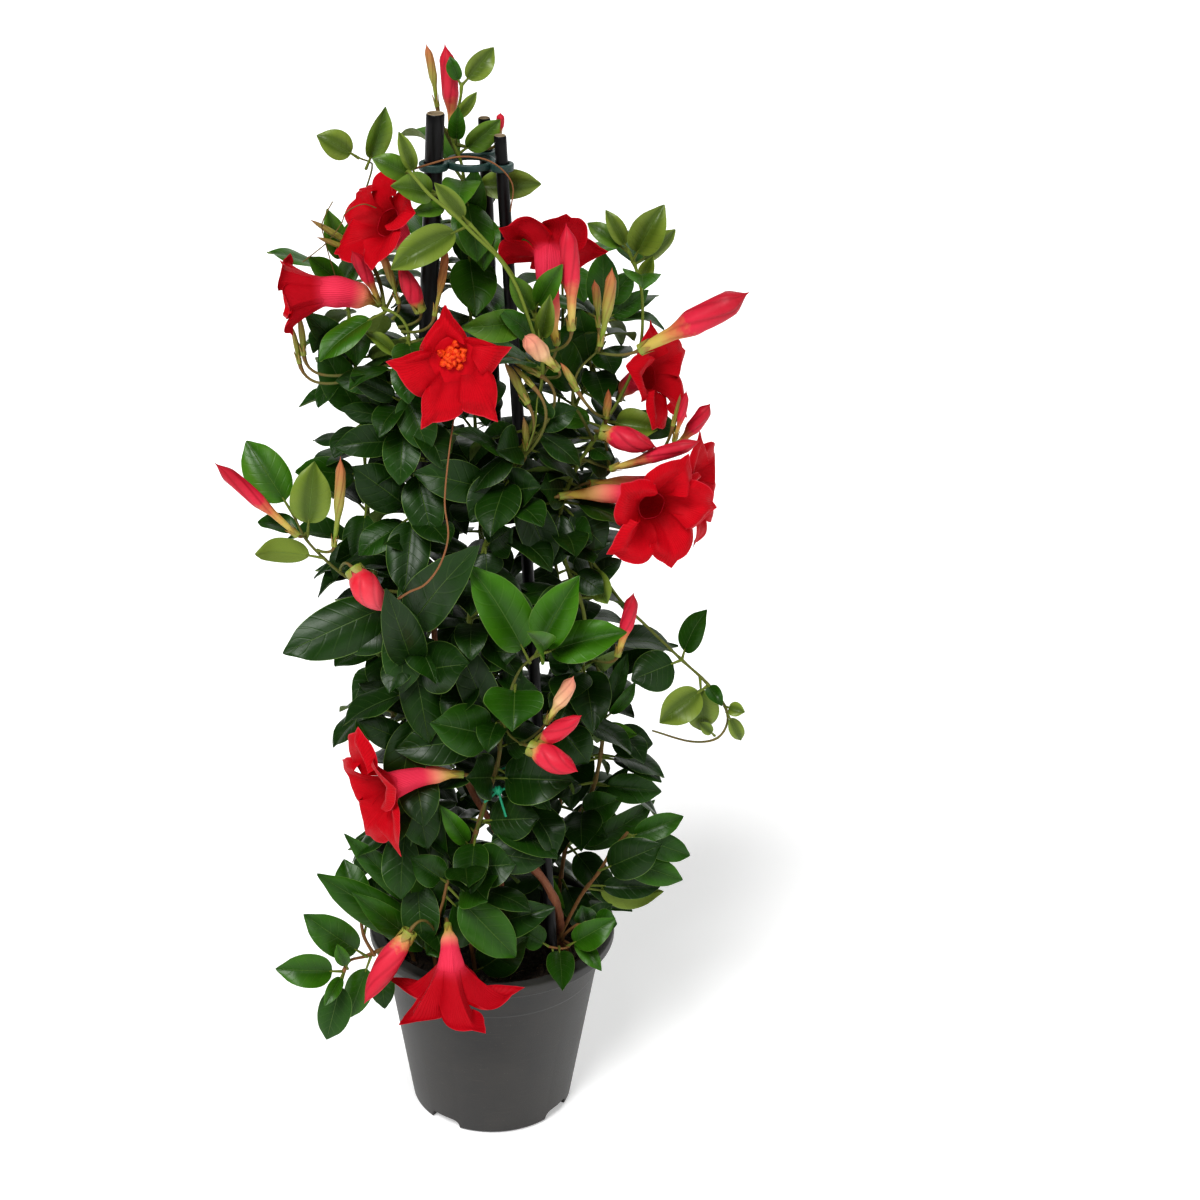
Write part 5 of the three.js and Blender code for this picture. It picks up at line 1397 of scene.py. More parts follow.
# ---- finishes ----------------------------------------------------------------------------------------
class Value:
    """A shader socket that takes part in expressions: each operation adds its Math node."""

    def __init__(self, net: "Net", socket: bpy.types.NodeSocket) -> None:
        """Wrap a socket of a net."""
        self.net, self.socket = net, socket

    def maths(self, operation: str, *others: "Value | float", clamp: bool = False) -> "Value":
        """The outcome of a Math node on this value and others."""
        settings = {"operation": operation, "use_clamp": clamp}
        return self.net.node("ShaderNodeMath", settings, (self, *others))

    def __add__(self, other: "Value | float") -> "Value":
        """The sum."""
        return self.maths("ADD", other)

    __radd__ = __add__

    def __sub__(self, other: "Value | float") -> "Value":
        """The difference."""
        return self.maths("SUBTRACT", other)

    def __rsub__(self, other: "Value | float") -> "Value":
        """The difference, the other way round."""
        return self.net.node("ShaderNodeMath", {"operation": "SUBTRACT"}, (other, self))

    def __mul__(self, other: "Value | float") -> "Value":
        """The product."""
        return self.maths("MULTIPLY", other)

    __rmul__ = __mul__

    def __truediv__(self, other: "Value | float") -> "Value":
        """The quotient."""
        return self.maths("DIVIDE", other)

    def size(self) -> "Value":
        """The value without its sign."""
        return self.maths("ABSOLUTE")

    def wave(self) -> "Value":
        """The cosine."""
        return self.maths("COSINE")

    def clamped(self) -> "Value":
        """The value kept between 0 and 1."""
        return self.maths("ADD", 0.0, clamp=True)

    def step(self, low: float, high: float) -> "Value":
        """A soft step, from 0 at low to 1 at high."""
        settings = {"interpolation_type": "SMOOTHSTEP"}
        return self.net.node("ShaderNodeMapRange", settings, (self, low, high, 0.0, 1.0))


@dataclass
class Net:
    """The nodes of one material."""

    name: str

    def __post_init__(self) -> None:
        """Start a material with its main shader."""
        self.material = bpy.data.materials.new(self.name)
        self.material.use_nodes = True
        self.tree = self.material.node_tree
        self.shader = self.tree.nodes["Principled BSDF"]

    def node(self, kind: str, settings: dict, sockets: "Sequence | dict" = (),
             output: int | str = 0) -> Value:
        """Add a node.

        Args:
            kind: The node's type.
            settings: Its settings, such as a Math node's operation, which are set first.
            sockets: Values or links of its input sockets, in order or by name.
            output: The output that is used.

        Returns:
            The output as a value.
        """
        node = self.tree.nodes.new(kind)
        for name, setting in settings.items():
            if name == "stops":
                self.set_stops(node.color_ramp, setting)
            else:
                setattr(node, name, setting)
        pairs = sockets.items() if isinstance(sockets, dict) else enumerate(sockets)
        for key, value in pairs:
            self.feed(node.inputs[key], value)
        return Value(self, node.outputs[output])

    @staticmethod
    def set_stops(ramp: bpy.types.ColorRamp, stops: Sequence[tuple[float, Colour]]) -> None:
        """Set a ramp's stops, each a place and a colour."""
        while len(ramp.elements) < len(stops):
            ramp.elements.new(1.0)
        for element, (place, colour) in zip(ramp.elements, stops):
            element.position = place
            element.color = (*colour, 1.0)

    def feed(self, socket: bpy.types.NodeSocket, value: "Value | float | Sequence[float]") -> None:
        """Link a value to a socket, or set it there."""
        if isinstance(value, Value):
            self.tree.links.new(value.socket, socket)
        elif isinstance(value, tuple) and len(value) == 3 and socket.type == "RGBA":
            socket.default_value = (*value, 1.0)
        else:
            socket.default_value = value

    def named(self, attribute: str) -> Value:
        """A number that the mesh carries."""
        settings = {"attribute_name": attribute, "attribute_type": "GEOMETRY"}
        return self.node("ShaderNodeAttribute", settings, output="Fac")

    def place(self, stretch: Point = (1.0, 1.0, 1.0)) -> Value:
        """The object's own coordinates, stretched."""
        spot = self.node("ShaderNodeTexCoord", {}, output="Object")
        return self.node("ShaderNodeVectorMath", {"operation": "MULTIPLY"}, (spot, tuple(stretch)))

    def noise(self, scale: float, detail: float = 3.0, rough: float = 0.55,
              stretch: Point = (1.0, 1.0, 1.0)) -> Value:
        """A soft noise about 0.5, at a scale of marks a metre."""
        return self.node("ShaderNodeTexNoise", {}, {
            "Vector": self.place(stretch), "Scale": scale, "Detail": detail, "Roughness": rough})

    def spots(self, scale: float) -> Value:
        """The distance to scattered points, at a scale of points a metre."""
        return self.node("ShaderNodeTexVoronoi", {}, {"Vector": self.place(), "Scale": scale},
                         output="Distance")

    def mix(self, part: "Value | float", first: "Value | Colour", second: "Value | Colour",
            blend: str = "MIX") -> Value:
        """A colour between two."""
        settings = {"data_type": "RGBA", "blend_type": blend}
        return self.node("ShaderNodeMix", settings, {0: part, 6: first, 7: second}, output=2)

    def ramp(self, part: Value, stops: Sequence[tuple[float, Colour]]) -> Value:
        """A colour from a ramp."""
        return self.node("ShaderNodeValToRGB", {"stops": stops}, (part,))

    def bump(self, height: Value, reach: float, strength: float = 1.0) -> Value:
        """A normal from a height, which is reach metres at one."""
        sockets = {"Height": height, "Distance": reach, "Strength": strength}
        return self.node("ShaderNodeBump", {}, sockets)

    def done(self, colour: Value, roughness: "Value | float", normal: Value | None = None,
             **constants: float | Sequence[float]) -> bpy.types.Material:
        """Feed the main shader.

        Args:
            colour: The base colour.
            roughness: The roughness.
            normal: The bumped normal.
            constants: The shader's other sockets, with _ for a space in their names.

        Returns:
            The material.
        """
        self.feed(self.shader.inputs["Base Color"], colour)
        self.feed(self.shader.inputs["Roughness"], roughness)
        if normal is not None:
            self.feed(self.shader.inputs["Normal"], normal)
        for name, value in constants.items():
            self.feed(self.shader.inputs[name.replace("_", " ")], value)
        return self.material


class Finish:
    """A finish, whose material is made once."""

    made: dict[str, bpy.types.Material] = {}

    def material(self) -> bpy.types.Material:
        """The finish's material.

        Returns:
            The material.
        """
        key = repr(self)
        if key not in self.made:
            self.made[key] = self.dress(Net(type(self).__name__))
        return self.made[key]

    def dress(self, net: Net) -> bpy.types.Material:
        """Wire the material's nodes.

        Args:
            net: The material's nodes.

        Returns:
            The material.
        """
        raise NotImplementedError


@dataclass(frozen=True)
class LeafGreen(Finish):
    """Glossy leaf green: pale veins and painted shade along the fold above, a lighter matte face
    beneath.
    """

    old: Colour = (0.008, 0.032, 0.002)
    grown: Colour = (0.017, 0.070, 0.002)
    fresh: Colour = (0.048, 0.155, 0.005)
    young: Colour = (0.16, 0.22, 0.03)
    vein: Colour = (0.16, 0.26, 0.06)
    beneath: Colour = (0.10, 0.16, 0.032)

    def dress(self, net: Net) -> bpy.types.Material:
        """Wire the leaf's colour from its tone, veins, mottle, side and painted fold shade.

        Args:
            net: The material's nodes.

        Returns:
            The material.
        """
        along, across = net.named("along"), net.named("across")
        tone, under = net.named("tone"), net.named("under")
        mottle = net.noise(55.0, 4.0, 0.6)
        fine = net.noise(700.0, 3.0, 0.6)
        part = (tone + (mottle - 0.5) * 0.9) / 3.0
        body = net.ramp(part, ((0.0, self.old), (0.3, self.grown), (0.66, self.fresh),
                               (1.0, self.young)))
        # Painted shade: the blade darkens towards its midrib, where it folds, more so on fresh leaves.
        inner = (1.0 - across.size().step(0.0, 0.85)) * (part * 1.1 + 0.25)
        body = net.mix(inner.clamped(), body, net.mix(1.0, body, (0.45, 0.52, 0.4), "MULTIPLY"))
        rib = 1.0 - across.size().step(0.0, 0.035)
        lines = ((along - across.size() * VEIN_SLANT) * (math.tau * SIDE_VEINS)).wave()
        side = lines.step(0.93, 1.0) * (1.0 - across.size().step(0.6, 0.95)) * 0.16
        veins = (rib * 0.8 + side).clamped()
        light = net.mix(0.6, self.vein, body)
        above = net.mix(veins, body, light)
        above = net.mix(across.size().step(0.965, 0.99) * 0.7, above, self.vein)
        below = net.mix((part * 1.25).clamped(), self.beneath, self.young)
        below = net.mix(veins * 0.6, below, self.vein)
        colour = net.mix(under, above, below)
        rough = 0.34 + under * 0.28 + (mottle - 0.5) * 0.18 + fine * 0.06
        height = (1.0 - lines.step(0.8, 1.0)) * 0.2 - rib * 0.5 + fine * 0.12 + mottle * 0.6
        return net.done(colour, rough, net.bump(height, 0.0006, 0.7), Specular_IOR_Level=0.27)


@dataclass(frozen=True)
class StemBark(Finish):
    """A stem's skin: yellow-green where it is young, brown where it is old, with raised marks."""

    green: Colour = (0.15, 0.20, 0.025)
    rust: Colour = (0.24, 0.10, 0.04)
    wood: Colour = (0.235, 0.088, 0.045)

    def dress(self, net: Net) -> bpy.types.Material:
        """Wire the bark's colour from its age and streaks.

        Args:
            net: The material's nodes.

        Returns:
            The material.
        """
        age = net.named("age")
        streaks = net.noise(420.0, 5.0, 0.65, (1.0, 1.0, 0.22))
        marks = net.noise(900.0, 2.0, 0.5)
        colour = net.ramp((age + (streaks - 0.5) * 0.4).clamped(), (
            (0.0, self.green), (0.35, (0.10, 0.11, 0.022)), (0.7, self.rust), (1.0, self.wood)))
        colour = net.mix(marks.step(0.62, 0.72) * age * 0.6, colour, (0.26, 0.17, 0.10))
        height = streaks * (0.3 + age) + marks * 0.3
        return net.done(colour, 0.5 + streaks * 0.25, net.bump(height, 0.0006),
                        Specular_IOR_Level=0.3)


@dataclass(frozen=True)
class PetalRed(Finish):
    """Velvety petal red inside, pink outside, a pale foot, a throat deepened by painted shade, edges
    partly painted highlight, a painted glow.
    """

    inner: Colour = (0.44, 0.002, 0.010)
    deep: Colour = (0.27, 0.0006, 0.004)
    # Deeper red of the throat, which also stands in as painted shade inside the tube.
    throat: Colour = (0.20, 0.0005, 0.003)
    outer: Colour = (0.38, 0.004, 0.013)
    # Pale pink lobe edge: partly the petal's own margin, partly a painted highlight.
    rim: Colour = (0.72, 0.09, 0.13)
    tube: Colour = (0.68, 0.045, 0.095)
    cream: Colour = (0.72, 0.34, 0.19)
    foot: Colour = (0.44, 0.42, 0.08)

    def dress(self, net: Net) -> bpy.types.Material:
        """Wire the petal's colour from its place, veins and side, with painted throat shade, edge
        highlight and glow.

        Args:
            net: The material's nodes.

        Returns:
            The material.
        """
        out, across, under = net.named("out"), net.named("across"), net.named("under")
        cloud = net.noise(110.0, 4.0, 0.6)
        grain = net.noise(1600.0, 3.0, 0.6)
        veins = (across * 60.0 + (cloud - 0.5) * 5.0).wave().step(0.2, 1.0)
        shade = ((cloud - 0.42) * 1.3 + veins * 0.22).clamped()
        inside = net.mix(shade, self.inner, self.deep)
        # Darker into the throat: the throat's own deeper red, and painted shade in the tube's recess.
        inside = net.mix(1.0 - out.step(-0.1, 0.45), inside, self.throat)
        # A thin pale pink margin at the lobe edges, partly a painted highlight.
        inside = net.mix(out.step(0.965, 1.0) * 0.4, inside, self.rim)
        outside = net.mix((veins * 0.35 + (cloud - 0.4) * 0.8).clamped(), self.outer, self.deep)
        outside = net.mix(1.0 - out.step(-0.14, 0.16), outside,
                          net.mix((veins * 0.5).clamped(), self.tube, self.outer))
        outside = net.mix(1.0 - out.step(-0.78, -0.42), outside, self.cream)
        outside = net.mix(1.0 - out.step(-0.94, -0.62), outside, self.foot)
        colour = net.mix(under, inside, outside)
        height = veins * 0.4 + grain * 0.2 + cloud * 0.5
        rough = 0.55 + (cloud - 0.5) * 0.2
        # A faint red emission makes the petals glow as painted light, though they are no lamp.
        return net.done(colour, rough, net.bump(height, 0.0006, 0.6), Specular_IOR_Level=0.08,
                        Emission_Color=(0.5, 0.001, 0.008), Emission_Strength=0.1)


@dataclass(frozen=True)
class HeartOrange(Finish):
    """Crumpled orange-red heart in a bloom's throat."""

    light: Colour = (0.80, 0.10, 0.012)
    dark: Colour = (0.58, 0.02, 0.004)

    def dress(self, net: Net) -> bpy.types.Material:
        """Wire the heart's mottled colour.

        Args:
            net: The material's nodes.

        Returns:
            The material.
        """
        cloud = net.noise(420.0, 4.0, 0.6)
        colour = net.mix(cloud.step(0.4, 0.62), self.light, self.dark)
        return net.done(colour, 0.55, net.bump(cloud, 0.001), Specular_IOR_Level=0.2)


@dataclass(frozen=True)
class BudSkin(Finish):
    """A furled bud's skin: pale at its foot, red towards its tip, with painted shade in the furl
    creases.
    """

    tint: Tint
    full: bool = False

    def dress(self, net: Net) -> bpy.types.Material:
        """Wire the bud's colour from its length, and darken its furls as painted shade.

        Args:
            net: The material's nodes.

        Returns:
            The material.
        """
        along, furl = net.named("along"), net.named("furl")
        cloud = net.noise(260.0, 3.0, 0.55)
        foot, middle, tip = self.tint.value
        part = (along + (cloud - 0.5) * 0.22).clamped()
        low, high = (0.05, 0.24) if self.full else (0.16, 0.48)
        colour = net.ramp(part, ((0.0, foot), (low, foot), (high, middle), (1.0, tip)))
        # Painted shade: darker along the furl creases where one petal laps over the next.
        dark = tuple(0.45 * channel for channel in tip)
        colour = net.mix((furl * 0.4).clamped(), colour, dark)
        height = (1.0 - furl) * 0.5 + net.noise(1500.0) * 0.2
        return net.done(colour, 0.42 + cloud * 0.16, net.bump(height, 0.0005, 0.6),
                        Specular_IOR_Level=0.25)


@dataclass(frozen=True)
class CalyxGreen(Finish):
    """Light green of a calyx, tinged with red at its tips."""

    green: Colour = (0.22, 0.28, 0.035)
    tip: Colour = (0.34, 0.16, 0.05)

    def dress(self, net: Net) -> bpy.types.Material:
        """Wire the calyx's colour from its length.

        Args:
            net: The material's nodes.

        Returns:
            The material.
        """
        along = net.named("along")
        cloud = net.noise(500.0)
        colour = net.mix((along * 0.9 + (cloud - 0.5)).clamped(), self.green, self.tip)
        return net.done(colour, 0.45 + cloud * 0.15, net.bump(cloud, 0.0004))


@dataclass(frozen=True)
class PotPlastic(Finish):
    """Dark grey moulded plastic with a satin skin, faint rings, scuffs and dust."""

    grey: Colour = (0.0235, 0.023, 0.022)
    dust: Colour = (0.12, 0.108, 0.09)

    def dress(self, net: Net) -> bpy.types.Material:
        """Wire the plastic's colour from its scuffs and dust.

        Args:
            net: The material's nodes.

        Returns:
            The material.
        """
        cloud = net.noise(28.0, 5.0, 0.6)
        scuffs = net.noise(240.0, 5.0, 0.7, (0.25, 0.25, 3.0)).step(0.56, 0.74)
        specks = (1.0 - net.spots(330.0).step(0.05, 0.14)) * net.noise(60.0).step(0.46, 0.6)
        grain = net.noise(2400.0, 2.0, 0.5)
        colour = net.mix((cloud - 0.35).clamped() * 0.35, self.grey, self.dust)
        colour = net.mix(scuffs * 0.16 + specks * 0.5, colour, self.dust)
        rough = 0.42 + cloud * 0.16 + scuffs * 0.12
        height = grain * 0.35 + cloud * 0.4 + scuffs * 0.25
        return net.done(colour, rough, net.bump(height, 0.0003, 0.6), Specular_IOR_Level=0.45)


@dataclass(frozen=True)
class SoilCrumb(Finish):
    """Dark moist potting mix, or the bark and fibres that lie on it."""

    dark: Colour = (0.010, 0.007, 0.005)
    light: Colour = (0.060, 0.036, 0.022)
    scale: float = 320.0

    def dress(self, net: Net) -> bpy.types.Material:
        """Wire the crumbs' colour and relief.

        Args:
            net: The material's nodes.

        Returns:
            The material.
        """
        crumbs = net.noise(self.scale, 8.0, 0.72)
        chips = net.spots(self.scale * 0.9)
        colour = net.ramp(crumbs, ((0.3, self.dark), (0.62, self.light),
                                   (0.8, tuple(1.9 * channel for channel in self.light))))
        colour = net.mix(chips.step(0.35, 0.6) * 0.6, colour, self.dark)
        return net.done(colour, 0.78 + crumbs * 0.2, net.bump(crumbs + chips * 0.5, 0.002))


@dataclass(frozen=True)
class CanePlastic(Finish):
    """Black satin cane skin with fine lengthwise lines; pale where it is cut."""

    black: Colour = (0.002, 0.002, 0.0025)
    cut: Colour = (0.42, 0.34, 0.22)

    def dress(self, net: Net) -> bpy.types.Material:
        """Wire the cane's colour from its cut ends and lines.

        Args:
            net: The material's nodes.

        Returns:
            The material.
        """
        cut = net.named("cut")
        lines = net.noise(900.0, 3.0, 0.6, (1.0, 1.0, 0.05))
        cloud = net.noise(40.0, 4.0, 0.6)
        skin = net.mix((lines - 0.3).clamped() * 0.3, self.black, (0.012, 0.011, 0.010))
        wood = net.mix(net.noise(1400.0), self.cut, (0.30, 0.22, 0.13))
        colour = net.mix(cut, skin, wood)
        rough = 0.26 + cloud * 0.2 + cut * 0.35
        return net.done(colour, rough, net.bump(lines, 0.0004, 0.5), Specular_IOR_Level=0.28)


@dataclass(frozen=True)
class MouldedGreen(Finish):
    """Moulded plastic of a clip or soft tie, with a fine grain."""

    colour: Colour
    pale: Colour
    rough: float

    def dress(self, net: Net) -> bpy.types.Material:
        """Wire the plastic's colour and grain.

        Args:
            net: The material's nodes.

        Returns:
            The material.
        """
        cloud = net.noise(180.0, 4.0, 0.6)
        grain = net.noise(2600.0, 2.0, 0.5)
        colour = net.mix((cloud - 0.25).clamped(), self.colour, self.pale)
        return net.done(colour, self.rough + cloud * 0.18, net.bump(grain + cloud, 0.0003, 0.6))


@dataclass(frozen=True)
class FloorPale(Finish):
    """Plain pale studio floor."""

    pale: Colour = (0.88, 0.88, 0.88)

    def dress(self, net: Net) -> bpy.types.Material:
        """Wire the floor's faint unevenness.

        Args:
            net: The material's nodes.

        Returns:
            The material.
        """
        cloud = net.noise(3.0)
        colour = net.mix(cloud * 0.2, self.pale, (0.84, 0.84, 0.84))
        return net.done(colour, 0.8, net.bump(cloud, 0.0002, 0.2), Specular_IOR_Level=0.1,
                        Emission_Color=(1.0, 1.0, 1.0), Emission_Strength=0.3)


# ---- the plant's pieces --------------------------------------------------------------------------
def any_phase(rng: np.random.Generator) -> float:
    """A random phase."""
    return rng.uniform(0, 6.28)


@dataclass
class Foliage:
    """A vine's leaves: folded, arched blades with sunken side veins, a keel and waved edges."""

    vine: Vine
    thickness: float = 0.55
    wave: float = 0.045
    quilt: float = 0.16
    keel: float = 0.55
    groove: float = 0.3
    soft: float = 0.9
    row_length: float = 2.2
    rows: tuple[int, int] = (14, 28)
    cols: tuple[int, int] = (8, 12)
    fine_width: float = 20.0
    light: float = 0.5
    light_from: tuple[float, float] = (560.0, 680.0)

    @staticmethod
    def outline(q: Array, middle: float) -> Array:
        """Part of the full width at q along the blade: round at its foot, drawn out at its tip.

        Args:
            q: Places along the blade, from 0 to 1.
            middle: The place where it is widest.

        Returns:
            The parts.
        """
        before, after = np.clip(1.0 - q / middle, 0, 1), np.clip((q - middle) / (1.0 - middle), 0, 1)
        body = (1.0 - before ** 2.3) ** 0.6 * (1.0 - after ** 2.1) ** 0.82
        return body * (1.0 - 0.22 * smooth(0.8, 0.95, q)) + 0.02

    def lines(self, leaf: Leaf) -> tuple[Array, Array]:
        """Places of a blade's grid: from foot to tip down the rows, and from side to side.

        Args:
            leaf: The leaf.

        Returns:
            Places q from 0 to 1, a column, and u from -1 to 1, a row.
        """
        size = leaf.length * (1 - leaf.petiole)
        rows = int(np.clip(round(size / self.row_length), *self.rows)) if leaf.fine else self.rows[0]
        cols = self.cols[leaf.fine and leaf.width > self.fine_width]
        down, over = np.linspace(0.0, 1.0, rows + 1)[:, None], np.linspace(-1, 1, cols + 1)[None, :]
        close = 0.5 - 0.5 * np.cos(np.linspace(0.02, 0.985, rows + 1) * math.pi)[:, None]
        return 0.55 * close + 0.45 * down, np.sin(over * math.pi / 2) * 0.6 + over * 0.4

    def relief(self, q: Array, u: Array) -> Array:
        """How far the blade sinks along its side veins.

        Args:
            q: Places along the blade.
            u: Places across it.

        Returns:
            The relief, which is negative.
        """
        side = np.abs(u)
        veins = np.cos((q - side * VEIN_SLANT) * math.tau * SIDE_VEINS)
        fade = smooth(0.0, 0.15, side) * (1 - smooth(0.8, 1.0, side))
        return -self.quilt * smooth(-0.6, 1.0, veins) ** 2 * fade * smooth(0.0, 0.1, q)

    def blade(self, shell: Shell, leaf: Leaf, rng: np.random.Generator) -> None:
        """Add one blade, whose lean, curl, twist and waves are drawn.

        Args:
            shell: The mesh that takes it.
            leaf: The leaf.
            rng: The draws.
        """
        q, u = self.lines(leaf)
        phase, lean, curl, twist = any_phase(rng), *rng.uniform(-1, 1, 3)
        half = 0.5 * leaf.width * self.outline(q, 0.46 + 0.05 * curl)
        w = half * (1.0 + 0.05 * lean * np.sign(u)) * u
        side = np.abs(w)
        lift = (np.sqrt(w * w + self.soft ** 2) - self.soft - side) * math.sin(math.radians(LEAF_FOLD))
        lift = lift + w * w / leaf.width * 0.5 * (curl - 1.0)
        lift = lift + side * (0.2 * lean + 0.12 + 0.2 * smooth(1.4, 2.0, leaf.tone))
        wave = np.sin(q * (7.0 + 2.5 * lean) + phase + np.where(u > 0, 1.7, 0.0))
        lift = lift + self.wave * leaf.width * wave * np.abs(u) ** 3 * smooth(0.0, 0.2, q)
        lift = lift - 0.06 * leaf.length * smooth(0.6, 1.05, q) * (1.0 + curl)
        lift = lift + w * math.sin(math.radians(7.0 * twist)) * (q - 0.4) * 2.0 + self.relief(q, u)
        rib = np.exp(-((w / self.soft) ** 2)) * (1 - 0.7 * q)
        body = self.thickness * (1 - np.abs(u) ** 4)
        s = np.broadcast_to(leaf.petiole + q * (1 - leaf.petiole), w.shape)
        top = leaf.point(s, w, lift - self.groove * rib + body / 2)
        low = leaf.point(s, w, lift - self.keel * rib - body / 2)
        lighter = self.light * smooth(*self.light_from, leaf.root[2])
        tone = leaf.tone + lighter + 0.22 * rng.uniform(-1, 1)
        sheet(shell, top, low, along=q, across=u, tone=tone)

    def build(self) -> bpy.types.Object:
        """Make the vine's leaves as one piece.

        Returns:
            The piece.
        """
        name = self.vine.name
        rng = np.random.default_rng(sum(map(ord, name)))
        shell = Shell(("along", "across", "tone", "under"))
        for leaf in self.vine.leaves:
            self.blade(shell, leaf, rng)
        return shell.piece(f"leaves_{name}", LeafGreen(), "foliage", [name], crease=75.0)


@dataclass
class Stems:
    """A vine's shoots, petioles and flower stalks: tapered bars with a swelling at each leaf."""

    vine: Vine
    flowers: Sequence["Bloom | Bud"]
    ring: float = 3.2
    sides: int = 10
    slim: float = 0.82
    taper: float = 0.42
    swell: float = 0.17
    petiole: tuple[float, float] = (1.15, 0.7)
    stalk: float = 0.95

    def add_shoot(self, shell: Shell, index: int) -> None:
        """Add one shoot.

        Args:
            shell: The mesh that takes it.
            index: The shoot's index.
        """
        route, radius = self.vine.routes[index], self.slim * self.vine.radii[index]
        count = max(6, round(route.length / self.ring))
        points = route.spaced(count)
        part = np.linspace(0, 1, count + 1)
        radii = radius * (1.0 - self.taper * part ** 1.6)
        for leaf in self.vine.leaves:
            gap = np.linalg.norm(points - leaf.root, axis=1)
            radii = radii + radius * self.swell * np.exp(-((gap / 3.0) ** 2))
        end = max(0.25, 0.6 * radii[-1])
        points = np.vstack((points, points[-1] + end * route.direction(1.0)))
        radii = np.minimum(np.append(radii, 0.3 * radii[-1]), radius * 1.25)
        age = self.vine.barks[index].value
        low = smooth(560.0, 150.0, points[:, 2]) if age == 0.0 else 0.0
        tube(shell, points, radii, self.sides, age=np.clip(age + 0.62 * low, 0, 1))

    def add_petiole(self, shell: Shell, leaf: Leaf) -> None:
        """Add a leaf's petiole, from inside its stem to its blade's foot.

        Args:
            shell: The mesh that takes it.
            leaf: The leaf.
        """
        s = np.linspace(0.0, leaf.petiole + 0.05, 7)
        line = leaf.point(s, np.zeros(7), -0.25)
        slim = 0.75 + 0.25 * min(1.0, leaf.width / 25)
        tube(shell, line, np.linspace(*self.petiole, 7) * slim, 7, age=0.12)

    def add_stalk(self, shell: Shell, flower: "Bloom | Bud") -> None:
        """Add a flower's stalk, from its vine to its calyx.

        Args:
            shell: The mesh that takes it.
            flower: The flower.
        """
        start = self.vine.axis(flower.on[1], flower.on[2])
        base = vec(*flower.base)
        if isinstance(flower, Bloom):
            towards = flower.tube.direction(0.0)
        else:
            towards = unit(vec(*flower.tip) - base)
        bend = Bend(start, base - STALK_GAP * towards, towards, 0.45)
        part = np.linspace(0, 1, 16)
        radii = self.stalk + 0.55 * smooth(0.8, 1.0, part) + 0.3 * smooth(0.15, 0.0, part)
        tube(shell, bend.at(part), radii, 8, age=0.25 + 0.3 * part)

    def build(self) -> bpy.types.Object:
        """Make the vine's stems as one piece.

        Returns:
            The piece.
        """
        name = self.vine.name
        shell = Shell(("age",))
        for index in range(len(self.vine.routes)):
            self.add_shoot(shell, index)
        for leaf in self.vine.leaves:
            self.add_petiole(shell, leaf)
        for flower in self.flowers:
            if flower.on[0] == name:
                self.add_stalk(shell, flower)
        return shell.piece(f"stems_{name}", StemBark(), "foliage", [name], crease=60.0)


@dataclass
class WoodyStem:
    """An old brown stem with ridged bark."""

    name: str
    route: Route
    radius: float
    ring: float = 2.4
    sides: int = 16
    taper: float = 0.22
    knots: int = 7
    knot_rise: float = 0.22
    knot_width: float = 4.0

    def build(self) -> bpy.types.Object:
        """Make the stem.

        Returns:
            The piece.
        """
        count = round(self.route.length / self.ring)
        points = self.route.spaced(count)
        part = np.linspace(0, 1, count + 1)
        rng = np.random.default_rng(len(self.name))
        radii = self.radius * (1.08 - self.taper * part)
        for knot in rng.uniform(0.05, 0.95, self.knots):
            gap = (part - knot) * self.route.length / self.knot_width
            radii = radii + self.radius * self.knot_rise * np.exp(-(gap ** 2))
        phases = rng.uniform(0, 6.28, 4)

        def ridges(rows: Array, turns: Array) -> Array:
            """Lengthwise ridges that wander."""
            wander = 0.5 * np.sin(rows * 0.17 + phases[0])
            return (1.0 + 0.07 * np.cos(5 * turns + wander + phases[1])
                    + 0.04 * np.cos(8 * turns - 1.5 * wander + rows * 0.5 + phases[2]))

        shell = Shell(("age",))
        tube(shell, points, radii, self.sides, ridges, age=Bark.WOOD.value)
        return shell.piece(f"{self.name}_bark", StemBark(), "wood", [self.name], crease=60.0)


@dataclass
class Calyx:
    """The five narrow green sepals about a flower's foot."""

    sepals: int = 5
    rows: int = 6
    half: float = 0.62
    wall: float = 0.35
    sunk: float = 0.8

    def build(self, shell: Shell, base: Array, axis: Array, radius: float, length: float) -> None:
        """Add the sepals to a mesh.

        Args:
            shell: The mesh that takes them.
            base: The flower's foot.
            axis: The way the flower grows.
            radius: The flower's radius at its foot.
            length: The sepals' length.
        """
        v = np.linspace(0.0, 1.0, self.rows + 1)[:, None]
        u = np.linspace(-1, 1, 5)[None, :]
        half = self.half * (1 - v ** 1.7) + 0.04
        out = (radius + self.wall + length * (0.02 + 0.10 * v ** 2) + 0.12 * (1 - u * u))[..., None]
        spine = base + (length * v)[..., None] * axis - self.sunk * axis
        for index in range(self.sepals):
            turn = math.tau * index / self.sepals + 0.4
            ring = spokes(*around(axis), turn + u * half)
            top, low = spine + out * ring, spine + (out - self.wall) * ring
            sheet(shell, top[:, ::-1], low[:, ::-1], along=v)


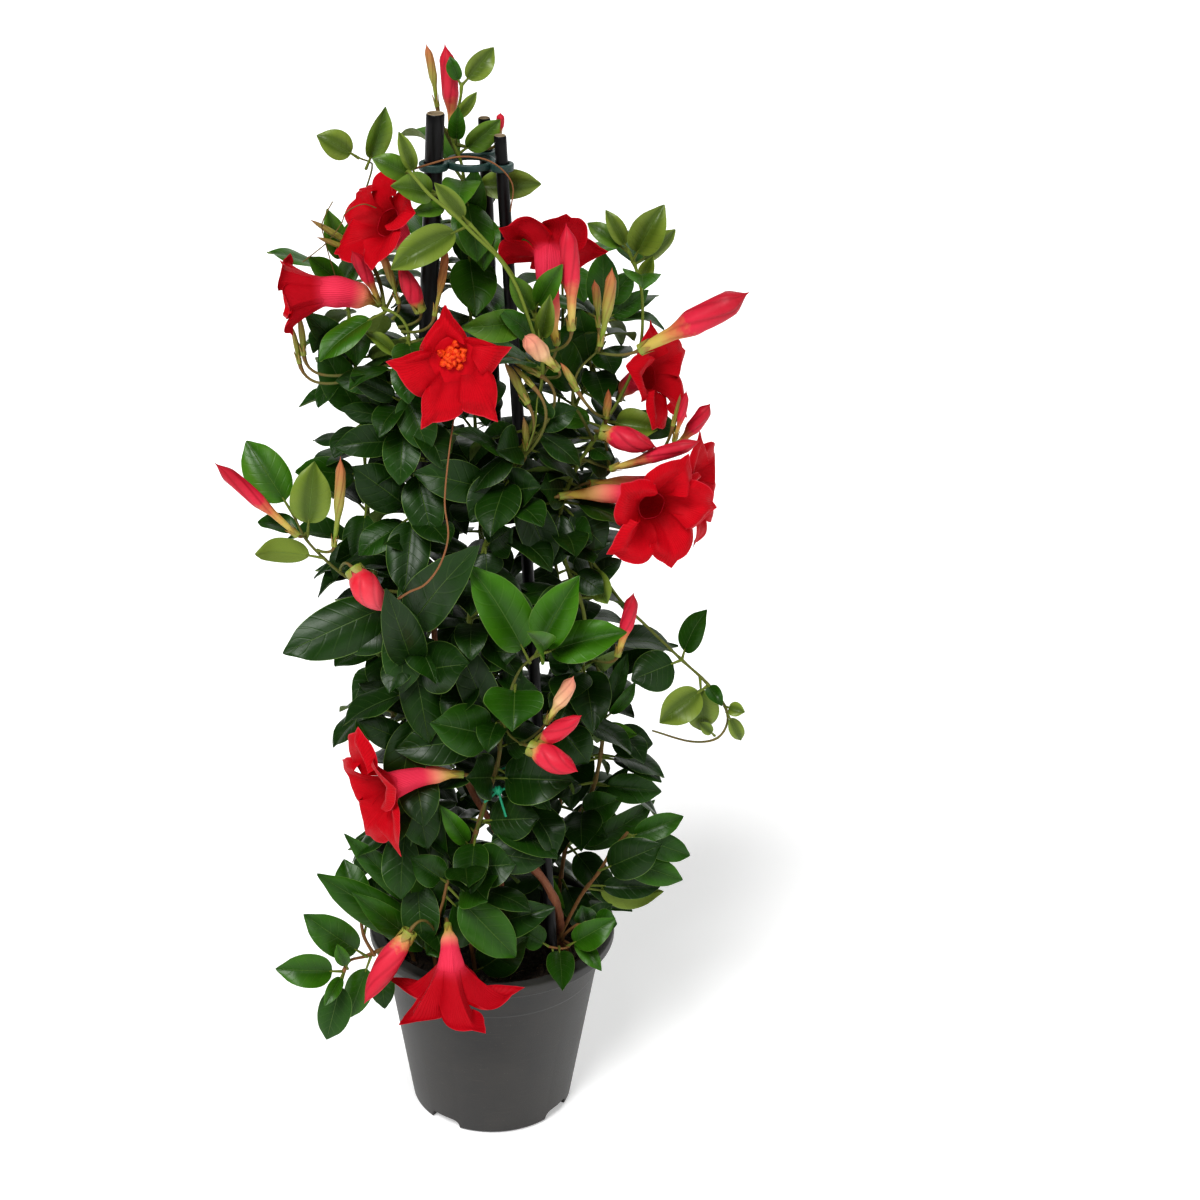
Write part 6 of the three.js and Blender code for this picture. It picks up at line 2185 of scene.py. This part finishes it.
@dataclass
class TrumpetBloom:
    """A trumpet bloom: a slender tube that widens to a throat, and five overlapping lobes."""

    bloom: Bloom
    wall: float = 0.45
    fluting: float = 0.035
    rings: int = 26
    sides: int = 40
    lobe_rows: int = 17
    lobe_cols: int = 25
    lap: float = 3.4
    curl: float = 0.13
    roll: float = 0.12
    ruffle: float = 1.9
    crease: float = 1.1
    lumps: int = 16
    sepals: tuple[float, float] = (1.9, 9.0)

    def bore(self, t: Array) -> Array:
        """The tube's radius along its line, from its foot to its mouth.

        Args:
            t: Places along the tube, from 0 to 1.

        Returns:
            The radii.
        """
        slim = 1.8 + 0.6 * smooth(0.0, 0.1, t) + 3.4 * smooth(0.08, 0.38, t)
        stout = 1.0 + (self.bloom.stout - 1.0) * smooth(0.05, 0.35, t) * smooth(1.0, 0.7, t)
        return slim * stout + (MOUTH_RADIUS - 5.8) * smooth(0.4, 1.12, t) * 1.08

    def funnel(self, shell: Shell) -> None:
        """Add the tube and the throat, a thin wall that is open at the mouth.

        Args:
            shell: The mesh that takes them.
        """
        bloom, rings = self.bloom, self.rings
        t = np.linspace(0.0, 1.0, rings)
        radius = self.bore(t)
        line, run = bloom.tube.at(t), bloom.tube.direction(t)
        across, beside = (rows[::-1] for rows in frames(run[::-1], bloom.top))
        angles = circle(self.sides)
        flutes = 1.0 + self.fluting * np.cos(5 * angles)[None, :] * smooth(0.3, 1.0, t)[:, None]
        out = spokes(across[:, None], beside[:, None], angles)
        outer = line[:, None] + (radius[:, None] * flutes)[..., None] * out
        inner = line[:, None] + ((radius - self.wall)[:, None] * flutes)[..., None] * out
        inner[0] = inner[0] + 1.2 * run[0]
        place = np.concatenate((t - 1.0, (t - 1.0)[::-1]))[:, None]
        side = np.concatenate((np.ones(rings), np.zeros(rings)))[:, None]
        shell.grid(np.concatenate((outer, inner[::-1])), out=place, across=angles / 1.2566, under=side)

    def lobe(self, shell: Shell, index: int, rng: np.random.Generator) -> None:
        """Add one lobe, which laps over the next one like a pinwheel's blade.

        Args:
            shell: The mesh that takes it.
            index: The lobe's index.
            rng: The draws.
        """
        bloom = self.bloom
        places, parts = np.array(bloom.lobe.value).T
        u = np.linspace(0.0, 1.0, self.lobe_cols + 1)[None, :]
        q = np.linspace(-0.12, 1.0, self.lobe_rows + 1)[:, None]
        reach = 1.0 + 0.05 * rng.uniform(-1, 1)
        edge = np.interp(u, places, parts) * reach * bloom.flare + 0.0 * q
        centre = math.radians(bloom.roll) + index * math.tau / LOBES
        spread = HALF_LOBE + 9.0 * smooth(0.1, 0.7, q)
        angle = centre + (u - 0.5) * 2 * np.radians(spread) * 1.02 - 0.12 * q ** 2
        grid = bloom.limb(np.maximum(q, 0.0) + 0.0 * u, angle, edge)
        inside = 1.0 + 1.4 * np.minimum(q, 0.0)
        out = spokes(bloom.top, bloom.side, angle)
        throat = bloom.tube.at(inside) + (self.bore(inside) - 0.7)[..., None] * out
        grid = np.where((q < 0)[..., None], throat, grid)
        phase = any_phase(rng)
        back = smooth(0.6, 1.0, q) ** 1.5 * (1.3 - u) * rng.uniform(0.4, 1.5)
        lift = (0.5 - u) * self.lap * smooth(0.02, 0.5, q) - self.curl * bloom.radius * back
        lift = lift - self.roll * bloom.radius * smooth(0.72, 1.0, u) * smooth(0.3, 1.0, q)
        lift = lift + self.ruffle * np.sin(u * 9.0 + phase) * smooth(0.45, 1.0, q) ** 2
        lift = lift - self.crease * np.exp(-(((u - 0.42) / 0.10) ** 2)) * smooth(0.1, 0.5, q)
        grid = grid + lift[..., None] * bloom.face
        half = self.wall * 0.5 * bloom.face
        sheet(shell, (grid + half)[:, ::-1], (grid - half)[:, ::-1], out=q,
              across=(u * 3.4 + index * 4.0)[:, ::-1])

    def build(self) -> list[bpy.types.Object]:
        """Make the bloom and its calyx.

        Returns:
            The pieces.
        """
        name = self.bloom.name
        rng = np.random.default_rng(sum(map(ord, name)))
        shell = Shell(("out", "across", "under"))
        self.funnel(shell)
        for index in range(LOBES):
            self.lobe(shell, index, rng)
        calyx = Shell(("along", "under"))
        start = self.bloom.tube.direction(0.0)
        Calyx().build(calyx, vec(*self.bloom.base), start, *self.sepals)
        if self.bloom.heart:
            self.cushion(shell)
        pieces = [shell.piece(f"{name}_petals", PetalRed(), "petal", [name], crease=70.0),
                  calyx.piece(f"{name}_calyx", CalyxGreen(), "foliage", (), crease=70.0)]
        if self.bloom.heart:
            pieces.append(self.heart(rng))
        return pieces

    def cushion(self, shell: Shell) -> None:
        """Add the swollen ring of petal that closes the throat about the heart.

        Args:
            shell: The mesh that takes it.
        """
        bloom = self.bloom
        profile = ((-0.43, 3.0), (0.0, -1.6), (0.26, -1.0), (0.22, 0.0), (0.1, 1.0), (-0.1, 2.9),
                   (-0.3, 5.2), (-0.43, 6.4))
        rings = [bloom.limb(q, circle(self.sides), 0.8) + lift * bloom.face for q, lift in profile]
        shell.grid(np.array(rings), out=0.45, across=0.0, under=0.0)

    def heart(self, rng: np.random.Generator) -> bpy.types.Object:
        """Make the crumpled heart that fills the throat.

        Args:
            rng: The draws.

        Returns:
            The heart.
        """
        bloom = self.bloom
        shell = Shell()
        for index in range(self.lumps):
            turn = index * 2.4
            reach = 1.75 * math.sqrt(index) * (1.0 + 0.25 * math.cos(5 * turn))
            spot = (bloom.centre + reach * spokes(bloom.top, bloom.side, turn)
                    + (4.4 - 0.26 * reach) * bloom.face)
            lean = unit(bloom.face + 0.9 * rng.uniform(-1, 1, 3))
            t = np.linspace(-1, 1, 9)
            line = spot + (rng.uniform(2.0, 3.0) * t)[:, None] * lean
            swell = np.sqrt(np.maximum(0.02, 1 - t * t)) * rng.uniform(1.8, 2.7)
            phase = any_phase(rng)

            def folds(rows: Array, turns: Array, phase: float = phase) -> Array:
                """Crumpled folds."""
                return 1.0 + 0.26 * np.sin(3 * turns + phase) + 0.16 * np.sin(5 * turns + 1.4 * rows)

            tube(shell, line, swell, 16, folds)
        return shell.piece(f"{bloom.name}_heart", HeartOrange(), "petal", (), crease=70.0)


@dataclass
class FurledBud:
    """A bud whose petals are furled in a spiral about its length."""

    bud: Bud
    rings: int = 30
    sides: int = 40
    ridges: int = 5
    turns: float = 0.42
    depth: float = 0.09
    bend: float = 0.02

    def radius(self, s: Array) -> Array:
        """The bud's radius along its length.

        Args:
            s: Places from foot to tip, from 0 to 1.

        Returns:
            The radii.
        """
        if self.bud.full:
            shape = np.sin(math.pi * np.clip(s, 0, 1) ** 0.82) ** 0.62
            foot = 0.34 * (1 - smooth(0.0, 0.22, s))
        else:
            shape = np.clip(1.35 * np.sin(math.pi * s ** 1.75), 0, 1) ** 0.9
            foot = 0.36 * (1 - smooth(0.25, 0.6, s)) + 0.16 * smooth(0.0, 0.3, s) * (s < 0.6)
        return self.bud.width / 2 * np.maximum(np.maximum(shape, foot) * (1 - s ** 14), 0.015)

    def skin(self, shell: Shell, calyx: Shell) -> None:
        """Add the bud to one mesh and its sepals to another.

        Args:
            shell: The mesh that takes the bud.
            calyx: The mesh that takes its sepals.
        """
        bud = self.bud
        base, tip = vec(*bud.base), vec(*bud.tip)
        axis = unit(tip - base)
        length = float(np.linalg.norm(tip - base))
        s = np.linspace(0.0, 1.0, self.rings)[:, None]
        across, beside = around(axis)
        angle = circle(self.sides)[None, :]
        phase = angle * self.ridges - s * self.turns * math.tau * self.ridges
        saw = (phase / math.tau) % 1.0
        # The furl creases, which the finish darkens as painted shade and the bump sinks.
        furl = np.exp(-((np.minimum(saw, 1 - saw) / 0.11) ** 2)) * smooth(0.12, 0.4, s)
        bulge = np.where(saw < 0.85, saw / 0.85, (1 - saw) / 0.15) - 0.5
        reach = self.radius(s) * (1 + self.depth * bulge * smooth(0.1, 0.45, s))
        bow = self.bend * length * np.sin(math.pi * s)
        skin = (base + (s * length)[..., None] * axis + bow[..., None] * beside
                + reach[..., None] * spokes(across, beside, angle))
        shell.grid(skin, along=s, furl=furl)
        foot = float(self.radius(np.array([0.1]))[0])
        Calyx().build(calyx, base, axis, foot, min(8.0, 0.26 * length + 2.0))

    def build(self) -> list[bpy.types.Object]:
        """Make the bud and its calyx.

        Returns:
            The pieces.
        """
        shell, calyx = Shell(("along", "furl")), Shell(("along", "under"))
        self.skin(shell, calyx)
        finish = BudSkin(self.bud.tint, self.bud.full)
        return [shell.piece(f"{self.bud.name}_skin", finish, "bud", [self.bud.name], crease=60.0),
                calyx.piece(f"{self.bud.name}_calyx", CalyxGreen(), "foliage", (), crease=70.0)]


@dataclass
class Sprigs:
    """The slender young buds between the blooms, and the thin tendrils."""

    buds: Sequence[Bud]
    ring: float = 2.5

    def build(self) -> list[bpy.types.Object]:
        """Make the buds of each tint, their sepals and the tendrils.

        Returns:
            The pieces.
        """
        pieces = []
        calyx = Shell(("along", "under"))
        for tint in (Tint.GREEN, Tint.ORANGE, Tint.BROWN):
            shell = Shell(("along", "furl"))
            for bud in self.buds:
                if bud.tint is tint:
                    FurledBud(bud, rings=18, sides=20).skin(shell, calyx)
            name = f"sprigs_{tint.name.lower()}"
            pieces.append(shell.piece(name, BudSkin(tint), "bud", (), crease=60.0))
        pieces.append(calyx.piece("sprigs_calyx", CalyxGreen(), "foliage", (), crease=70.0))
        threads = Shell(("age",))
        for radius, age, points in TENDRILS:
            route = Route(points)
            count = max(8, round(route.length / self.ring))
            tube(threads, route.spaced(count), radius, 8, age=age)
        pieces.append(threads.piece("tendrils", StemBark(), "foliage", (), crease=60.0))
        return pieces


@dataclass
class NurseryPot:
    """The grey pot: a tapered wall with a faint ledge, a rolled rim and four drain notches."""

    sides: int = 160
    roll: float = 2.2
    soft: float = 6.0

    def profile(self) -> list[tuple[float, float]]:
        """The wall's closed outline, as radius and height.

        Returns:
            The outline's points.
        """
        ledge = POT_HEIGHT - LEDGE_DROP
        under = POT_HEIGHT - RIM_DROP
        neck = wall_radius(under) - POT_WALL
        return rounded((
            (0.0, 0.0, 0.0), (POT_BASE_RADIUS, 0.0, 1.6), (wall_radius(ledge), ledge, 0.6),
            (wall_radius(ledge) + LEDGE_STEP, ledge + 1.0, 0.5), (POT_NECK_RADIUS, under, 0.8),
            (POT_RIM_RADIUS, under, 1.4), (POT_RIM_RADIUS, POT_HEIGHT, self.roll),
            (POT_NECK_RADIUS - 0.8, POT_HEIGHT, 1.8), (neck, under - 2.0, 1.4),
            (wall_radius(POT_FLOOR) - POT_WALL, POT_FLOOR, 1.2), (0.0, POT_FLOOR, 0.0)))

    def build(self) -> bpy.types.Object:
        """Make the pot and cut its notches.

        Returns:
            The piece.
        """
        shell = Shell()
        rows = [(max(radius, 0.02), height) for radius, height in self.profile()]
        turned(shell, rows, self.sides, loop=False)
        pot = shell.piece("pot_shell", PotPlastic(), "pot", ["nursery_pot"], crease=35.0)
        for angle in NOTCH_ANGLES:
            self.cut(pot, math.radians(angle))
        shade(pot, 35.0)
        return pot

    def cut(self, pot: bpy.types.Object, angle: float) -> None:
        """Cut one notch at the bottom edge.

        Args:
            pot: The pot.
            angle: The notch's angle about the axis, in radians.
        """
        half, high, deep = NOTCH_WIDE / 2, NOTCH_HIGH, NOTCH_DEEP
        corners = rounded(((-half, -high, 0.0), (half, -high, 0.0), (half, high, self.soft),
                           (-half, high, self.soft)))
        right = vec(math.cos(angle), math.sin(angle), 0)
        back = np.cross(UP, right)
        block = Shell()
        block.grid(np.array([[x * right + y * back + z * UP for x, z in corners]
                             for y in (-POT_BASE_RADIUS + deep, -POT_BASE_RADIUS - deep)]))
        cutter = linked("notch_block", block.mesh("notch_block"))
        cut = pot.modifiers.new("notch", "BOOLEAN")
        cut.operation, cut.object, cut.solver = "DIFFERENCE", cutter, "EXACT"
        apply_modifiers(pot)
        bpy.data.objects.remove(cutter)


def apply_modifiers(piece: bpy.types.Object) -> None:
    """Replace a piece's mesh with what its modifiers make of it.

    Args:
        piece: The piece.
    """
    graph = bpy.context.evaluated_depsgraph_get()
    done = bpy.data.meshes.new_from_object(piece.evaluated_get(graph))
    piece.modifiers.clear()
    piece.data = done


@dataclass
class PottingMix:
    """The dark soil with its lumpy top, and the bark chips and fibres that lie on it."""

    rings: int = 44
    sides: int = 96
    chips: int = 300
    fibres: int = 46
    strewn: float = 72.0

    @staticmethod
    def height(radius: Array, angle: Array) -> Array:
        """Height of the soil's top.

        Args:
            radius: Distances from the axis.
            angle: Angles about it.

        Returns:
            The heights.
        """
        waves = np.sin(3 * angle + radius * 0.09) + 0.7 * np.sin(5 * angle - radius * 0.21 + 1.3)
        fade = np.minimum(1.0, radius / 20)
        return SOIL_TOP + SOIL_RELIEF * 0.5 * fade * waves + 1.5 * np.cos(radius * 0.05)

    def crumbs(self, x: Array, y: Array) -> Array:
        """Small lumps on the soil's top.

        Args:
            x: Places to the right.
            y: Places to the back.

        Returns:
            The lumps' heights.
        """
        total = np.zeros_like(x)
        for size, reach, turn in ((0.33, 1.1, 0.3), (0.61, 0.8, 1.4), (1.13, 0.5, 2.3)):
            a = x * math.cos(turn) + y * math.sin(turn)
            b = y * math.cos(turn) - x * math.sin(turn)
            total = total + reach * np.sin(a * size * 2.1) * np.cos(b * size * 1.7 + 0.6)
        return total

    def build(self) -> list[bpy.types.Object]:
        """Make the soil, the chips and the fibres."""
        return [self.soil(), self.bark(), self.fibre()]

    def soil(self) -> bpy.types.Object:
        """Make the soil body.

        Returns:
            The piece.
        """
        inner = wall_radius(SOIL_TOP - 4) - POT_WALL - 0.3
        angle = circle(self.sides)[None, :]
        radius = np.linspace(inner, 0.4, self.rings)[:, None]
        x, y = radius * np.sin(angle), -radius * np.cos(angle)
        z = self.height(radius, angle) + self.crumbs(x, y) * smooth(inner, inner - 8, radius)
        low = np.array(((0.4, 3.0), (44.0, 3.0), (45.0, 9.0), (wall_radius(12) - 2.4, 12.0),
                        (wall_radius(100) - 2.1, 100.0)))[..., None]
        under = np.stack((low[:, 0] * np.sin(angle), -low[:, 0] * np.cos(angle),
                          low[:, 1] + 0 * angle), axis=-1)
        shell = Shell()
        shell.grid(np.concatenate((under, np.stack((x, y, z), axis=-1))))
        return shell.piece("potting_mix", SoilCrumb(), "soil", ["soil"], crease=60.0)

    def on_top(self, rng: np.random.Generator) -> tuple[float, float, float]:
        """A random place on the soil's top.

        Args:
            rng: The draws.

        Returns:
            Its x, y and z.
        """
        radius = self.strewn * math.sqrt(rng.uniform(0, 1))
        angle = rng.uniform(0, math.tau)
        x, y = radius * math.sin(angle), -radius * math.cos(angle)
        return x, y, float(self.height(radius, angle) + self.crumbs(x, y))

    def bark(self) -> bpy.types.Object:
        """Make the bark chips.

        Returns:
            The piece.
        """
        rng = np.random.default_rng(7)
        shell = Shell()
        for _ in range(self.chips):
            x, y, z = self.on_top(rng)
            long, wide, high = rng.uniform(2.0, 6.5), rng.uniform(1.2, 3.2), rng.uniform(0.6, 1.8)
            turn, tilt = any_phase(rng), rng.uniform(-0.5, 0.5)
            t = np.linspace(-1, 1, 5)
            line = np.stack((t * long * math.cos(turn), t * long * math.sin(turn),
                             t * long * tilt * 0.6), axis=-1) + (x, y, z + 0.25 * high)
            swell = np.array((0.35, 0.9, 1.0, 0.85, 0.3)) * rng.uniform(0.75, 1.2, 5)
            flat = high / wide

            def chip(rows: Array, turns: Array, flat: float = flat) -> Array:
                """A flattened, chipped outline."""
                return np.hypot(np.cos(turns) * flat, np.sin(turns)) + 0.1 * np.sin(3 * turns + rows)

            tube(shell, line, wide * swell, 6, chip)
        finish = SoilCrumb((0.018, 0.011, 0.007), (0.085, 0.048, 0.028), 500.0)
        return shell.piece("bark_chips", finish, "soil", (), crease=25.0)

    def fibre(self) -> bpy.types.Object:
        """Make the coir fibres.

        Returns:
            The piece.
        """
        rng = np.random.default_rng(11)
        shell = Shell()
        for _ in range(self.fibres):
            x, y, z = self.on_top(rng)
            turn, bend = any_phase(rng), rng.uniform(-1.6, 1.6)
            steps = np.linspace(0, 1, 9)
            heading = turn + bend * steps
            long = rng.uniform(8, 20)
            line = np.stack((x + np.cumsum(np.cos(heading)) * long / 9,
                             y + np.cumsum(np.sin(heading)) * long / 9,
                             z + 0.6 + 1.6 * np.sin(steps * math.pi)), axis=-1)
            if np.all(np.hypot(line[:, 0], line[:, 1]) < self.strewn + 1):
                tube(shell, line, 0.28, 5)
        finish = SoilCrumb((0.07, 0.042, 0.022), (0.20, 0.125, 0.07), 700.0)
        return shell.piece("coir_fibres", finish, "soil", (), crease=60.0)


@dataclass
class Cane:
    """A straight black cane with low joints and a cut, hollow top."""

    row: dict
    sides: int = 28
    joint: float = 148.0
    joint_rise: float = 0.045
    joint_width: float = 2.5
    bore: float = 0.76

    def build(self) -> bpy.types.Object:
        """Make the cane.

        Returns:
            The piece.
        """
        name, radius, top = self.row["name"], self.row["radius"], self.row["top"]
        z = np.concatenate((np.arange(CANE_FOOT, top - 3.0, 4.0), (top - 1.2, top - 0.4)))
        radii = np.full(len(z), radius)
        for height in np.arange(CANE_FOOT + 60, top - 30, self.joint):
            radii = radii + self.joint_rise * radius * np.exp(-(((z - height) / self.joint_width) ** 2))
        radii[-1] = radius - 0.25
        bore = self.bore * radius
        heights = np.concatenate((z, (top, top, top - 0.5, top - 14.0)))
        radii = np.concatenate((radii, (radius - 0.6, bore + 0.25, bore, bore * 0.9)))
        cut = np.concatenate((np.zeros(len(z)), (1.0, 1.0, 0.8, 0.0)))
        centre = cane_axis(self.row, heights)
        ring = spokes(vec(1, 0, 0), vec(0, 1, 0), circle(self.sides))
        shell = Shell(("cut",))
        shell.grid(centre[:, None] + radii[:, None, None] * ring, cut=cut[:, None])
        return shell.piece(f"{name}_rod", CanePlastic(), "cane", [name], crease=50.0)


@dataclass
class ClipRing:
    """The dark green clip: a rounded hoop with an eye about each cane."""

    sides: int = 64

    def hoop(self, shell: Shell, x: float, y: float, inner: float, outer: float,
             height: float) -> None:
        """Add a ring with a rounded section.

        Args:
            shell: The mesh that takes it.
            x: Its centre's x.
            y: Its centre's y.
            inner: Its inner radius.
            outer: Its outer radius.
            height: Its height.
        """
        half, soft = height / 2, 0.9
        section = rounded(((outer, CLIP_LEVEL - half, soft), (outer, CLIP_LEVEL + half, soft),
                           (inner, CLIP_LEVEL + half, soft), (inner, CLIP_LEVEL - half, soft)))
        turned(shell, section, self.sides, (x, y))

    def build(self) -> bpy.types.Object:
        """Make the clip.

        Returns:
            The piece.
        """
        shell = Shell()
        self.hoop(shell, *CLIP_CENTRE, CLIP_RADIUS - CLIP_BAND / 2, CLIP_RADIUS + CLIP_BAND / 2,
                  CLIP_HEIGHT - 0.4)
        for cane in CANES:
            inner = cane["radius"] + CLIP_SLACK * 0.5
            self.hoop(shell, *cane["ring"], inner, inner + CLIP_BAND, CLIP_HEIGHT)
        finish = MouldedGreen((0.012, 0.040, 0.034), (0.04, 0.09, 0.08), 0.3)
        return shell.piece("clip_hoops", finish, "clip", ["clip_ring"], crease=50.0)


@dataclass
class SoftTie:
    """A teal soft tie: its loop, its knot and its cut ends."""

    name: str
    radius: float
    knot: float
    loop: Sequence[Point]
    ends: Sequence[Sequence[Point]]
    coils: tuple[float, ...] = (0.2, 1.25, 2.3)

    def build(self) -> bpy.types.Object:
        """Make the tie.

        Returns:
            The piece.
        """
        shell = Shell()
        route = Route(self.loop, True)
        points = route.at(np.linspace(0, 1, 97))
        tube(shell, points, self.radius, 10)
        heart = vec(*self.loop[0])
        turn = np.linspace(0, math.tau, 25)
        for tilt in self.coils:
            coil = spokes(vec(math.cos(tilt), 0, math.sin(tilt)), vec(0, 1, 0), turn)
            tube(shell, heart + 0.72 * self.knot * coil, self.radius * 1.25, 10)
        for end in self.ends:
            line = Route([self.loop[0], *end]).spaced(12)
            tube(shell, line, self.radius, 10)
        finish = MouldedGreen((0.001, 0.22, 0.11), (0.01, 0.34, 0.18), 0.42)
        return shell.piece(f"{self.name}_twist", finish, "tie", [self.name], crease=60.0)


# ---- the studio --------------------------------------------------------------------------------------
@dataclass
class Studio:
    """The floor, the soft lights and the camera."""

    eye: Point = (0.0, -1.480, 1.102)
    pitch: float = 64.2
    lens: float = 75.6
    shift: float = 0.09
    floor: float = 9000.0
    lights: tuple[tuple, ...] = (
        ("key", (-0.45, -0.85, 1.2), 26.0, 2.7),
        ("fill", (0.9, -0.9, 0.6), 50.0, 0.6),
        ("rim", (0.3, 1.0, 0.7), 60.0, 0.85),
    )
    glow: float = 0.145

    def camera(self) -> None:
        """Set the camera."""
        data = bpy.data.cameras.new("camera")
        data.lens, data.sensor_width, data.shift_x = self.lens, 36.0, self.shift
        camera = linked("camera", data)
        camera.location = self.eye
        camera.rotation_euler = (math.radians(self.pitch), 0.0, 0.0)
        bpy.context.scene.camera = camera

    def light(self, name: str, source: Point, spread: float, strength: float) -> None:
        """Add a soft far light that comes from a direction, spread over an angle in degrees.

        Args:
            name: Its name.
            source: The way to it.
            spread: Its angle in degrees.
            strength: Its strength.
        """
        data = bpy.data.lights.new(name, "SUN")
        data.energy, data.angle = strength, math.radians(spread)
        linked(name, data).rotation_euler = (-Vector(source)).to_track_quat("-Z", "Y").to_euler()

    def build(self) -> None:
        """Set up the floor, the lights and the camera."""
        self.camera()
        square, far = Shell(), self.floor
        corners = ((-far, -far, -1), (far, -far, -1), (far, far, -1), (-far, far, -1))
        square.add(np.array(corners), [(0, 1, 2, 3)])
        floor = linked("floor", square.mesh("floor"))
        floor.data.materials.append(FloorPale().material())
        for light in self.lights:
            self.light(*light)
        world = bpy.data.worlds.new("studio")
        world.use_nodes = True
        sky = world.node_tree.nodes["Background"].inputs
        sky["Color"].default_value = (1.0, 1.0, 1.0, 1.0)
        sky["Strength"].default_value = self.glow
        bpy.context.scene.world = world
        view = bpy.context.scene.view_settings
        view.view_transform, view.look = "Standard", "Medium High Contrast"


def main() -> None:
    """Build the studio, then each piece of the plant."""
    logging.basicConfig(level=logging.INFO, format="%(message)s")
    Studio().build()
    layout = Layout()
    NurseryPot().build()
    PottingMix().build()
    for cane in CANES:
        Cane(cane).build()
    ClipRing().build()
    for tie in TIES:
        SoftTie(**tie).build()
    for name, radius, _ in WOODY_STEMS:
        WoodyStem(name, layout.woods[name], radius).build()
    flowers = (*layout.blooms, *layout.buds, *layout.sprigs)
    for vine in layout.vines:
        Foliage(vine).build()
        Stems(vine, flowers).build()
    for bloom in layout.blooms:
        TrumpetBloom(bloom).build()
    for bud in layout.buds:
        FurledBud(bud).build()
    Sprigs(layout.sprigs).build()


if __name__ == "__main__":
    main()
